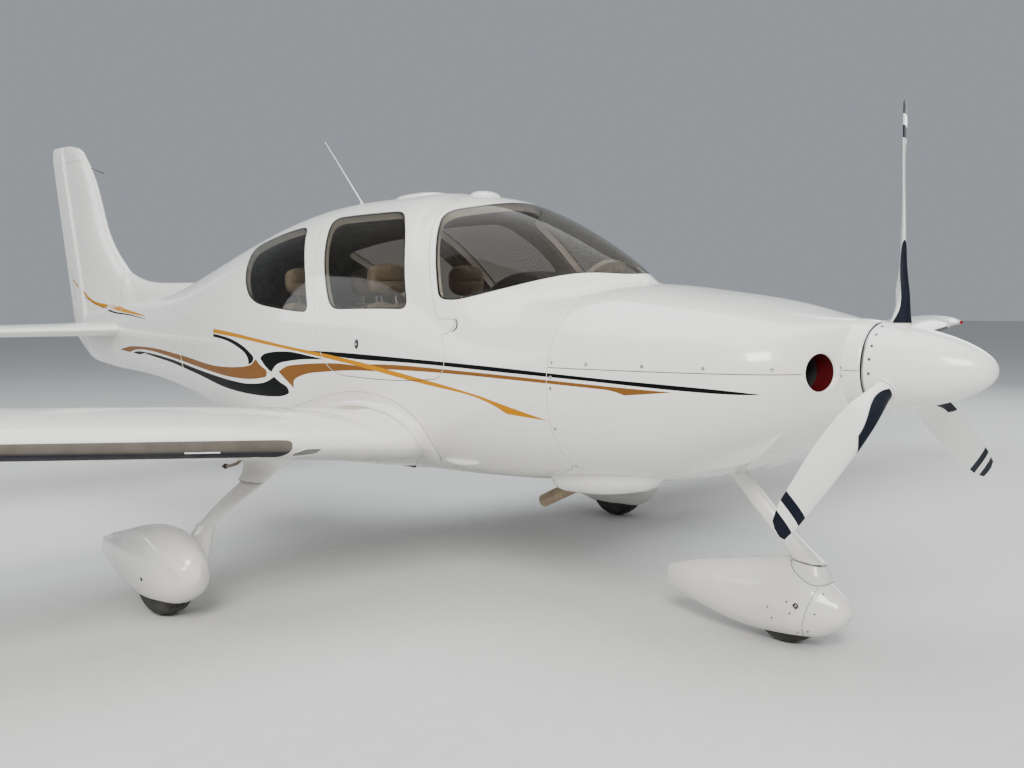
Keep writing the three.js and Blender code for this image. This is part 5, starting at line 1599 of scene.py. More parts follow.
def stud_heads(surface: Surface, s: Array, v: Array, radius: float, rise: float = 0.0012) -> Mesh:
    """Round fastener heads: discs with a chamfer and a shallow cross dip, set square to the surface."""
    base = surface.at(s, v)
    out = surface.normal(s, v)
    side = unit(np.cross(out, [0.1, 0.2, 1.0]))
    other = np.cross(out, side)
    rows = np.array([(-0.002, 1.0), (0.3, 1.0), (1.0, 0.82), (1.0, 0.5), (0.5, 0.34), (0.5, 0.02)])
    mesh = Mesh()
    for k in range(len(base)):
        centre = base[k] + out[k] * (rows[:, :1] * rise)
        rings = ellipse_ring(centre, side[k] * rows[:, 1:] * radius, other[k] * rows[:, 1:] * radius, 14)
        mesh.join(tube_mesh(rings))
    return mesh


@dataclass
class Propeller:
    """Three blades, spinner and back plate.

    Attributes:
        hub: Centre of the propeller.
        sections: Blade sections: radius, chord, thickness, pitch in degrees, and how far the middle of the
            chord lies behind the blade's axis.
        tip_bands: Radii where the paint at the tip changes.
        boot: Radii between which the leading edge wears its boot.
        boot_angles: Angles round the section, in degrees, between which it lies.
        spinner: Base x, radius and tip x.
    """

    hub: Triple = (3.593, 0.0, 1.156)
    sections: Sequence[Sequence[float]] = (
        (0.07, 0.078, 0.078, 0, 0.0), (0.165, 0.078, 0.078, 4, 0.0), (0.2, 0.084, 0.068, 32, 0.0),
        (0.235, 0.094, 0.056, 46, 0.002), (0.33, 0.12, 0.034, 40, 0.005), (0.5, 0.138, 0.021, 31, 0.006),
        (0.7, 0.134, 0.014, 24, 0.004), (0.85, 0.118, 0.011, 20, 0.0), (0.94, 0.098, 0.009, 18, -0.003),
        (0.972, 0.084, 0.007, 17, -0.006), (0.984, 0.068, 0.006, 17, -0.008), (0.9904, 0.036, 0.004, 17, -0.01),
    )
    tip_bands: Triple = (0.85, 0.897, 0.938)
    boot: Pair = (0.168, 0.475)
    boot_angles: Pair = (-76.0, 62.0)
    spinner: Triple = (3.53, 0.17, 3.96)

    def points(self, radii: Array, angle: Array, grow: float = 0.0) -> Array:
        """Points of a blade that stands up from the hub, by radius and by the angle round its section.

        The section's half thickness is the sine of the angle to a power that moves from round at the root to
        thin behind the leading edge outboard; the section is turned by the pitch.

        Args:
            radii: Distances from the hub, as a column.
            angle: Angles from the leading edge, as a row.
            grow: How far the points stand off the blade.
        """
        table = np.asarray(self.sections)
        chord, thick, pitch, back = (spline(radii) for spline in column_splines(table, range(1, 5)))
        blend = smoothstep(0.14, 0.3, radii)
        cosine, sine = np.cos(angle), np.sin(angle)
        foil = np.sign(sine) * np.abs(sine) ** 1.15 * (0.62 + 0.5 * cosine) + 0.16 * sine**2
        across = (chord / 2 + grow) * cosine - back
        deep = thick / 2 * ((1 - blend) * sine + blend * foil) + grow * sine
        turn = np.radians(pitch)
        y = deep * np.sin(turn) - across * np.cos(turn)
        x = across * np.sin(turn) + deep * np.cos(turn)
        return np.stack([x, y, np.broadcast_to(radii, x.shape)], -1)

    def blade(self) -> Mesh:
        """Blade as rings along the radius, with painted bands at its tip."""
        radii = np.unique(np.concatenate([np.linspace(0.07, 0.9905, 90), self.tip_bands]))
        mesh = tube_mesh(self.points(radii[:, None], full_turn(40)[None]))
        middle = np.array([mesh.points[face].mean(axis=0)[2] for face in mesh.faces])
        low, high, tip = self.tip_bands
        mesh.paint = np.where(((middle > low) & (middle < high)) | (middle > tip), 1, 0).tolist()
        return mesh

    def sheath(self) -> Mesh:
        """Boot on the leading edge: a thin sheet that reaches farthest out along the edge itself."""
        low, high = np.radians(self.boot_angles)
        angle = np.linspace(low, high, 44)[None]
        first, last = self.boot
        share = np.linspace(0, 1, 40)[:, None]
        reach = last - 0.05 * (angle / high) ** 2 - first
        radii = first + share * reach
        turned = angle + math.radians(46.0) * (1 - smoothstep(0.16, 0.42, radii))
        return slab(self.points(radii, turned, 0.0011), 0.0008)

    def shell(self) -> Mesh:
        """Spinner: turned about x, its radius the root of one minus a power of the length's share."""
        base, radius, tip = self.spinner
        share = np.sin(np.linspace(0, math.pi / 2, 60)) ** 1.15
        size = radius * np.sqrt(np.maximum(1 - share**1.75, 0)) * (1 - 0.12 * share)
        rows = np.column_stack([base + 0.0003 + (tip - base - 0.0006) * share, size])
        rows[-1] = (tip - 0.0002, 0.0004)
        inner = [(base + 0.0003, radius - 0.003)]
        return lathe([*inner, *rows.tolist()], (0, 0, self.hub[2]), X_AXIS, 96)

    def cuffs(self) -> Mesh:
        """Cuffs in the spinner round the blades' roots: raised oval rims at the spinner's wall."""
        rows = [(0.128, 0.05), (0.157, 0.052), (0.1605, 0.049), (0.159, 0.046), (0.13, 0.0445)]
        return lathe(rows, (self.hub[0], 0, self.hub[2]), Z_AXIS, 48)

    def screws(self) -> Mesh:
        """Screw heads round the spinner's base."""
        base, radius, _ = self.spinner
        mesh = Mesh()
        angles = np.radians(np.concatenate([np.arange(k, k + 73, 18) + 24 for k in (0, 120, 240)]))
        for angle in angles:
            out = np.array([0.06, -math.sin(angle), math.cos(angle)])
            centre = np.array([base + 0.022, 0, self.hub[2]]) + out * [0, radius - 0.0012, radius - 0.0012]
            rows = [(0.0, 0.0055), (0.0012, 0.0055), (0.0018, 0.004), (0.0012, 0.0012)]
            mesh.join(lathe(rows, centre, out, 12))
        return mesh

    def build(self) -> None:
        """Makes the blades, the spinner and the back plate."""
        paints = (Paint.BLADE, Paint.BOOT)
        blade, sheath, cuff = self.blade(), self.sheath(), self.cuffs()
        for number in (1, 2, 3):
            spin = np.array(Matrix.Rotation((number - 1) * 2 * math.pi / 3, 3, "X")).T
            placed = blade.moved(blade.points @ spin + self.hub)
            make_object(f"blade_skin_{number}", placed, paints, "propeller", "blade_paint", [f"blade_{number}"])
            boot = sheath.moved(sheath.points @ spin + self.hub)
            make_object(f"blade_boot_{number}", boot, paints[1:], "propeller", "panel_black")
            ring = cuff.moved((cuff.points - self.hub) @ spin + self.hub)
            make_object(f"blade_cuff_{number}", ring, paints, "propeller", "blade_paint")
        make_object("spinner_shell", self.shell(), paints, "propeller", "blade_paint", ["spinner"], sharp=60)
        plate = [(3.52, 0.02), (3.52, 0.1655), (3.5215, 0.167), (3.528, 0.1672), (3.5295, 0.166), (3.5297, 0.02)]
        shaft = [(3.34, 0.01), (3.34, 0.06), (3.4, 0.06), (3.41, 0.085), (3.519, 0.085), (3.5195, 0.01)]
        hub = lathe(plate, (0, 0, self.hub[2]), X_AXIS, 96).join(lathe(shaft, (0, 0, self.hub[2]), X_AXIS, 48))
        make_object("spinner_back", hub, (Paint.STEEL,), "propeller", "hub_metal", ["prop_hub"])
        make_object("spinner_screws", self.screws(), (Paint.SCREW,), "propeller", "hub_metal")


def slab(grid: Array, depth: float, paint: int = 0) -> Mesh:
    """Closed thin sheet: a grid of points, the same grid pushed along its normals, and walls round it."""
    rows, columns = grid.shape[:2]
    normal = unit(np.cross(np.gradient(grid, axis=0), np.gradient(grid, axis=1)))
    count = rows * columns
    number = np.arange(count).reshape(rows, columns)
    rim = np.concatenate([number[:, 0], number[-1, 1:], number[-2::-1, -1], number[0, -2:0:-1]])
    ahead = np.roll(rim, -1)
    top = grid_faces(rows, columns)
    walls = np.stack([rim, ahead, ahead + count, rim + count], -1)
    faces = np.vstack([top, top[:, ::-1] + count, walls]).tolist()
    points = np.vstack([grid.reshape(-1, 3), (grid - normal * depth).reshape(-1, 3)])
    return outward(Mesh.plain(points, faces, paint))


def seam_line(path: Array, radius: float = 0.0011) -> Mesh:
    """Dark seam: a thin tube along a path of points on a surface, half sunk in it."""
    return path_tube(path, radius, 6)


@dataclass
class Foil(Surface):
    """Port lifting surface: the parameters are y and the signed root of the chord's share.

    The root is positive on the upper skin. The half thickness is the usual four-term root formula of the
    chord's share, and the mean line a parabola.

    Attributes:
        rows: Sections: y, leading edge x and z, chord, thickness ratio, drop of the trailing edge.
        camber: Height of the mean line at mid-chord, as a share of the chord.
        tip: y outboard of which the columns follow a spline and the thickness rounds off.
        edge: Half thickness of the trailing edge, as a share of the chord.
        raised: Rows of y and how far the front part stands above the mean line.
        under: Share by which the lower side of the nose is thinner.
    """

    rows: Sequence[Sequence[float]]
    camber: float
    tip: float
    edge: float = 0.0022
    raised: Sequence[Pair] = ((0.0, 0.0), (1.0, 0.0))
    under: float = 0.0

    def __post_init__(self) -> None:
        """Keeps the table and the splines of its outer rows."""
        self.table = np.asarray(self.rows, float)
        outer = self.table[self.table[:, 0] >= self.tip - 2.3]
        self.outer = column_splines(outer, range(1, 6))

    def column(self, k: int, y: Array) -> Array:
        """One column at span stations: linear inboard, a spline outboard of the tip's start."""
        inner = np.interp(y, self.table[:, 0], self.table[:, k])
        return np.where(y > self.tip, self.outer[k - 1](y), inner)

    def place(self, y: Array, u: Array, side: Array) -> Array:
        """Points at span stations and shares of the chord, on the upper (1) or lower (-1) skin."""
        y, u, side = np.broadcast_arrays(np.asarray(y, float), np.asarray(u, float), np.asarray(side, float))
        lead_x, lead_z, chord, ratio, drop = (self.column(k, y) for k in range(1, 6))
        shape = 0.2969 * np.sqrt(u) - 0.126 * u - 0.3516 * u**2 + 0.2843 * u**3 - 0.1015 * u**4
        end = self.table[-1, 0]
        round_off = np.sqrt(np.clip(1 - np.clip((y - end + 0.03) / 0.03, 0, 1) ** 2, 0.0009, 1))
        thin = 1 - self.under * np.exp(-((u / 0.12) ** 2)) * (side < 0)
        half = np.maximum(5 * ratio * shape, self.edge * u) * round_off * thin
        lift = np.interp(y, *np.asarray(self.raised, float).T) * (1 - smoothstep(0.25, 0.68, u))
        z = lead_z + chord * (4 * self.camber * u * (1 - u) + side * half) - drop * u + lift
        return np.stack([lead_x - chord * u, y, z], -1)

    def at(self, s: Array, v: Array, inset: float = 0.0) -> Array:
        """Points by y and signed root, pushed in along the normal."""
        place = self.place(s, np.asarray(v) ** 2, np.where(np.asarray(v) < 0, -1.0, 1.0))
        return place - inset * self.normal(s, v) if inset else place

    def outwards(self, s: Array, v: Array) -> Array:
        """Forward and up or down."""
        return np.stack([np.full(np.shape(v), 0.25), np.zeros(np.shape(v)), np.asarray(v, float)], -1)


@dataclass
class Control:
    """Control surface let into a lifting surface.

    Attributes:
        start: Inboard y of its hinge line.
        end: Outboard y.
        share: Share of the chord where it is hinged.
        low: How far the hinge lies towards the lower skin, 0 to 1.
    """

    start: float
    end: float
    share: float
    low: float


@dataclass
class SplitFoil:
    """Lifting surface with coves cut round the hinges of its control surfaces.

    A ring lies in the plane through a point of the hinge line and square to that line. It runs from the
    leading edge along the upper skin to the cove, round the cove, and back along the lower skin.

    Attributes:
        foil: The whole surface.
        controls: Its control surfaces, from the inside out.
        gap: Width of the seam round a control surface.
        side_gap: Half the gap at a control surface's ends.
        front: Points on each skin ahead of the hinge.
        back: Points on each skin behind it, where there is no cove.
    """

    foil: Foil
    controls: Sequence[Control]
    gap: float = 0.0045
    side_gap: float = 0.003
    front: int = 26
    back: int = 14

    def hinge(self, control: Control, y: float) -> tuple[Array, float]:
        """Point of the hinge line and the radius of the nose there."""
        found = []
        for end in (control.start, control.end):
            both = self.foil.place(end, control.share, np.array([1.0, -1.0]))
            half = (both[0, 2] - both[1, 2]) / 2
            drop = control.low * (half - 0.01)
            found.append(np.array([*(both.mean(axis=0) - [0, 0, drop]), half + drop]))
        row = found[0] + (found[1] - found[0]) * (y - control.start) / (control.end - control.start)
        return row[:3], row[3]

    def frame(self, control: Control, y: float) -> tuple[Array, float, Array, Array, Array]:
        """Hinge point, nose radius and the axis, aft and up directions there."""
        point, radius = self.hinge(control, y)
        axis = unit(self.hinge(control, control.end)[0] - self.hinge(control, control.start)[0])
        fade = 1 - smoothstep(0.0, 0.6, np.array(max(control.start - 0.1 - y, y - control.end - 0.05, 0.0)))
        axis = unit(axis * fade + np.array([0.0, 1.0, 0.0]) * (1 - fade))
        aft = unit(axis * axis[0] - np.array([1.0, 0.0, 0.0]))
        return point, radius, axis, aft, np.cross(axis, aft)

    def skin(self, control: Control, y: float, u: Array, side: float) -> Array:
        """Points of the skin in the ring's plane, found by sliding y along the span four times."""
        point, _, axis, _, _ = self.frame(control, y)
        span = np.full(np.shape(u), y, float)
        for _ in range(4):
            place = self.foil.place(span, u, side)
            span = y - ((place[..., 0] - point[0]) * axis[0] + (place[..., 2] - point[2]) * axis[2]) / axis[1]
        return self.foil.place(span, u, side)

    def meet(self, control: Control, y: float, side: float, radius: float) -> float:
        """Share of the chord where the skin ahead of the hinge is a radius away from it."""
        point = self.frame(control, y)[0]
        share = np.linspace(0.35, control.share, 400)
        away = np.linalg.norm(self.skin(control, y, share, side) - point, axis=1)
        return float(np.interp(-radius, -away, share))

    def arc(self, control: Control, y: float, start: Array, end: Array, count: int) -> Array:
        """Arc about the hinge from one point round the front to another, its radius running between theirs."""
        point, _, _, aft, up = self.frame(control, y)
        turns = [math.atan2((p - point) @ up, (p - point) @ aft) % (2 * math.pi) for p in (start, end)]
        turn = np.linspace(turns[0], turns[1], count)[:, None]
        size = np.linspace(np.linalg.norm(start - point), np.linalg.norm(end - point), count)[:, None]
        return point + size * (np.cos(turn) * aft + np.sin(turn) * up)

    def ring(self, control: Control, y: float, cut: bool) -> Array:
        """Ring of the fixed part, with its cove or with its whole tail."""
        radius = self.frame(control, y)[1] + self.gap
        upper, lower = (self.meet(control, y, side, radius) for side in (1.0, -1.0))
        front = np.linspace(0, 1, self.front)
        top = self.skin(control, y, (front * math.sqrt(upper)) ** 2, 1.0)
        bottom = self.skin(control, y, (front[::-1] * math.sqrt(lower)) ** 2, -1.0)
        if cut:
            back = self.arc(control, y, top[-1], bottom[0], 28)[1:-1]
        else:
            over = self.skin(control, y, np.linspace(upper, 1, self.back)[1:], 1.0)
            back = np.vstack([over, self.skin(control, y, np.linspace(1, lower, self.back)[:-1], -1.0)])
        return np.vstack([top, back, bottom[:-1]])

    def moving(self, control: Control) -> Mesh:
        """Control surface: skins behind the hinge and a round nose about it."""
        rings = []
        for y in np.linspace(control.start + self.side_gap, control.end - self.side_gap, 14):
            radius = self.frame(control, y)[1]
            upper, lower = (self.meet(control, y, side, radius) for side in (1.0, -1.0))
            top = self.skin(control, y, np.linspace(1, upper, 16), 1.0)
            bottom = self.skin(control, y, np.linspace(lower, 1, 16), -1.0)
            rings.append(np.vstack([top, self.arc(control, y, top[-1], bottom[0], 18)[1:-1], bottom]))
        return tube_mesh(np.stack(rings))

    def fixed(self, stations: Sequence[float], first: Optional[Array] = None) -> Mesh:
        """Fixed part.

        Args:
            stations: Span stations of whole rings outside the controls.
            first: Points that stand in for the innermost ring.

        Returns:
            The mesh, with two rings half a millimetre apart wherever a cove starts or ends.
        """
        places = [(y, False) for y in stations]
        for control in self.controls:
            low, high = control.start - self.side_gap, control.end + self.side_gap
            places = [(y, cut) for y, cut in places if cut or not low - 0.002 < y < high + 0.002]
            places += [(low - 0.0005, False), (high + 0.0005, False)]
            places += [(y, True) for y in np.linspace(low, high, 12)]
        rings = [] if first is None else [first]
        for y, cut in sorted(places):
            nearest = min(self.controls, key=lambda c: max(c.start - y, y - c.end))
            rings.append(self.ring(nearest, y, cut))
        return tube_mesh(np.stack(rings))


WING = Foil(
    (
        (0.3, 1.4, 0.646, 1.608, 0.214, 0.064), (0.66, 1.6, 0.69, 1.612, 0.176, 0.056),
        (0.82, 1.672, 0.712, 1.59, 0.16, 0.052), (1.05, 1.64, 0.738, 1.5, 0.157, 0.046),
        (3.2, 1.522, 0.942, 1.19, 0.15, 0.024), (3.215, 1.552, 0.938, 1.222, 0.148, 0.026),
        (5.4, 1.42, 1.146, 0.87, 0.135, 0.004), (5.7, 1.372, 1.178, 0.74, 0.12, 0.0),
        (5.815, 1.29, 1.196, 0.56, 0.1, 0.0), (5.865, 1.13, 1.206, 0.3, 0.075, 0.0),
    ),
    0.028,
    5.4,
    raised=((0.6, 0.045), (1.5, 0.045), (2.8, 0.024), (5.4, 0.008), (5.8, 0.0)),
    under=0.22,
)


@dataclass
class Wings:
    """Wings, flaps and ailerons with their root fillets, strips, walkways and small fittings.

    Attributes:
        flap: Inboard control surface.
        aileron: Outboard control surface.
        fillet: Width of the fillet on the wing at mid-chord and at the leading edge, and on the fuselage.
        strips: Span ranges of the leading edge's strips.
        strip_reach: Signed roots of the chord's share where the strips start below and end above.
        walkway: Corners of the walkway: y, signed root, corner reach.
        scoop: Corners of the inlet in the leading edge; the inlet is drawn as a flat grey sheet of painted shade.
        root: y of the section that the innermost ring is taken from.
        fillet_grid: Rows and columns of the fillet's points.
    """

    flap: Control = field(default_factory=lambda: Control(0.84, 3.12, 0.74, 1.0))
    aileron: Control = field(default_factory=lambda: Control(3.26, 5.24, 0.74, 0.0))
    fillet: Triple = (0.04, 0.12, 0.075)
    strips: Sequence[Pair] = ((1.4, 3.18), (3.24, 5.36))
    strip_reach: Pair = (-0.28, 0.066)
    walkway: Sequence[Triple] = (
        (0.71, 0.49, 0.02), (0.86, 0.49, 0.05), (0.98, 0.6, 0.06), (0.98, 0.8, 0.02), (0.7, 0.8, 0.02),
    )
    scoop: Sequence[Triple] = (
        (1.255, -0.05, 0.02), (1.33, -0.05, 0.03), (1.375, -0.15, 0.02), (1.35, -0.24, 0.02), (1.27, -0.17, 0.03),
    )
    root: float = 0.66
    fillet_grid: tuple[int, int] = (14, 120)

    def junction(self, u: Array, side: Array) -> Array:
        """y where each chordwise line of the wing meets the fuselage skin, by halving."""

        def within(y: Array) -> Array:
            """Whether the wing's points at y lie inside the fuselage skin."""
            place = WING.place(y, u, side)
            rise = place[:, 2] - SKIN.centre(place[:, 0])
            return np.hypot(place[:, 1], rise) < SKIN.radius(place[:, 0], np.arctan2(rise, place[:, 1]))

        return halved(np.full(u.shape, 0.1), np.full(u.shape, 0.85), within, 34)

    def root_ring(self, split: SplitFoil) -> Array:
        """Innermost ring: chordwise lines run on to just inside the fuselage skin."""
        ring = split.ring(self.flap, self.root, False)
        behind = WING.column(1, np.array(self.root)) - ring[:, 0]
        u = np.clip(behind / WING.column(3, np.array(self.root)), 0, 1)
        side = np.where(np.arange(len(ring)) < split.front + split.back - 1, 1.0, -1.0)
        return WING.place(self.junction(u, side) - 0.02, u, side)

    def fillet_strip(self) -> Mesh:
        """Root fillet: quadratic arcs from the wing through the junction to the fuselage, as a sheet."""
        rows, columns = self.fillet_grid
        w = np.linspace(-0.99, 0.985, columns)
        u, side = w**2, np.where(w < 0, -1.0, 1.0)
        y = self.junction(u, side)
        middle, front, high = self.fillet
        reach = middle + (front - middle) * (1 - smoothstep(0.03, 0.55, np.abs(w)))
        start = WING.at(y + reach, w, -0.0016)
        corner = WING.place(y, u, side)
        slope = WING.normal(y + 0.02, w)
        rise = corner[:, 2] - SKIN.centre(corner[:, 0])
        angle = np.arctan2(rise, corner[:, 1])
        radius = np.hypot(rise, corner[:, 1])
        tangent = np.stack([np.zeros_like(angle), -np.sin(angle), np.cos(angle)], -1)
        lean = np.einsum("ij,ij->i", slope, tangent)
        x = corner[:, 0] + high * slope[:, 0] * 0.25
        end = SKIN.polar(x, angle + high * lean / radius, -0.0016)
        share = np.linspace(0, 1, rows)[:, None, None]
        return slab(soft_corner(start, corner, end, share), 0.004)

    def strip(self, span: Pair) -> Mesh:
        """Strip round the leading edge with rounded ends."""
        low, high = self.strip_reach
        rows = [(span[0], low, 0.04), (span[0], high, 0.04), (span[1], high, 0.04), (span[1], low, 0.04)]
        outer = even_path(rounded_outline(rows, 700), 420)
        return Patch(WING, outer, spacing=0.05, across=0.028, depth=0.001, lift=0.0012, lip=0.0006).build()

    def overlay(self, corners: Sequence[Triple], lift: float, spacing: float = 0.03, depth: float = 0.002) -> Mesh:
        """Thin piece on the wing's skin."""
        outer = spaced(rounded_outline(corners, 300), 0.012)
        return Patch(WING, outer, spacing=spacing, depth=depth, lift=lift, lip=lift / 2).build()

    def fittings(self) -> Mesh:
        """Flap and aileron brackets: small fish-shaped bodies under the wing."""
        mesh = Mesh()
        for y in (1.0, 1.98, 2.96, 3.46, 5.04):
            bottom = WING.place(y, np.array([0.5, 0.6, 0.7, 0.76]), -1.0)
            size = np.array([0.004, 0.018, 0.02, 0.006])
            rings = ellipse_ring(bottom, np.outer(size * 0.35, [0, 1, 0]), np.outer(size, [0, 0, 1]), 14)
            mesh.join(tube_mesh(rings))
        return mesh

    def build(self) -> None:
        """Makes the wings and everything on them."""
        split = SplitFoil(WING, (self.flap, self.aileron))
        stations = [0.7, 0.75, 0.8, 3.17, 3.2, 3.2045, 3.211, 3.2155, 3.24, 5.3, 5.4, 5.5, 5.6, 5.68, 5.74]
        stations += [5.79, 5.82, 5.84, 5.85, 5.857, 5.862, 5.8648]
        whole = split.fixed(stations, self.root_ring(split))
        flap, aileron = split.moving(self.flap), split.moving(self.aileron)
        fillet, strips = self.fillet_strip(), [self.strip(span) for span in self.strips]
        bar = path_tube(WING.at(np.linspace(1.72, 1.87, 8), np.full(8, -0.105), -0.002), 0.004, 3)
        walkway, scoop = self.overlay(self.walkway, 0.0008), self.overlay(self.scoop, 0.0006, 0.012)
        rim = seam_line(WING.at(*even_path(offset_outline(rounded_outline(self.scoop, 80), 0.004), 81).T), 0.003)
        cap_s, cap_v = np.array([2.2]), np.array([0.66])
        filler = stud_heads(WING, cap_s, cap_v, 0.042, 0.004)
        rows, columns = self.fillet_grid
        line = fillet.points[(rows - 1) * columns:rows * columns]
        girth = np.arctan2(line[:, 2] - SKIN.centre(line[:, 0]), line[:, 1]) * SKIN.girth
        edge = seam_line(SKIN.at(line[:, 0], girth, -0.0002), 0.0011)
        white = (Paint.WHITE,)
        # painted shade: the scoop is a flat grey sheet standing for the shaded inside of the inlet
        scoop_shade, seal, steel = (Paint.TRIM,), (Paint.SEAL,), (Paint.STEEL,)
        make_pairs(
            ("wing_skin_{}", whole, white, "airframe", "airframe_paint", ["wing_{}"]),
            ("flap_skin_{}", flap, white, "{}_flap", "airframe_paint", ["flap_{}"]),
            ("aileron_skin_{}", aileron, white, "{}_aileron", "airframe_paint", ["aileron_{}"]),
            ("root_fillet_{}", fillet, white, "airframe", "airframe_paint", (), 60),
            ("edge_strip_{}_1", strips[0], (Paint.DEICE,), "airframe", "gear_steel"),
            ("edge_strip_{}_2", strips[1], (Paint.DEICE,), "airframe", "gear_steel"),
            ("stall_bar_{}", bar, white, "airframe", "airframe_paint"),
            ("walkway_{}", walkway, (Paint.WALKWAY,), "airframe", "cabin_trim"),
            ("wing_scoop_{}", scoop, scoop_shade, "airframe", "panel_black"),
            ("root_seam_{}", edge, seal, "airframe", "panel_black"),
            ("scoop_rim_{}", rim, white, "airframe", "airframe_paint"),
            ("fuel_cap_{}", filler, steel, "airframe", "hub_metal"),
            ("wing_brackets_{}", self.fittings(), white, "airframe", "airframe_paint"),
        )


RUDDER_ROWS = np.array(
    [(0.965, 0.04, -3.338), (1.02, 0.052, -3.44), (1.13, 0.056, -3.596), (1.26, 0.054, -3.64), (1.5, 0.04, -3.698),
     (2.49, 0.03, -3.935), (2.6, 0.026, -3.96), (2.66, 0.018, -3.95), (2.69, 0.009, -3.93)]
)
HINGE_FOOT, HINGE_LEAN = (-3.352, 1.26), 0.285


def rudder_hinge(z: Array) -> Array:
    """x of the rudder's hinge line at a height: it leans aft from its foot."""
    return HINGE_FOOT[0] - HINGE_LEAN * (np.asarray(z) - HINGE_FOOT[1])


def rudder_row(z: Array, column: int) -> Array:
    """Half width (1) or trailing edge's x (2) of the rudder at a height."""
    return np.interp(z, RUDDER_ROWS[:, 0], RUDDER_ROWS[:, column])


class SideSkin(Surface):
    """Surface given by a half width over the side view; the parameters are x and z."""

    def width(self, x: Array, z: Array) -> Array:
        """Half width at a point of the side view."""
        raise NotImplementedError

    def at(self, s: Array, v: Array, inset: float = 0.0) -> Array:
        """Points by x and z, pushed in towards the plane of symmetry."""
        return np.stack([np.asarray(s, float), self.width(s, v) - inset, np.asarray(v, float)], -1)

    def outwards(self, s: Array, v: Array) -> Array:
        """Sideways."""
        return np.tile([0.0, 1.0, 0.0], (np.size(s), 1))


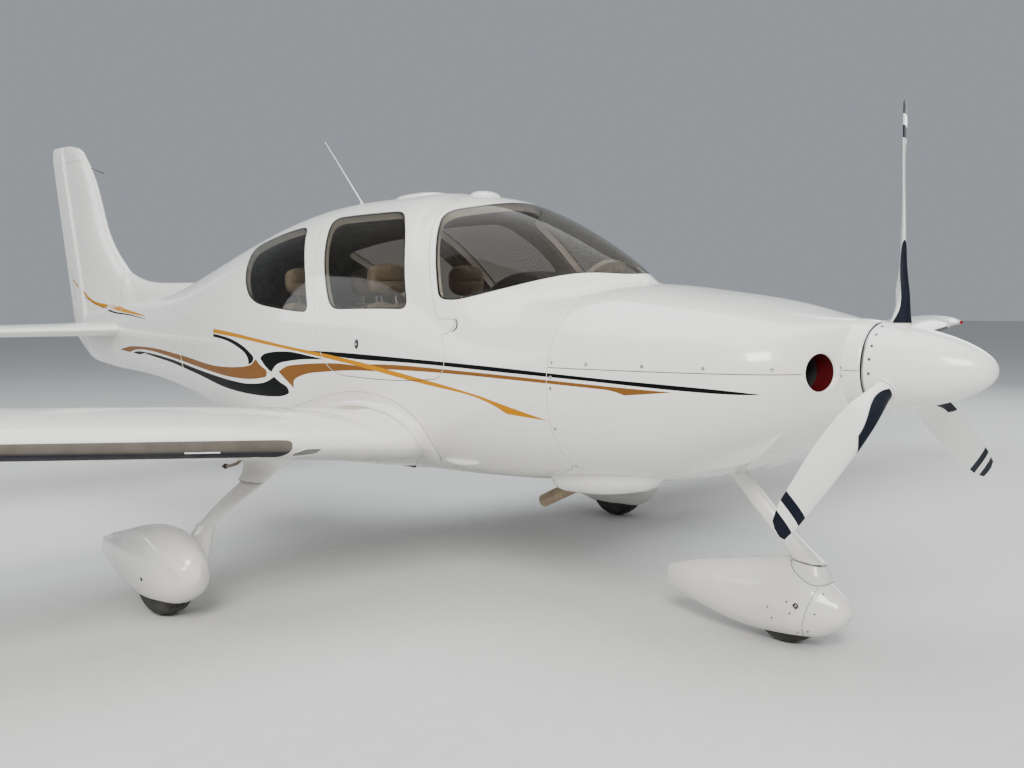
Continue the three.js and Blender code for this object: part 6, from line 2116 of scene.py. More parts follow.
@dataclass
class TailSkin(SideSkin):
    """Tail cone, dorsal ridge and fin as one half width over the side view; the parameters are x and z.

    The half width is the largest of the fuselage section, the ridge's ellipse and the fin's thickness, with
    a soft crease where two of them meet.

    Attributes:
        fin: Rows of z, leading edge x and half thickness.
        ridge: Rows of x, half width and height of its top.
        ridge_ends: x where the ridge ends and starts.
        front: x where the cabin's skin ends.
        blend: Reach of the soft crease.
        crown: Height of the fin's top.
        gap: Distance between the fin's rear edge and the rudder's nose.
    """

    fin: Sequence[Triple] = (
        (1.15, -2.42, 0.062), (1.5, -2.45, 0.06), (1.64, -2.63, 0.056), (1.83, -2.87, 0.051), (2.23, -3.1, 0.042),
        (2.49, -3.26, 0.036), (2.6, -3.36, 0.03), (2.665, -3.5, 0.024), (2.69, -3.64, 0.02),
    )
    ridge: Sequence[Triple] = (
        (-1.5, 0.025, 1.54), (-1.87, 0.048, 1.545), (-2.3, 0.058, 1.56), (-2.48, 0.056, 1.592), (-2.64, 0.05, 1.644),
    )
    ridge_ends: Pair = (-2.66, -1.5)
    front: float = -1.0
    blend: float = 0.05
    crown: float = 2.69
    gap: float = 0.007

    def __post_init__(self) -> None:
        """Puts a spline through each column."""
        fin, ridge = np.asarray(self.fin), np.asarray(self.ridge)
        self.lead, self.half = column_splines(fin, (1, 2))
        self.ridge_half, self.ridge_top = column_splines(ridge, (1, 2))

    def aft(self, z: Array) -> Array:
        """x of the edge behind which the rudder turns."""
        return rudder_hinge(z) + rudder_row(z, 1) + self.gap

    def width(self, x: Array, z: Array) -> Array:
        """Half width at a point of the side view, zero outside it."""
        x, z = np.broadcast_arrays(np.asarray(x, float), np.asarray(z, float))
        centre = SKIN.centre(x)
        up = z > centre
        high = np.where(up, SKIN.deck(x) - centre, centre - SKIN.belly(x))
        power = np.where(up, SKIN.upper(x), SKIN.lower(x))
        body = SKIN.width(x) * np.maximum(1 - np.abs((z - centre) / high) ** power, 0) ** (1 / power)
        top = self.ridge_top(x)
        base = SKIN.deck(x) - 0.09
        share = (z - (top + base) / 2) / ((top - base) / 2)
        ridge = self.ridge_half(x) * np.sqrt(np.maximum(1 - share**2, 0)) * self.on_ridge(x)
        u = (self.lead(z) - x) / (self.lead(z) - self.aft(z))
        nose = np.sqrt(np.maximum(1 - (np.maximum(0.34 - u, 0) / 0.34) ** 2, 0))
        behind = 1 - 0.45 * (np.clip(u - 0.34, 0, 1) / 0.66) ** 1.6
        cap = np.sqrt(np.clip(1 - np.clip((z - self.crown + 0.035) / 0.035, 0, 1) ** 2, 0, 1))
        fin = self.half(z) * nose * behind * cap * (u > 0) * (z > 1.2)
        return self.soft(self.soft(fin, ridge), body)

    def on_ridge(self, x: Array) -> Array:
        """Whether the ridge reaches over x."""
        return (x < self.ridge_ends[1]) & (x > self.ridge_ends[0])

    def soft(self, a: Array, b: Array) -> Array:
        """The larger of two, plus a quarter of the reach times the square of their nearness."""
        reach = np.minimum(self.blend, np.minimum(a, b)) + 1e-9
        return np.maximum(a, b) + np.maximum(1 - np.abs(a - b) / reach, 0) ** 2 * reach / 4

    def top(self, x: Array) -> Array:
        """Height of the crest at x."""
        z = np.linspace(1.5, self.crown, 400)
        fin = np.interp(-x, -self.lead(z), z, left=0.0)
        return np.maximum(np.maximum(SKIN.deck(x), np.where(self.on_ridge(x), self.ridge_top(x), 0)), fin)

    def along(self, share: float, z: Array) -> Array:
        """x at a share of the way from the cabin's skin to the rudder's edge, by height."""
        return self.front + (self.aft(z) - self.front) * share

    def shell(self, rows: int = 90, half_ring: int = 91) -> Mesh:
        """Tail skin: rings whose x slides with height so that the last one follows the rudder's edge.

        Each ring is sampled evenly along its own profile from the belly to the crest and mirrored; the first
        one has the angles of the cabin skin's edge, and the stern is closed a little way in.
        """
        rings = []
        angle = np.radians(-90 + 2.0 * np.arange(half_ring))
        shares = np.concatenate([np.linspace(0, 0.62, rows // 2, endpoint=False), np.linspace(0.62, 1, rows // 2)])
        for share in shares:
            if share == 0:
                profile = SKIN.polar(self.front, angle)
            else:
                low, high = 0.8, 1.5
                for _ in range(24):
                    low = 0.5 * low + 0.5 * float(SKIN.belly(self.along(share, low)))
                    high = 0.4 * high + 0.6 * float(self.top(np.array(self.along(share, high))))
                z = (low + high) / 2 - (high - low) / 2 * np.cos(np.linspace(0, math.pi, 900))
                x = self.along(share, z)
                fine = np.stack([x, self.width(x, z), z], -1)
                fine[[0, -1], 1] = 0
                profile = even_path(fine, half_ring, closed=False)
            other = profile[-2:0:-1] * [1, -1, 1]
            rings.append(np.vstack([profile, other]))
        stern = rings[-1]
        for scale, ahead in ((0.93, 0.0), (0.9, 0.004), (0.86, 0.045)):
            rings.append(stern * [1, scale, 1] + [ahead, 0, 0])
        mesh = tube_mesh(np.stack(rings), caps=False)
        count = 2 * half_ring - 2
        mesh.paint[-count:] = [1] * count
        k = np.arange(half_ring - 1)
        for start, flip in ((0, False), ((len(rings) - 1) * count, True)):
            other = (count - k) % count
            faces = np.stack([start + k, start + k + 1, start + (count - k - 1) % count, start + other], -1)
            mesh.faces += (faces[:, ::-1] if flip else faces).tolist()
            mesh.paint += [1] * len(faces)
        return mesh


class RudderSkin(SideSkin):
    """Rudder side: half width from the hinge to the trailing edge, rounded ahead of the hinge."""

    def width(self, x: Array, z: Array) -> Array:
        """Half width: a quarter circle ahead of the hinge, then a fair taper to the trailing edge."""
        half, back, hinge = rudder_row(z, 1), rudder_row(z, 2), rudder_hinge(z)
        u = np.clip((hinge - x) / (hinge - back), 0, 1)
        ahead = np.clip((x - hinge) / half, 0, 1)
        return np.where(x > hinge, half * np.sqrt(1 - ahead**2), 0.003 + (half - 0.003) * (1 - u**1.15))

    def shell(self) -> Mesh:
        """Rudder: level rings from its foot to its cap, the ends drawn in over a few millimetres."""
        z = np.concatenate([[0.966, 0.968, 0.975], np.linspace(0.985, 2.64, 60), [2.66, 2.675, 2.684, 2.688, 2.6898]])
        ends = np.clip(np.minimum((z - 0.962) / 0.02, (2.691 - z) / 0.02), 0, 1)
        scale = np.sqrt(1 - (1 - ends) ** 2)
        rings = []
        for height, size in zip(z, scale):
            half, back, hinge = rudder_row(height, 1), rudder_row(height, 2), rudder_hinge(height)
            nose = hinge + half * np.cos(np.linspace(0, math.pi / 2, 10))
            x = np.concatenate([nose, np.linspace(hinge, back, 14)[1:]])
            y = self.width(x, np.full(len(x), height)) * size
            y[0] = 0
            side = np.stack([x, y, np.full(len(x), height)], -1)
            rings.append(np.vstack([side, side[:0:-1] * [1, -1, 1]]))
        return tube_mesh(np.stack(rings))


TAIL, RUDDER = TailSkin(), RudderSkin()
STABILIZER = Foil(
    (
        (0.0, -2.3424, 1.205, 0.96, 0.11, 0.0), (1.7, -2.5404, 1.205, 0.66, 0.11, 0.0),
        (1.9, -2.6064, 1.205, 0.56, 0.1, 0.0), (1.96, -2.712, 1.205, 0.4, 0.07, 0.0),
    ),
    0.0,
    1.7,
)


@dataclass
class Tail:
    """Tail cone with fin, rudder, stabiliser and elevators.

    Attributes:
        elevator: Control surface of the stabiliser.
        ribbons: Painted ribbons: tone, middle line as x, z and half width, on the tail or on the rudder.
        tab: Corners of the rudder's trim tab in x and z.
        cap: Ends of the fin cap's seam in x, and its height.
    """

    elevator: Control = field(default_factory=lambda: Control(0.215, 1.88, 0.66, 0.0))
    ribbons: Sequence = (
        (Tone.GOLD, ((-3.41, 1.497, 0.011), (-3.29, 1.44, 0.012), (-2.92, 1.376, 0.014), (-2.3, 1.338, 0.01),
                     (-1.85, 1.31, 0.0025)), False),
        (Tone.GOLD, ((-3.62, 1.6, 0.004), (-3.56, 1.571, 0.008), (-3.475, 1.528, 0.01)), True),
        (
            Tone.BLACK,
            ((-3.38, 1.449, 0.002), (-2.93, 1.355, 0.005), (-2.3, 1.318, 0.004), (-1.82, 1.29, 0.0015)), False,
        ),
    )
    tab: Sequence[Pair] = ((-3.735, 1.66), (-3.635, 1.66), (-3.57, 1.44), (-3.682, 1.44))
    cap: Triple = (-3.329, -3.66, 2.55)

    def ribbon(self, middle: Sequence[Triple], rudder: bool) -> Mesh:
        """Painted ribbon as a thin piece of the skin; its edges lie a half width off a spline."""
        table = np.asarray(middle)
        x = np.linspace(table[0, 0], table[-1, 0], 60)
        z, half = (spline(x) for spline in column_splines(table, (1, 2)))
        outer = np.vstack([np.column_stack([x, z + half]), np.column_stack([x, z - half])[::-1]])
        surface = RUDDER if rudder else TAIL
        return Patch(surface, outer, spacing=0.02, depth=0.001, lift=0.0009, lip=0).build()

    def stripes(self) -> Mesh:
        """The fuselage's own stripes where they run aft of the cabin's skin, and the tail's ribbons."""
        mesh = Mesh()
        for stripe in STRIPES[:2]:
            outer = even_path(stripe.side_view, 1600)
            outer = spaced(outer[outer[:, 0] < TAIL.front], 0.015)
            mesh.join(Patch(TAIL, outer, spacing=0.02, depth=0.001, lift=0.0008, lip=0).build(stripe.tone.value))
        for tone, middle, rudder in self.ribbons:
            if not rudder:
                painted = self.ribbon(middle, rudder)
                painted.paint = [tone.value] * len(painted.paint)
                mesh.join(painted)
        return mesh

    def seams(self) -> Mesh:
        """Fin cap's seam on the port side."""
        x = np.linspace(self.cap[0], self.cap[1], 20)
        return seam_line(TAIL.at(x, np.full(len(x), self.cap[2])))

    def build(self) -> None:
        """Makes the tail cone with its fin, the rudder, the stabiliser and the elevators."""
        white = (Paint.WHITE,)
        lined = (Paint.WHITE, Paint.DARK)
        make_object("tail_skin", TAIL.shell(), lined, "airframe", "airframe_paint", ["tail_cone"])
        make_object("rudder_skin", RUDDER.shell(), white, "rudder", "airframe_paint", ["rudder"])
        split = SplitFoil(STABILIZER, (self.elevator,))
        stations = [0.0, 0.1, 1.89, 1.9, 1.91, 1.92, 1.93, 1.94, 1.945, 1.95, 1.955, 1.958, 1.9598]
        port = split.fixed(stations)
        both = port.join(port.mirrored())
        make_object("stabilizer_skin", both, white, "airframe", "airframe_paint", ["stabilizer"])
        elevator = split.moving(self.elevator)
        stripes = self.stripes()
        gold = self.ribbon(self.ribbons[1][1], True)
        tab = even_path(np.asarray(self.tab), 60, closed=False)
        tab_line = seam_line(RUDDER.at(tab[:, 0], tab[:, 1]))
        make_pairs(
            ("elevator_skin_{}", elevator, white, "elevator", "airframe_paint", ["elevator_{}"]),
            ("tail_stripes_{}", stripes, PAINTS, "airframe", "airframe_paint"),
            ("rudder_ribbon_{}", gold, (Paint.GOLD,), "rudder", "airframe_paint"),
            ("trim_tab_seam_{}", tab_line, (Paint.SEAL,), "rudder", "panel_black"),
            ("fin_cap_seam_{}", self.seams(), (Paint.SEAL,), "airframe", "panel_black"),
        )
        tube = [(-0.2125, 0.001), (-0.2125, 0.0215), (0.2125, 0.0215), (0.2125, 0.001)]
        steel = (Paint.STEEL,)
        spar = lathe(tube, (-2.976, 0, 1.205), Y_AXIS, 24)
        make_object("elevator_spar", spar, steel, "elevator", "gear_steel", ["elevator_tube"])


def bars(rows: Sequence[Sequence[float]], sides: int = 32, power: float = 2.4, count: int = 40) -> Array:
    """Rings of a bar that is symmetric about y = 0.

    Each row gives the front point and the rear point, both as x and z, and the half width; a spline along
    the rows fills in between, and the ring is a superellipse on those two half axes.
    """
    table = np.asarray(rows, float)
    length = np.concatenate([[0], np.cumsum(np.hypot(*np.diff(table[:, :2] + table[:, 2:4], axis=0).T))])
    places = np.unique(np.concatenate([np.linspace(0, length[-1], count), length]))
    front_x, front_z, rear_x, rear_z, half = (natural_spline(length, table[:, k])(places) for k in range(5))
    zero = np.zeros(len(places))
    centre = np.column_stack([front_x + rear_x, zero, front_z + rear_z]) / 2
    first = np.column_stack([front_x - rear_x, zero, front_z - rear_z]) / 2
    return ellipse_ring(centre, first, np.column_stack([zero, half, zero]), sides, power)


@dataclass
class Pod(Surface):
    """Wheel fairing as superellipse sections along x; the parameters are x and the angle from port to top.

    Attributes:
        rows: Sections: x, half width, bottom and top.
        middle: y of its middle plane.
        waist: Share of the height at which it is widest.
        power: Exponents above and below the widest line.
        slot: Wheel opening: x of its middle, half length and half width.
        crest: Ridge on the outer flank: height, and rows of x and angle in degrees.
        depth: Thickness of the wall.
    """

    rows: Sequence[Sequence[float]]
    middle: float
    waist: float
    power: Pair
    slot: Triple
    crest: tuple = (0.0, ((0.0, 60.0), (1.0, 60.0)))
    depth: float = 0.0035

    def __post_init__(self) -> None:
        """Puts a spline through each column."""
        table = np.asarray(self.rows, float)
        self.width, self.bottom, self.top = column_splines(table, (1, 2, 3))
        self.ends = float(table[:, 0].min()), float(table[:, 0].max())

    def at(self, s: Array, v: Array, inset: float = 0.0) -> Array:
        """Points by x and angle: half axes times the cosine and sine to two over the power."""
        s, v = np.broadcast_arrays(np.asarray(s, float), np.asarray(v, float))
        bottom, top = self.bottom(s), self.top(s)
        middle = bottom + (top - bottom) * self.waist
        up = np.sin(v) >= 0
        power = np.where(up, *self.power)
        half, high = self.width(s) - inset, np.where(up, top - middle, middle - bottom) - inset
        height, line = self.crest
        place = np.interp(s, *np.asarray(line, float).T)
        ridge = height * np.exp(-(((v - np.radians(place)) / 0.16) ** 2)) * smoothstep(0, 0.05, self.width(s) - 0.03)
        scale = 1 + ridge / np.maximum(half, 0.02)
        y = half * scale * np.sign(np.cos(v)) * np.abs(np.cos(v)) ** (2 / power)
        z = high * scale * np.sign(np.sin(v)) * np.abs(np.sin(v)) ** (2 / power)
        return np.stack([s, self.middle + y, middle + z], -1)

    def outwards(self, s: Array, v: Array) -> Array:
        """Direction of the angle."""
        return np.stack([np.zeros_like(v), np.cos(v), np.sin(v)], -1)

    def roof(self, x: Array, y: Array) -> Array:
        """Height of the upper skin over a point of the plan."""
        bottom, top = self.bottom(x), self.top(x)
        middle = bottom + (top - bottom) * self.waist
        share = np.clip(np.abs(y - self.middle) / self.width(x), 0, 1)
        return middle + (top - middle) * (1 - share ** self.power[0]) ** (1 / self.power[0])

    def angle_of(self, x: Array, z: Array) -> Array:
        """Port-side angle of the point that has a height, from the section's formula."""
        bottom, top = self.bottom(x), self.top(x)
        middle = bottom + (top - bottom) * self.waist
        high = np.where(z >= middle, top - middle, middle - bottom)
        power = np.where(z >= middle, *self.power)
        return np.arcsin(np.clip(np.abs((z - middle) / high), 0, 1) ** (power / 2)) * np.sign(z - middle)

    def shell(self, stations: int = 84, columns: int = 65) -> Mesh:
        """Wall of the fairing, open round the wheel.

        Each ring runs from one edge of the opening over the top to the other; the edge's angle is the one
        whose half width equals the opening's, a superellipse in plan, and half a turn down elsewhere.
        """
        low, high = self.ends
        x = low + (high - low) * (1 - np.cos(np.linspace(0, math.pi, stations))) / 2
        centre, length, half = self.slot
        open_ = half * np.sqrt(np.maximum(1 - np.abs((x - centre) / length) ** 4, 0))
        ratio = np.clip(open_ / self.width(x), 0, 0.98)
        start = -np.arccos(ratio ** (self.power[1] / 2))
        share = np.linspace(0, 1, columns)[None]
        angle = start[:, None] + (math.pi - 2 * start[:, None]) * share
        grid = self.at(np.broadcast_to(x[:, None], angle.shape), angle)
        ends = []
        for row, shift in ((0, -0.003), (-1, 0.003)):
            mean = grid[row].mean(axis=0)
            ends.append(mean + (grid[row] - mean) * 0.05 + [shift, 0, 0])
        return slab(np.vstack([ends[0][None], grid, ends[1][None]]), -self.depth)


@dataclass
class Wheel:
    """Tyre and rim turned about a level axis.

    Attributes:
        centre: Centre of the wheel.
        radius: Outer radius.
        half: Half of the tyre's width.
        rim: Radius of the rim's seat.
        grooves: Places of the tread's grooves as shares of the half width.
    """

    centre: Triple
    radius: float
    half: float
    rim: float
    grooves: Sequence[float] = (-0.36, 0.0, 0.36)

    def tyre(self) -> Mesh:
        """Tyre: sidewall arcs and a crown that drops with the square of the distance, cut by grooves."""
        side = [(0.62, self.rim + 0.004, 0.002), (0.8, self.rim + 0.006, 0.004), (0.97, self.rim + 0.026, 0.02),
                (1.0, self.radius - 0.056, 0.03), (0.88, self.radius - 0.022, 0.02), (0.6, self.radius - 0.008, 0.01)]
        flank = rounded_profile([(share * self.half, size, reach) for share, size, reach in side])
        tread = []
        for place in self.grooves:
            middle = place * self.half
            crown = self.radius - 0.008 * (place / 0.6) ** 2
            tread += [(middle - 0.0022, crown), (middle - 0.0016, crown - 0.003),
                      (middle + 0.0016, crown - 0.003), (middle + 0.0022, crown)]
        other = flank * [-1, 1]
        return ring_lathe(np.vstack([other, tread, flank[::-1]]), self.centre, Y_AXIS, 96)

    def wheel(self) -> Mesh:
        """Rim: flanges, a dished disc with a raised hub on both sides, and six bolts a side."""
        h = self.half
        rows = [(0.62 * h, self.rim + 0.0036), (0.66 * h, self.rim + 0.012), (0.7 * h, self.rim + 0.012),
                (0.71 * h, self.rim - 0.004), (0.5 * h, self.rim - 0.012), (0.42 * h, self.rim - 0.018),
                (0.4 * h, 0.05), (0.5 * h, 0.042), (0.8 * h, 0.036), (0.86 * h, 0.034), (0.86 * h, 0.0165)]
        port = rounded_profile([(a, b, 0.003) for a, b in rows], 4)
        body = ring_lathe(np.vstack([port, (port * [-1, 1])[::-1]]), self.centre, Y_AXIS, 64)
        for sign in (1, -1):
            for turn in np.arange(6) * math.pi / 3:
                out = np.array([math.cos(turn), 0, math.sin(turn)]) * (self.rim * 0.5 + 0.024)
                place = np.asarray(self.centre) + out + [0, sign * 0.39 * h, 0]
                body.join(lathe([(0, 0.0045), (0.004, 0.0045), (0.006, 0.003)], place, (0, sign, 0), 6))
        return body


@dataclass
class Gear:
    """Main legs and nose leg, their fairings, wheels, fork and axles.

    Attributes:
        main: Main fairing on the port side.
        nose: Nose fairing.
        main_wheel: Main wheel on the port side.
        nose_wheel: Nose wheel.
        leg: Main leg's level sections: x, y, z, half depth and half thickness.
        collar: Flared cuff under the wing, in the same columns.
        socket: Cuff where the leg enters the fairing, in the same columns.
        strut: Nose leg's front and rear points as x and z, and its half width.
        skirt: Lower cuff, which turns with the nose fairing, in the same columns.
        pivot: x of the nose gear's upright axis.
        cone: Height of the gap between leg and skirt at that axis, its rise per metre and half its width.
        tow_pin: x and z of the nose fairing's tow-pin holes.
        axle_hole: x and z of the hole in the main fairing's flank, drawn as a black plug of painted shade.
    """

    main: Pod = field(
        default_factory=lambda: Pod(
            ((0.288, 0.02, 0.176, 0.27), (0.405, 0.056, 0.154, 0.303), (0.564, 0.093, 0.115, 0.347),
             (0.741, 0.12, 0.067, 0.39), (0.9, 0.126, 0.055, 0.408), (1.033, 0.114, 0.074, 0.39),
             (1.131, 0.084, 0.118, 0.345), (1.184, 0.044, 0.175, 0.295), (1.202, 0.01, 0.215, 0.262)),
            1.607, 0.46, (2.1, 2.3), (0.882, 0.172, 0.087),
            (0.01, ((0.4, 60.0), (0.7, 55.0), (0.9, 46.0), (1.05, 30.0), (1.15, 14.0))),
        )
    )
    nose: Pod = field(
        default_factory=lambda: Pod(
            ((2.52, 0.015, 0.118, 0.222), (2.6, 0.052, 0.104, 0.25), (2.73, 0.09, 0.075, 0.283),
             (2.9, 0.121, 0.041, 0.317), (3.05, 0.131, 0.031, 0.347), (3.13, 0.13, 0.032, 0.356),
             (3.2, 0.124, 0.036, 0.342), (3.26, 0.112, 0.046, 0.314), (3.32, 0.09, 0.067, 0.28),
             (3.37, 0.062, 0.1, 0.24), (3.402, 0.034, 0.134, 0.206), (3.414, 0.012, 0.158, 0.182)),
            0.0, 0.46, (1.85, 2.3), (3.13, 0.142, 0.071),
        )
    )
    main_wheel: Wheel = field(default_factory=lambda: Wheel(
        (0.882, 1.607, 0.193), 0.193, 0.075, 0.078, (-0.5, -0.17, 0.17, 0.5),
    ))
    nose_wheel: Wheel = field(default_factory=lambda: Wheel((3.13, 0.0, 0.172), 0.172, 0.063, 0.066))
    leg: Sequence[Sequence[float]] = (
        (1.04, 1.12, 0.7, 0.105, 0.026), (1.035, 1.17, 0.63, 0.098, 0.025), (1.005, 1.33, 0.5, 0.072, 0.022),
        (0.95, 1.44, 0.38, 0.056, 0.019), (0.9, 1.49, 0.27, 0.046, 0.016), (0.884, 1.5, 0.16, 0.04, 0.014),
    )
    collar: Sequence[Sequence[float]] = (
        (1.01, 1.07, 0.745, 0.25, 0.14), (1.0, 1.105, 0.705, 0.222, 0.1), (0.995, 1.135, 0.672, 0.19, 0.07), (
            1.007, 1.165, 0.64, 0.148, 0.046,
        ),
        (1.018, 1.2, 0.608, 0.115, 0.036), (1.022, 1.232, 0.58, 0.097, 0.034),
    )
    socket: Sequence[Sequence[float]] = (
        (0.953, 1.434, 0.391, 0.066, 0.028), (0.945, 1.441, 0.365, 0.07, 0.033), (0.932, 1.45, 0.33, 0.08, 0.041),
        (0.915, 1.46, 0.285, 0.096, 0.05), (0.9, 1.468, 0.235, 0.11, 0.047),
    )
    strut: Sequence[Sequence[float]] = (
        (2.66, 0.95, 2.6, 0.89, 0.026), (2.8, 0.808, 2.748, 0.756, 0.027), (2.94, 0.667, 2.892, 0.619, 0.028),
        (3.085, 0.525, 3.032, 0.472, 0.03), (3.18, 0.436, 3.126, 0.386, 0.036), (3.25, 0.382, 3.146, 0.3705, 0.046),
        (3.296, 0.348, 3.152, 0.3622, 0.053),
    )
    skirt: Sequence[Sequence[float]] = ((3.3, 0.339, 3.147, 0.3555, 0.055), (3.318, 0.3, 3.156, 0.34, 0.064))
    pivot: float = 3.282
    cone: Triple = (0.34, 0.14, 0.003)
    tow_pin: Pair = (3.232, 0.189)
    axle_hole: Pair = (0.905, 0.184)

    def blade(self, rows: Sequence[Sequence[float]], count: int = 60, sides: int = 40) -> Mesh:
        """Loft of level elliptic sections whose sizes follow splines down the leg."""
        table = np.asarray(rows, float)
        share = run_lengths(table[:, :3])
        places = np.unique(np.concatenate([np.linspace(0, share[-1], count), share]))
        x, y, z, deep, thick = (natural_spline(share, table[:, k])(places) for k in range(5))
        zero = np.zeros(len(places))
        across, aside = np.column_stack([deep, zero, zero]), np.column_stack([zero, thick, zero])
        return tube_mesh(ellipse_ring(np.column_stack([x, y, z]), across, aside, sides))

    def sleeve(self) -> Mesh:
        """Strip of tape round the main leg's rear edge: half a section, a little larger, at two heights."""
        table = np.asarray(self.leg)[::-1]
        z = np.linspace(0.398, 0.43, 5)
        x, y, deep, thick = (np.interp(z, table[:, 2], table[:, k])[:, None] for k in (0, 1, 3, 4))
        angle = np.radians(np.linspace(92, 268, 30))[None]
        grid = [x + (deep + 0.0014) * np.cos(angle), y + (thick + 0.0014) * np.sin(angle), z[:, None] + 0 * angle]
        return slab(np.stack(grid, -1), 0.001)

    def drain(self) -> Mesh:
        """Drain pipe behind the leg under the wing, with a ring near its end."""
        pipe = path_tube(
            np.array([(1.0, 1.25, 0.695), (0.93, 1.25, 0.654), (0.87, 1.25, 0.637), (0.806, 1.25, 0.628)]), 0.0075,
        )
        ring = lathe(
            [(0, 0.0076), (0.0, 0.0125), (0.007, 0.0125), (0.007, 0.0076)], (0.825, 1.25, 0.6305), (1, 0, 0.13),
            20, 1,
        )
        return pipe.join(ring)

    def cuff(self) -> Mesh:
        """Skirt over the nose fairing: from the fairing's roof up to the gap, then a lid round the pivot."""
        upper = bars(self.skirt, 64, 2.2, 8)[::-1]
        edge = upper[0].copy()
        middle = edge.mean(axis=0)
        foot = middle + (edge - middle) * [1.06, 1.13, 1.0]
        rings = []
        for share in np.linspace(0, 1, 7)[:-1]:
            plan = foot + (edge - foot) * share
            roof = self.nose.roof(plan[:, 0], plan[:, 1]) - 0.001
            rings.append(np.column_stack([plan[:, :2], roof + (edge[:, 2] - roof) * share]))
        level, rise, half = self.cone
        rim = upper[-1]
        lids = []
        for scale in (0.97, 0.8, 0.5, 0.3):
            plan = (rim[:, :2] - [self.pivot, 0]) * scale + [self.pivot, 0]
            away = np.hypot(plan[:, 0] - self.pivot, plan[:, 1])
            lids.append(np.column_stack([plan, level + rise * away - half]))
        grid = np.stack([*rings, *upper, *lids])
        skirt = slab(np.concatenate([grid, grid[:, :1]], axis=1), -0.0025)
        lower = np.vstack([rings[0], rings[0][:1]]) + [0, 0, 0.0012]
        return skirt.join(path_tube(lower, 0.0014, 6, 1))

    def fork(self) -> Mesh:
        """Fork: a tube bent over the wheel, its arms down to the axle, and the bored pivot boss."""
        half = [
            (3.13, 0.0765, 0.172), (3.2, 0.0765, 0.2), (3.25, 0.076, 0.222), (3.283, 0.066, 0.242),
            (3.29, 0.035, 0.262)
        ]
        path = np.array([*half, (3.29, 0.0, 0.266), *((x, -y, z) for x, y, z in reversed(half))])
        mesh = path_tube(even_path(path, 60, closed=False), 0.0085, 16)
        boss = [(0.262, 0.0136), (0.262, 0.022), (0.3, 0.022), (0.334, 0.019), (0.335, 0.0136)]
        mesh.join(ring_lathe(boss, (self.pivot, 0, 0), Z_AXIS, 32))
        for sign in (1, -1):
            eye = [(0.07, 0.0165), (0.07, 0.024), (0.084, 0.024), (0.084, 0.0165)]
            mesh.join(ring_lathe([(sign * a, b) for a, b in eye], (3.13, 0, 0.172), Y_AXIS, 32))
        return mesh

    def dress_nose(self) -> tuple[Mesh, Mesh, Mesh]:
        """Seams, screws and tow-pin holes of the nose fairing on both sides; each hole has a black disc of painted
        shade inside its rim.
        """
        z = np.linspace(0.262, 0.05, 24)
        x = 3.236 + (z - 0.041) * 0.28
        angle = self.nose.angle_of(x, z)
        seams, screws, holes = Mesh(), Mesh(), Mesh()
        places = np.array([(3.322, 0.243), (3.305, 0.165), (3.27, 0.085), (3.226, 0.075), (3.11, 0.165), (3.127, 0.122),
                           (3.194, 0.2), (3.208, 0.155)])
        spots = self.nose.angle_of(places[:, 0], places[:, 1])
        tow_x, tow_z = self.tow_pin
        for turn in (1, -1):
            around = angle if turn == 1 else math.pi - angle
            seams.join(seam_line(self.nose.at(x, around), 0.0009))
            screws.join(stud_heads(self.nose, places[:, 0], spots if turn == 1 else math.pi - spots, 0.0042))
            port = float(self.nose.angle_of(tow_x, tow_z))
            base, out = self.nose.spot(tow_x, port if turn == 1 else math.pi - port)
            rim = [(-0.006, 0.0128), (0.0012, 0.0128), (0.0018, 0.012), (0.0012, 0.0108), (-0.006, 0.0108)]
            holes.join(ring_lathe(rim, base, out, 32))
            # painted shade: a black disc inside the rim stands for the hole's dark inside
            holes.join(lathe([(-0.006, 0.0108), (0.0004, 0.0108)], base, out, 32, 1))
            holes.join(lathe([(0.0, 0.0055), (0.0014, 0.0055), (0.0022, 0.004)], base, out, 16, 0))
        return seams, screws, holes

    def build(self) -> None:
        """Makes both main gears and the nose gear."""
        white, steel, dark = (Paint.GEAR,), (Paint.STEEL,), (Paint.SEAL,)
        leg, collar, socket = self.blade(self.leg), self.blade(self.collar), self.blade(self.socket)
        pod, tyre, rim = self.main.shell(), self.main_wheel.tyre(), self.main_wheel.wheel()
        base, out = self.main.spot(self.axle_hole[0], float(self.main.angle_of(*self.axle_hole)))
        # painted shade: the hole is a small black plug standing for its dark inside
        hole = lathe([(-0.004, 0.0095), (0.0006, 0.0095), (0.001, 0.008)], base, out, 24)
        table = np.asarray(self.collar)[-1]
        turn = np.linspace(0, 2 * math.pi, 60)
        lip = np.stack(
            [table[0] + table[3] * np.cos(turn), table[1] + table[4] * np.sin(turn), table[2] + 0 * turn], -1,
        )
        rows = [(-0.0925, 0.016), (-0.0925, 0.026), (-0.082, 0.026), (-0.08, 0.016), (0.08, 0.0155), (0.0846, 0.0145)]
        axle = lathe(rows, self.main_wheel.centre, Y_AXIS, 32)
        pipe = (Paint.EXHAUST, Paint.SEAL)
        rubber, cast = (Paint.RUBBER,), (Paint.RIM,)
        make_pairs(
            ("gear_leg_{}", leg, white, "airframe", "airframe_paint", ["main_leg_{}"]),
            ("leg_collar_{}", collar, white, "airframe", "airframe_paint"),
            ("collar_seam_{}", seam_line(lip), dark, "airframe", "panel_black"),
            ("leg_socket_{}", socket, white, "airframe", "airframe_paint", (), 60),
            ("leg_tape_{}", self.sleeve(), (Paint.TAPE,), "airframe", "gear_steel"),
            ("drain_pipe_{}", self.drain(), pipe, "airframe", "exhaust_metal"),
            ("wheel_fairing_{}", pod, white, "airframe", "airframe_paint", ["main_pant_{}"], 70),
            ("fairing_hole_{}", hole, dark, "airframe", "panel_black"),
            ("axle_{}", axle, steel, "airframe", "gear_steel", ["main_axle_{}"]),
            ("tyre_{}", tyre, rubber, "{}_wheel", "tyre_rubber", ["main_tyre_{}"]),
            ("rim_{}", rim, cast, "{}_wheel", "rim_metal", ["main_rim_{}"]),
        )
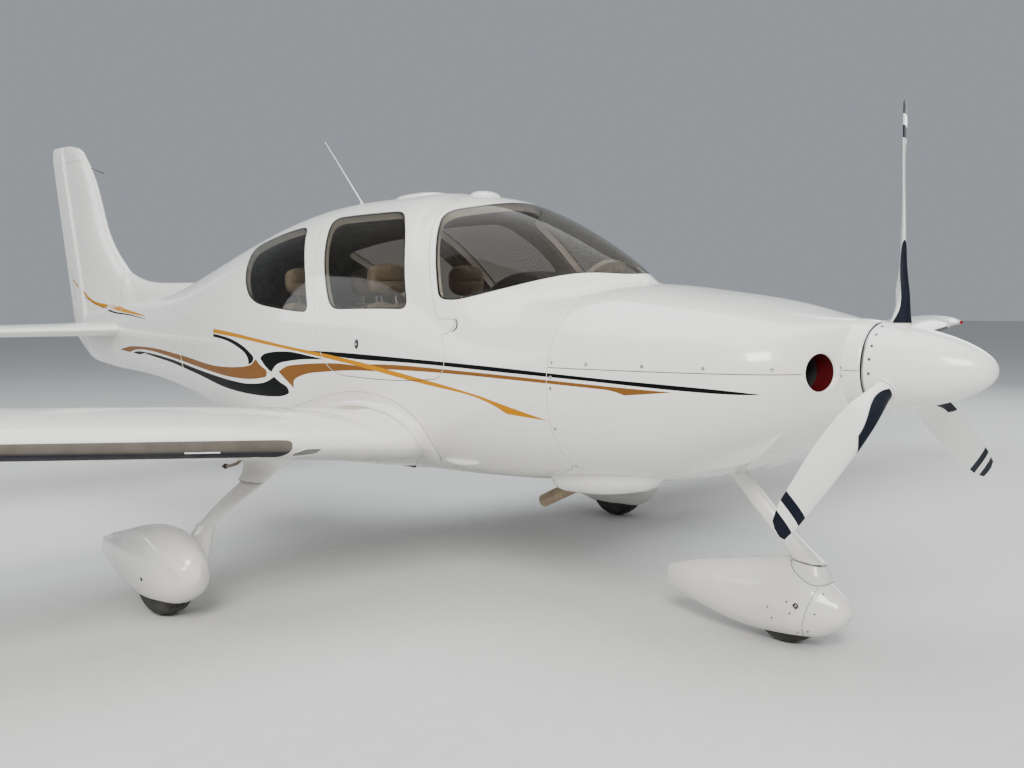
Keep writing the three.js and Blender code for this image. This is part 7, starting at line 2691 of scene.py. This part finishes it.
        strut = tube_mesh(bars(self.strut))
        strut.join(lathe([(0.29, 0.011), (0.3, 0.0125), (0.352, 0.0125)], (self.pivot, 0, 0), Z_AXIS, 24, 1))
        make_object("nose_strut", strut, (*white, *steel), "airframe", "airframe_paint", ["nose_leg"])
        make_object("nose_skirt", self.cuff(), (*white, *dark), "caster", "airframe_paint", sharp=60)
        make_object("nose_fairing", self.nose.shell(), white, "caster", "airframe_paint", ["nose_pant"], 70)
        make_object("nose_yoke", self.fork(), steel, "caster", "gear_steel", ["nose_fork"])
        shaft = lathe(
            [(-0.125, 0.013), (-0.122, 0.0155), (0.122, 0.0155), (0.125, 0.013)], self.nose_wheel.centre, Y_AXIS,
            32,
        )
        make_object("nose_wheel_axle", shaft, steel, "caster", "gear_steel", ["nose_axle"])
        tyre, rim = self.nose_wheel.tyre(), self.nose_wheel.wheel()
        make_object("nose_tyre_tread", tyre, rubber, "nose_wheel", "tyre_rubber", ["nose_tyre"])
        make_object("nose_wheel_disc", rim, cast, "nose_wheel", "rim_metal", ["nose_rim"])
        seams, screws, holes = self.dress_nose()
        make_object("nose_fairing_seams", seams, dark, "caster", "panel_black")
        make_object("nose_fairing_screws", screws, (Paint.SCREW,), "caster", "hub_metal")
        make_object("nose_tow_holes", holes, (*steel, *dark), "caster", "gear_steel")


@dataclass
class Pad:
    """Stuffed part of a seat: a rounded block, bent, blown up as cloth and sewn.

    Attributes:
        name: What it is.
        middle: Centre, for a seat on y = 0.
        half: Half sizes.
        corner: Power of the sines and cosines, small for a boxy block.
        bend: Moves the block's points into the pad's shape.
        face: Axis that the sewn side faces.
        lines: Sewn channels: axis, place on it, and the range of the other axis in the face's plane.
        cap: How far a point may move when the pad is blown up.
        voxel: Size of the faces that it is remeshed in.
    """

    name: str
    middle: Triple
    half: Triple
    corner: float
    bend: Curve
    face: int
    lines: Sequence[tuple[int, float, float, float]] = ()
    cap: float = 0.024
    voxel: float = 0.006

    def block(self) -> Mesh:
        """Rounded block: half sizes times sines and cosines of two angles, each to a power with its sign."""
        up = np.linspace(-math.pi / 2, math.pi / 2, 43)[1:-1, None]
        around = full_turn(96)[None]
        level, ahead, aside, height = (
            np.sign(part) * np.abs(part) ** self.corner
            for part in (np.cos(up), np.cos(around), np.sin(around), np.sin(up))
        )
        x, y, z = level * ahead, level * aside, height + 0 * around
        rings = np.stack([x, y, z], -1) * self.half + self.middle
        mesh = tube_mesh(rings)
        mesh.points = self.bend(mesh.points)
        return mesh

    def start(self) -> bpy.types.Object:
        """The block as an object, remeshed in small even faces, with a cloth pressed from inside."""
        mesh = self.block()
        data = bpy.data.meshes.new(self.name)
        data.from_pydata(mesh.points.tolist(), [], mesh.faces)
        obj = link_object(self.name, data)
        even = obj.modifiers.new("even", "REMESH")
        even.mode, even.voxel_size = "VOXEL", self.voxel
        obj.data = baked(obj)
        obj.modifiers.clear()
        cloth = obj.modifiers.new("cloth", "CLOTH")
        cloth.settings.use_pressure = True
        cloth.settings.uniform_pressure_force = 4.0
        cloth.settings.effector_weights.gravity = 0.0
        cloth.settings.quality = 5
        cloth.point_cache.frame_start, cloth.point_cache.frame_end = 1, 20
        return obj

    def finish(self, obj: bpy.types.Object) -> Mesh:
        """Takes the blown shape with its moves held to the cap, and sinks the channels into the sewn side."""
        rest, blown = vertex_array(obj.data), vertex_array(baked(obj))
        obj.modifiers.clear()
        move = blown - rest
        length = np.linalg.norm(move, axis=1, keepdims=True)
        points = rest + move * np.minimum(1, self.cap / np.maximum(length, 1e-9))
        faces = [list(face.vertices) for face in obj.data.polygons]
        obj.data.vertices.foreach_set("co", points.ravel())
        obj.data.update()
        normal = np.zeros(len(points) * 3)
        obj.data.vertices.foreach_get("normal", normal)
        normal = normal.reshape(-1, 3)
        facing = smoothstep(0.25, 0.7, normal[:, self.face])
        for axis, place, low, high in self.lines:
            other = 3 - axis - self.face
            within = smoothstep(low - 0.02, low, points[:, other]) * (1 - smoothstep(
                high, high + 0.02, points[:, other],
            ))
            depth = 0.008 * np.exp(-(((points[:, axis] - place) / 0.0075) ** 2)) * facing * within
            points = points - normal * depth[:, None]
        bpy.data.objects.remove(obj)
        return Mesh.plain(points, faces)

    def stitches(self, pad: Mesh) -> Mesh:
        """Piping along the channels: thin tubes on the sewn side, whose height is the nearest points' own."""
        mesh = Mesh()
        for axis, place, low, high in self.lines:
            other = 3 - axis - self.face
            along = np.linspace(low + 0.004, high - 0.004, 36)
            flat = pad.points[:, [axis, other]]
            front = pad.points[:, self.face] > np.median(pad.points[:, self.face]) - 0.02
            strip = front & (np.abs(flat[:, 0] - place) < 0.005)
            if strip.sum() < 8:
                continue
            near = np.abs(flat[strip, 1][None] - along[:, None])
            height = np.where(near < 0.008, pad.points[strip, self.face][None], -9.0).max(axis=1)
            path = np.zeros((len(along), 3))
            path[:, axis], path[:, other], path[:, self.face] = place, along, height
            mesh.join(path_tube(path[height > -8], 0.0022, 6, 1))
        return mesh


def baked(obj: bpy.types.Object) -> bpy.types.Mesh:
    """A new mesh of the object as its modifiers leave it."""
    graph = bpy.context.evaluated_depsgraph_get()
    return bpy.data.meshes.new_from_object(obj.evaluated_get(graph))


def vertex_array(data: bpy.types.Mesh) -> Array:
    """Vertices of a mesh, one a row."""
    flat = np.zeros(len(data.vertices) * 3)
    data.vertices.foreach_get("co", flat)
    return flat.reshape(-1, 3)


def bolster(points: Array, face: int, rise: float) -> Array:
    """Raises the sides of the sewn face by a step across the width."""
    moved = points.copy()
    upper = smoothstep(0.0, 0.03, points[:, face] - np.median(points[:, face]))
    moved[:, face] += rise * smoothstep(0.11, 0.19, np.abs(points[:, 1])) * upper
    return moved


def cushion_shape(points: Array) -> Array:
    """Seat cushion: bolsters, and a front that rises a little."""
    moved = bolster(points, 2, 0.014)
    moved[:, 2] += 0.012 * (points[:, 0] - 1.15) / 0.25
    return moved


def back_shape(points: Array) -> Array:
    """Seat back: bolsters, a backward lean and a narrower top."""
    moved = bolster(points, 0, 0.016)
    moved[:, 0] -= 0.16 * (points[:, 2] - 1.165)
    moved[:, 1] *= 1 - 0.25 * smoothstep(1.25, 1.43, points[:, 2])
    return moved


def head_shape(points: Array) -> Array:
    """Headrest: bowed forward at the top."""
    moved = points.copy()
    moved[:, 0] += 0.9 * (points[:, 2] - 1.52) ** 2
    return moved


@dataclass
class Interior:
    """Seats, floor, instrument panel with its hood, and the engine block.

    Attributes:
        pads: Parts of one seat.
        seats: Each seat's frame node, and the shift in x, y and scale of width of each place on it.
        rails: x range and half spacing of the seats' rails.
        bow: How far the panel's face bows forward at its sides, and its half width.
        screens: Centre y, centre z, half width and half height of each blank screen.
    """

    pads: Sequence[Pad] = (
        Pad("cushion", (1.15, 0, 0.944), (0.244, 0.205, 0.048), 0.32, cushion_shape, 2,
            ((1, 0.115, 0.96, 1.36), (1, -0.115, 0.96, 1.36), (0, 1.04, -0.115, 0.115), (0, 1.12, -0.115, 0.115),
             (0, 1.2, -0.115, 0.115), (0, 1.28, -0.115, 0.115))),
        Pad("back", (0.925, 0, 1.165), (0.042, 0.205, 0.25), 0.32, back_shape, 0,
            ((1, 0.115, 0.97, 1.38), (1, -0.115, 0.97, 1.38), (2, 1.04, -0.115, 0.115), (2, 1.12, -0.115, 0.115),
             (2, 1.2, -0.115, 0.115), (2, 1.28, -0.115, 0.115))),
        Pad("headrest", (0.868, 0, 1.522), (0.036, 0.122, 0.082), 0.6, head_shape, 0, ((2, 1.52, -0.08, 0.08),), 0.016),
    )
    seats: Sequence[tuple[str, tuple]] = (
        ("seat_front_left", ((0.0, 0.285, 1.0),)),
        ("seat_front_right", ((0.0, -0.285, 1.0),)),
        ("seat_rear", ((-0.83, 0.235, 1.06), (-0.83, -0.235, 1.06))),
    )
    rails: Triple = (0.86, 1.5, 0.12)
    bow: Pair = (0.03, 0.555)
    screens: Sequence[Sequence[float]] = ((0.27, 1.2, 0.155, 0.1), (-0.1, 1.2, 0.155, 0.1), (-0.4, 1.21, 0.07, 0.08))

    def sewn(self) -> list[Mesh]:
        """The pads of one seat, blown up together frame by frame."""
        objects = [pad.start() for pad in self.pads]
        for frame_number in range(1, 21):
            bpy.context.scene.frame_set(frame_number)
        meshes = [pad.finish(obj) for pad, obj in zip(self.pads, objects)]
        return [mesh.join(pad.stitches(mesh)) for pad, mesh in zip(self.pads, meshes)]

    def hood(self) -> Mesh:
        """Hood over the panel: a sheet whose height is a slope plus a hump that falls off sideways and forward."""
        x = np.concatenate([[1.712, 1.704, 1.7], np.linspace(1.704, 2.25, 34)])
        drop = np.concatenate([[0.035, 0.012, 0.004], np.zeros(len(x) - 3)])
        slope = 1.378 + 0.1 * smoothstep(1.7, 2.25, x) - drop
        edge = SKIN.polar(x, SKIN.angle_at(x, slope + 0.02))[:, 1] - 0.066
        edge = np.minimum(edge, 0.57 - 0.24 * smoothstep(1.95, 2.25, x))
        share = np.linspace(-1, 1, 61)[None]
        y = edge[:, None] * share
        hump = np.maximum(1 - (np.abs(y) / 0.44) ** 2.6, 0) * (0.175 * (1 - 0.92 * smoothstep(1.72, 2.22, x)))[:, None]
        z = slope[:, None] + hump
        return slab(np.stack([np.broadcast_to(x[:, None], y.shape), y, z], -1), 0.006)

    def bowed(self, y: Array) -> Array:
        """How far the panel's face stands forward at y: the bow times the square of the share of the width."""
        return self.bow[0] * (y / self.bow[1]) ** 2

    def board(self) -> Mesh:
        """Panel face: a sheet bowed away from the seats at its sides, and its pedestal."""
        low, half = 1.01, self.bow[1]
        y, z = np.meshgrid(np.linspace(-half, half, 50), np.linspace(low, 1.4, 16), indexing="ij")
        x = 1.765 + self.bowed(y) - 0.02 * (z - low)
        sheet = slab(np.stack([x, y, z], -1), 0.012)
        return sheet.join(box_mesh((1.8, -0.225, 0.702), (1.935, 0.225, 1.1), 0.02))

    def instruments(self) -> Mesh:
        """Blank screens in raised frames, with rows of knobs below them."""
        mesh = Mesh()
        for y, z, half, high in self.screens:
            x = 1.755 + self.bowed(y) - 0.004
            mesh.join(box_mesh(
                (x - 0.006, y - half - 0.014, z - high - 0.014), (x + 0.02, y + half + 0.014, z + high + 0.014),
                0.005,
            ))
            mesh.join(box_mesh((x - 0.0075, y - half, z - high), (x + 0.01, y + half, z + high), 0.003, 1))
            for share in (-0.8, -0.4, 0.0, 0.4, 0.8):
                knob = [(0, 0.007), (0.012, 0.0065), (0.016, 0.005)]
                mesh.join(lathe(knob, (x - 0.006, y + half * share, z - high - 0.026), (-1, 0, 0), 16))
        return mesh

    def controls(self) -> Mesh:
        """Power lever and side handles."""
        lever = path_tube(np.array([(1.8, -0.02, 1.02), (1.75, -0.02, 1.05), (1.7, -0.02, 1.075)]), 0.006)
        lever.join(lathe([(0, 0.012), (0.03, 0.018), (0.045, 0.012)], (1.7, -0.02, 1.075), (-0.9, 0, 0.4), 20))
        for y in (0.47, -0.47):
            lever.join(path_tube(np.array([(1.78, y, 1.08), (1.7, y, 1.085), (1.65, y, 1.09)]), 0.009))
            grip = even_path(
                np.array([(1.645, y, 1.06), (1.64, y, 1.1), (1.632, y, 1.14), (1.63, y, 1.16)]), 14, closed=False,
            )
            lever.join(path_tube(grip, 0.014 + 0.004 * np.sin(np.linspace(0, 9, len(grip))), 16))
        return lever

    def frames(self, shifts: Sequence[Triple]) -> Mesh:
        """Plinths, rails and headrest posts of the places on a seat."""
        mesh = Mesh()
        for dx, y, wide in shifts:
            half = 0.13 * wide
            mesh.join(box_mesh((0.92 + dx, y - half, 0.702), (1.35 + dx, y + half, 0.9), 0.016))
            low, high, apart = self.rails
            for side in (apart, -apart):
                mesh.join(box_mesh(
                    (low + dx, y + side - 0.012, 0.7), (high + dx - 0.1, y + side + 0.012, 0.714), 0.003, 1,
                ))
                post = np.array([
                    (0.885 + dx, y + side / 2.4, 1.4), (0.875 + dx, y + side / 2.4, 1.45),
                    (0.868 + dx, y + side / 2.4, 1.5)
                ])
                mesh.join(path_tube(post, 0.006, 12, 1))
        return mesh

    def build(self) -> None:
        """Makes the seats and the panel, and gives the kept frame nodes their finishes."""
        pads = self.sewn()
        leather = (Paint.LEATHER, Paint.PIPING)
        plinth = (Paint.PANEL, Paint.STEEL)
        for node, places in self.seats:
            for number, (dx, y, wide) in enumerate(places, 1):
                for pad, mesh in zip(self.pads, pads):
                    placed = mesh.moved(mesh.points * [1, wide, 1] + [dx, y, 0])
                    name = f"{node}_{pad.name}_{number}"
                    obj = make_object(name, placed, leather, "airframe", "seat_leather", sharp=80)
                    if pad is self.pads[0] and number == 1:
                        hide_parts(node)
            make_object(f"{node}_frame", self.frames(places), plinth, "airframe", "cabin_trim")
        cover = (Paint.PANEL, Paint.SCREEN)
        make_object("panel_hood", self.hood(), cover, "airframe", "panel_black", sharp=60)
        make_object("panel_board", self.board(), (Paint.TRIM,), "airframe", "panel_black", ["instrument_panel"])
        make_object("panel_screens", self.instruments(), cover, "airframe", "panel_black")
        make_object("cabin_controls", self.controls(), cover, "airframe", "panel_black")
        for node, paint in (("cabin_floor", Paint.CARPET), ("engine_block", Paint.CASTING)):
            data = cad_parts[node].data
            data.materials.clear()
            data.materials.append(paint.material)


def blister(surface: Surface, middle: Pair, half: Pair, rise: float, power: float = 2.0, paint: int = 0) -> Mesh:
    """Low oval swelling on a surface: rings whose half sizes fall and whose height grows like a quarter ellipse."""
    sides = 40
    turn = np.concatenate([[-0.12], np.linspace(0, 1.5, 12)])[:, None]
    around = full_turn(sides)[None]
    level = np.cos(np.maximum(turn, 0))
    cosine, sine = np.cos(around), np.sin(around)
    s = middle[0] + half[0] * level * np.sign(cosine) * np.abs(cosine) ** (2 / power)
    v = middle[1] + half[1] * level * np.sign(sine) * np.abs(sine) ** (2 / power)
    height = np.where(turn < 0, -0.003, rise * np.sin(np.maximum(turn, 0)))
    base = surface.at(s.ravel(), v.ravel())
    points = base + surface.normal(s.ravel(), v.ravel()) * np.broadcast_to(height, s.shape).reshape(-1, 1)
    return tube_mesh(points.reshape(len(turn), sides, 3), paint)


@dataclass
class Details:
    """Aerials, roof domes, door locks, latch gaps, vents, lamps, rings and small fairings.

    Attributes:
        whip: Rod aerial on the roof, from its foot to its tip.
        probe: Rod ahead of the fin, from its foot to its tip.
        domes: Roof domes: x, half length, half width and rise.
        lock: x and z of a door's lock.
        latch: x and z along the open end of the latch plate.
        wedge: Small fairing ahead of the wing root: x, z, half length, half height and rise.
        vent: Oval vent on the tail cone: x, z, half length and half height.
        ring: Centre of the tail's tie-down ring.
        lamp: y of the lamps on the wing's leading edge.
        pitot: Pitot tube under the port wing, from its root to its mouth.
        lips: x and z of the screws along the lower cowl's lip.
    """

    whip: Sequence[Triple] = (
        (0.325, 0.0, 1.94), (0.307, 0.0, 1.962), (0.2, 0.0, 2.079), (0.07, 0.0, 2.221), (-0.063, 0.0, 2.364),
    )
    probe: Sequence[Triple] = ((-3.02, 0.0, 2.418), (-3.1, 0.0, 2.4385), (-3.18, 0.0, 2.459), (-3.265, 0.0, 2.481))
    domes: Sequence[Sequence[float]] = ((0.84, 0.17, 0.09, 0.024), (1.33, 0.075, 0.055, 0.026))
    lock: Pair = (1.109, 1.202)
    latch: Sequence[Pair] = (
        (1.764, 1.333), (1.778, 1.324), (1.788, 1.308), (1.792, 1.293), (1.786, 1.282), (1.77, 1.274),
    )
    wedge: Sequence[float] = (1.688, 0.662, 0.112, 0.017, 0.022)
    vent: Sequence[float] = (-3.109, 1.123, 0.021, 0.011)
    ring: Triple = (-3.04, 0.0, 0.893)
    lamp: float = 5.72
    pitot: Sequence[Triple] = (
        (1.33, 3.9, 0.86), (1.34, 3.9, 0.8), (1.36, 3.9, 0.775), (1.4, 3.9, 0.768), (1.56, 3.9, 0.768),
    )
    lips: Sequence[Pair] = ((2.64, 0.69), (2.7, 0.703), (2.76, 0.716), (2.83, 0.732))

    def spot(self, x: float, z: float) -> Pair:
        """The skin's parameters of a point on the port side."""
        return x, float(SKIN.angle_at(np.array([x]), np.array([z]))[0]) * SKIN.girth

    def aerials(self) -> Mesh:
        """Whip and probe: rods that taper along their length, on turned feet."""
        whip = even_path(np.asarray(self.whip), 30, closed=False)
        mesh = path_tube(whip, np.linspace(0.0046, 0.0016, len(whip)), 10)
        foot = [(-0.03, 0.03), (0.0, 0.026), (0.012, 0.014), (0.03, 0.009), (0.045, 0.006)]
        mesh.join(lathe(foot, (0.314, 0, 1.95), (-0.68, 0, 0.74), 24))
        probe = even_path(np.asarray(self.probe), 20, closed=False)
        return mesh.join(path_tube(probe, np.linspace(0.004, 0.0022, len(probe)), 10, 1))

    def roof(self) -> Mesh:
        """Low oval domes along the middle of the roof, each with a base plate."""
        mesh = Mesh()
        crown = math.pi / 2 * SKIN.girth
        for x, half, wide, rise in self.domes:
            mesh.join(blister(SKIN, (x, crown), (half + 0.008, wide + 0.008), 0.003, 2.6))
            mesh.join(blister(SKIN, (x, crown), (half, wide), rise, 2.4))
        return mesh

    def door_lock(self) -> Mesh:
        """Black oval cup with a turned key barrel in it."""
        spot = self.spot(*self.lock)
        mesh = blister(SKIN, spot, (0.016, 0.0245), 0.0026, 2.0)
        base, out = SKIN.spot(*spot)
        rows = [(0.0, 0.0075), (0.0036, 0.0075), (0.0042, 0.0064), (0.0034, 0.0036), (0.0034, 0.0015)]
        return mesh.join(lathe(rows, base, out, 20, 1))

    def latch_gap(self) -> Mesh:
        """Gap at the open end of the latch plate: a flat tube, thickest in its middle."""
        flat = even_path(SKIN.flat(self.latch), 24, closed=False)
        radius = 0.0014 + 0.0022 * np.sin(np.linspace(0, math.pi, len(flat)))
        return path_tube(SKIN.at(*flat.T, -0.0004), radius, 8)

    def small_fairings(self) -> Mesh:
        """Fairing ahead of the wing root and the screws of the cowl's lip."""
        x, z, half, high, rise = self.wedge
        mesh = blister(SKIN, self.spot(x, z), (half, high), rise, 2.8)
        places = np.array([self.spot(*row) for row in self.lips])
        return mesh.join(stud_heads(SKIN, places[:, 0], places[:, 1], 0.0055))

    def tail_vent(self) -> Mesh:
        """Dark oval mouth, a black blister of painted shade standing for the vent's opening, and the raised rim round
        it.
        """
        x, z, half, high = self.vent
        spot = self.spot(x, z)
        mesh = blister(SKIN, spot, (half + 0.004, high + 0.004), 0.004, 2.0)
        # painted shade: the mouth is a raised blister in black, standing for the dark inside of the opening
        return mesh.join(blister(SKIN, spot, (half, high), 0.0052, 2.0, 1))

    def eye(self) -> Mesh:
        """Tie-down ring: a ring of round wire on an upright stalk."""
        turn = full_turn(12)
        wire = np.column_stack([0.0042 * np.cos(turn), 0.0185 + 0.0042 * np.sin(turn)])
        mesh = ring_lathe(wire, self.ring, Y_AXIS, 36)
        x, y, z = self.ring
        return mesh.join(path_tube(np.array([(x, y, z + 0.018), (x, y, z + 0.04), (x, y, z + 0.065)]), 0.006, 12))

    def lamps(self) -> tuple[Mesh, Mesh]:
        """Lamp on the wing's leading edge near its tip: a base and a domed lens."""
        place = WING.at(np.array([self.lamp]), np.array([0.0]))[0] + [-0.012, 0, 0.002]
        facing = (0.95, 0.3, 0)
        base = lathe([(-0.02, 0.021), (0.008, 0.021), (0.012, 0.019), (0.0125, 0.004)], place, facing, 32)
        lens = [(0.0128, 0.0175), (0.019, 0.0168), (0.026, 0.0135), (0.031, 0.008), (0.0325, 0.001)]
        return base, lathe(lens, place, facing, 32)

    def build(self) -> None:
        """Makes every small fitting and puts it on the airframe or the door that carries it."""
        white, steel, dark = Paint.WHITE, Paint.STEEL, Paint.SEAL
        make_object("aerial_rods", self.aerials(), (white, dark), "airframe", "airframe_paint")
        make_object("roof_domes", self.roof(), (white,), "airframe", "airframe_paint", sharp=60)
        make_object("tail_ring", self.eye(), (steel,), "airframe", "gear_steel")
        pitot = path_tube(
            even_path(np.asarray(self.pitot), 30, closed=False), np.r_[np.full(14, 0.011), np.full(16, 0.0085)], 16,
        )
        make_object("pitot_tube", pitot, (white,), "airframe", "airframe_paint")
        base, lens = self.lamps()
        for side in Side:
            word = side.word
            make_object(f"door_lock_{word}", self.door_lock().on(side), (dark, steel), f"{word}_door", "panel_black")
            make_object(f"latch_gap_{word}", self.latch_gap().on(side), (dark,), "airframe", "panel_black")
            make_object(
                f"small_fairings_{word}", self.small_fairings().on(side), (white,), "airframe", "airframe_paint",
            )
            make_object(f"tail_vent_{word}", self.tail_vent().on(side), (white, dark), "airframe", "airframe_paint")
            make_object(f"lamp_base_{word}", base.on(side), (steel,), "airframe", "hub_metal")
            glass = Paint.RED_LENS if side is Side.PORT else Paint.GREEN_LENS
            make_object(f"lamp_lens_{word}", lens.on(side), (glass,), "airframe", "window_glass")


@dataclass
class Studio:
    """Camera at the photo's viewpoint, pale floor and soft lights.

    Attributes:
        place: Camera's place.
        azimuth: Bearing of the view, in degrees from +Y towards -X.
        pitch: How far it looks down, in degrees.
        roll: Turn about the line of sight, in degrees.
        lens: Focal length for a sensor 36 mm wide.
        lights: Area lights: name, place, target, size, power and colour.
        sky: Colour of the world's light.
        sky_strength: Its strength.
        floor_radius: Radius of the floor.
        floor_level: Its height, just under the wheels.
    """

    place: Triple = (5.5328, -4.0117, 1.4283)
    azimuth: float = 45.038
    pitch: float = 4.457
    roll: float = -0.324
    lens: float = 39.195
    lights: Sequence[tuple[str, Triple, Triple, Pair, float, Triple]] = (
        ("key", (9.0, -9.0, 8.0), (0.5, 0.0, 1.0), (5.0, 5.0), 2000, (1.0, 0.97, 0.92)),
        ("overhead", (0.0, 0.0, 11.0), (0.0, 0.0, 0.0), (12.0, 12.0), 1300, (0.96, 0.98, 1.0)),
        ("fill", (-8.0, -8.0, 5.0), (-1.0, 0.0, 1.0), (6.0, 4.0), 300, (0.93, 0.96, 1.0)),
        ("far_side", (2.0, 11.0, 6.0), (0.0, 0.0, 1.0), (8.0, 5.0), 450, (0.97, 0.98, 1.0)),
    )
    sky: Triple = (0.8, 0.86, 0.93)
    sky_strength: float = 0.4
    floor_radius: float = 60.0
    floor_level: float = -0.001

    def camera(self) -> None:
        """Aims the camera: its axes are the bearing, the pitch and the roll turned one after another."""
        turn = Matrix.Rotation(math.radians(self.azimuth), 4, "Z") @ Matrix.Rotation(
            math.radians(90 - self.pitch), 4, "X",
        )
        data = bpy.data.cameras.new("photo_camera")
        data.lens = self.lens
        data.sensor_width = 36.0
        data.clip_end = 200.0
        obj = link_object("photo_camera", data)
        obj.matrix_world = Matrix.Translation(self.place) @ turn @ Matrix.Rotation(math.radians(self.roll), 4, "Z")
        bpy.context.scene.camera = obj

    def light(self, name: str, place: Triple, target: Triple, size: Pair, power: float, colour: Triple) -> None:
        """Adds an area light that faces a point."""
        data = bpy.data.lights.new(name, "AREA")
        data.shape = "RECTANGLE"
        data.size, data.size_y = size
        data.energy = power
        data.color = colour
        obj = link_object(name, data)
        away = Vector(place) - Vector(target)
        obj.matrix_world = Matrix.Translation(place) @ away.to_track_quat("Z", "Y").to_matrix().to_4x4()

    def floor(self) -> Mesh:
        """Disc on the ground: rings that widen with the square of their number."""
        rings, sides = 24, 96
        radius = np.linspace(0.02, 1, rings)[:, None] ** 2 * self.floor_radius
        angle = full_turn(sides)[None]
        level = np.full((rings, sides), self.floor_level)
        points = np.stack([radius * np.cos(angle), radius * np.sin(angle), level], -1).reshape(-1, 3)
        points = np.vstack([points, [[0.0, 0.0, self.floor_level]]])
        first = np.arange(sides)
        middle = np.column_stack([np.roll(first, -1), np.full(sides, len(points) - 1), first])
        faces = grid_faces(rings, sides, True)[:, ::-1].tolist() + middle[:, ::-1].tolist()
        return Mesh.plain(points, faces)

    def build(self) -> None:
        """Makes the camera, the sky, the lights and the floor."""
        self.camera()
        world = bpy.data.worlds.new("pale_studio")
        world.use_nodes = True
        sky = world.node_tree.nodes["Background"]
        sky.inputs["Color"].default_value = (*self.sky, 1.0)
        sky.inputs["Strength"].default_value = self.sky_strength
        bpy.context.scene.world = world
        for row in self.lights:
            self.light(*row)
        data = bpy.data.meshes.new("studio_floor")
        mesh = self.floor()
        data.from_pydata(mesh.points.tolist(), [], mesh.faces)
        data.materials.append(Paint.STAGE.material)
        obj = link_object("studio_floor", data)


def main() -> None:
    """Builds every sub-assembly in order, then the camera and the lights."""
    logging.basicConfig(level=logging.INFO, format="%(message)s")
    for builder in (Cabin(), Cowl(), Propeller(), Wings(), Tail(), Gear(), Interior(), Details(), Studio()):
        LOG.info("building %s", type(builder).__name__)
        builder.build()
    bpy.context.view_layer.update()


if __name__ == "__main__":
    main()
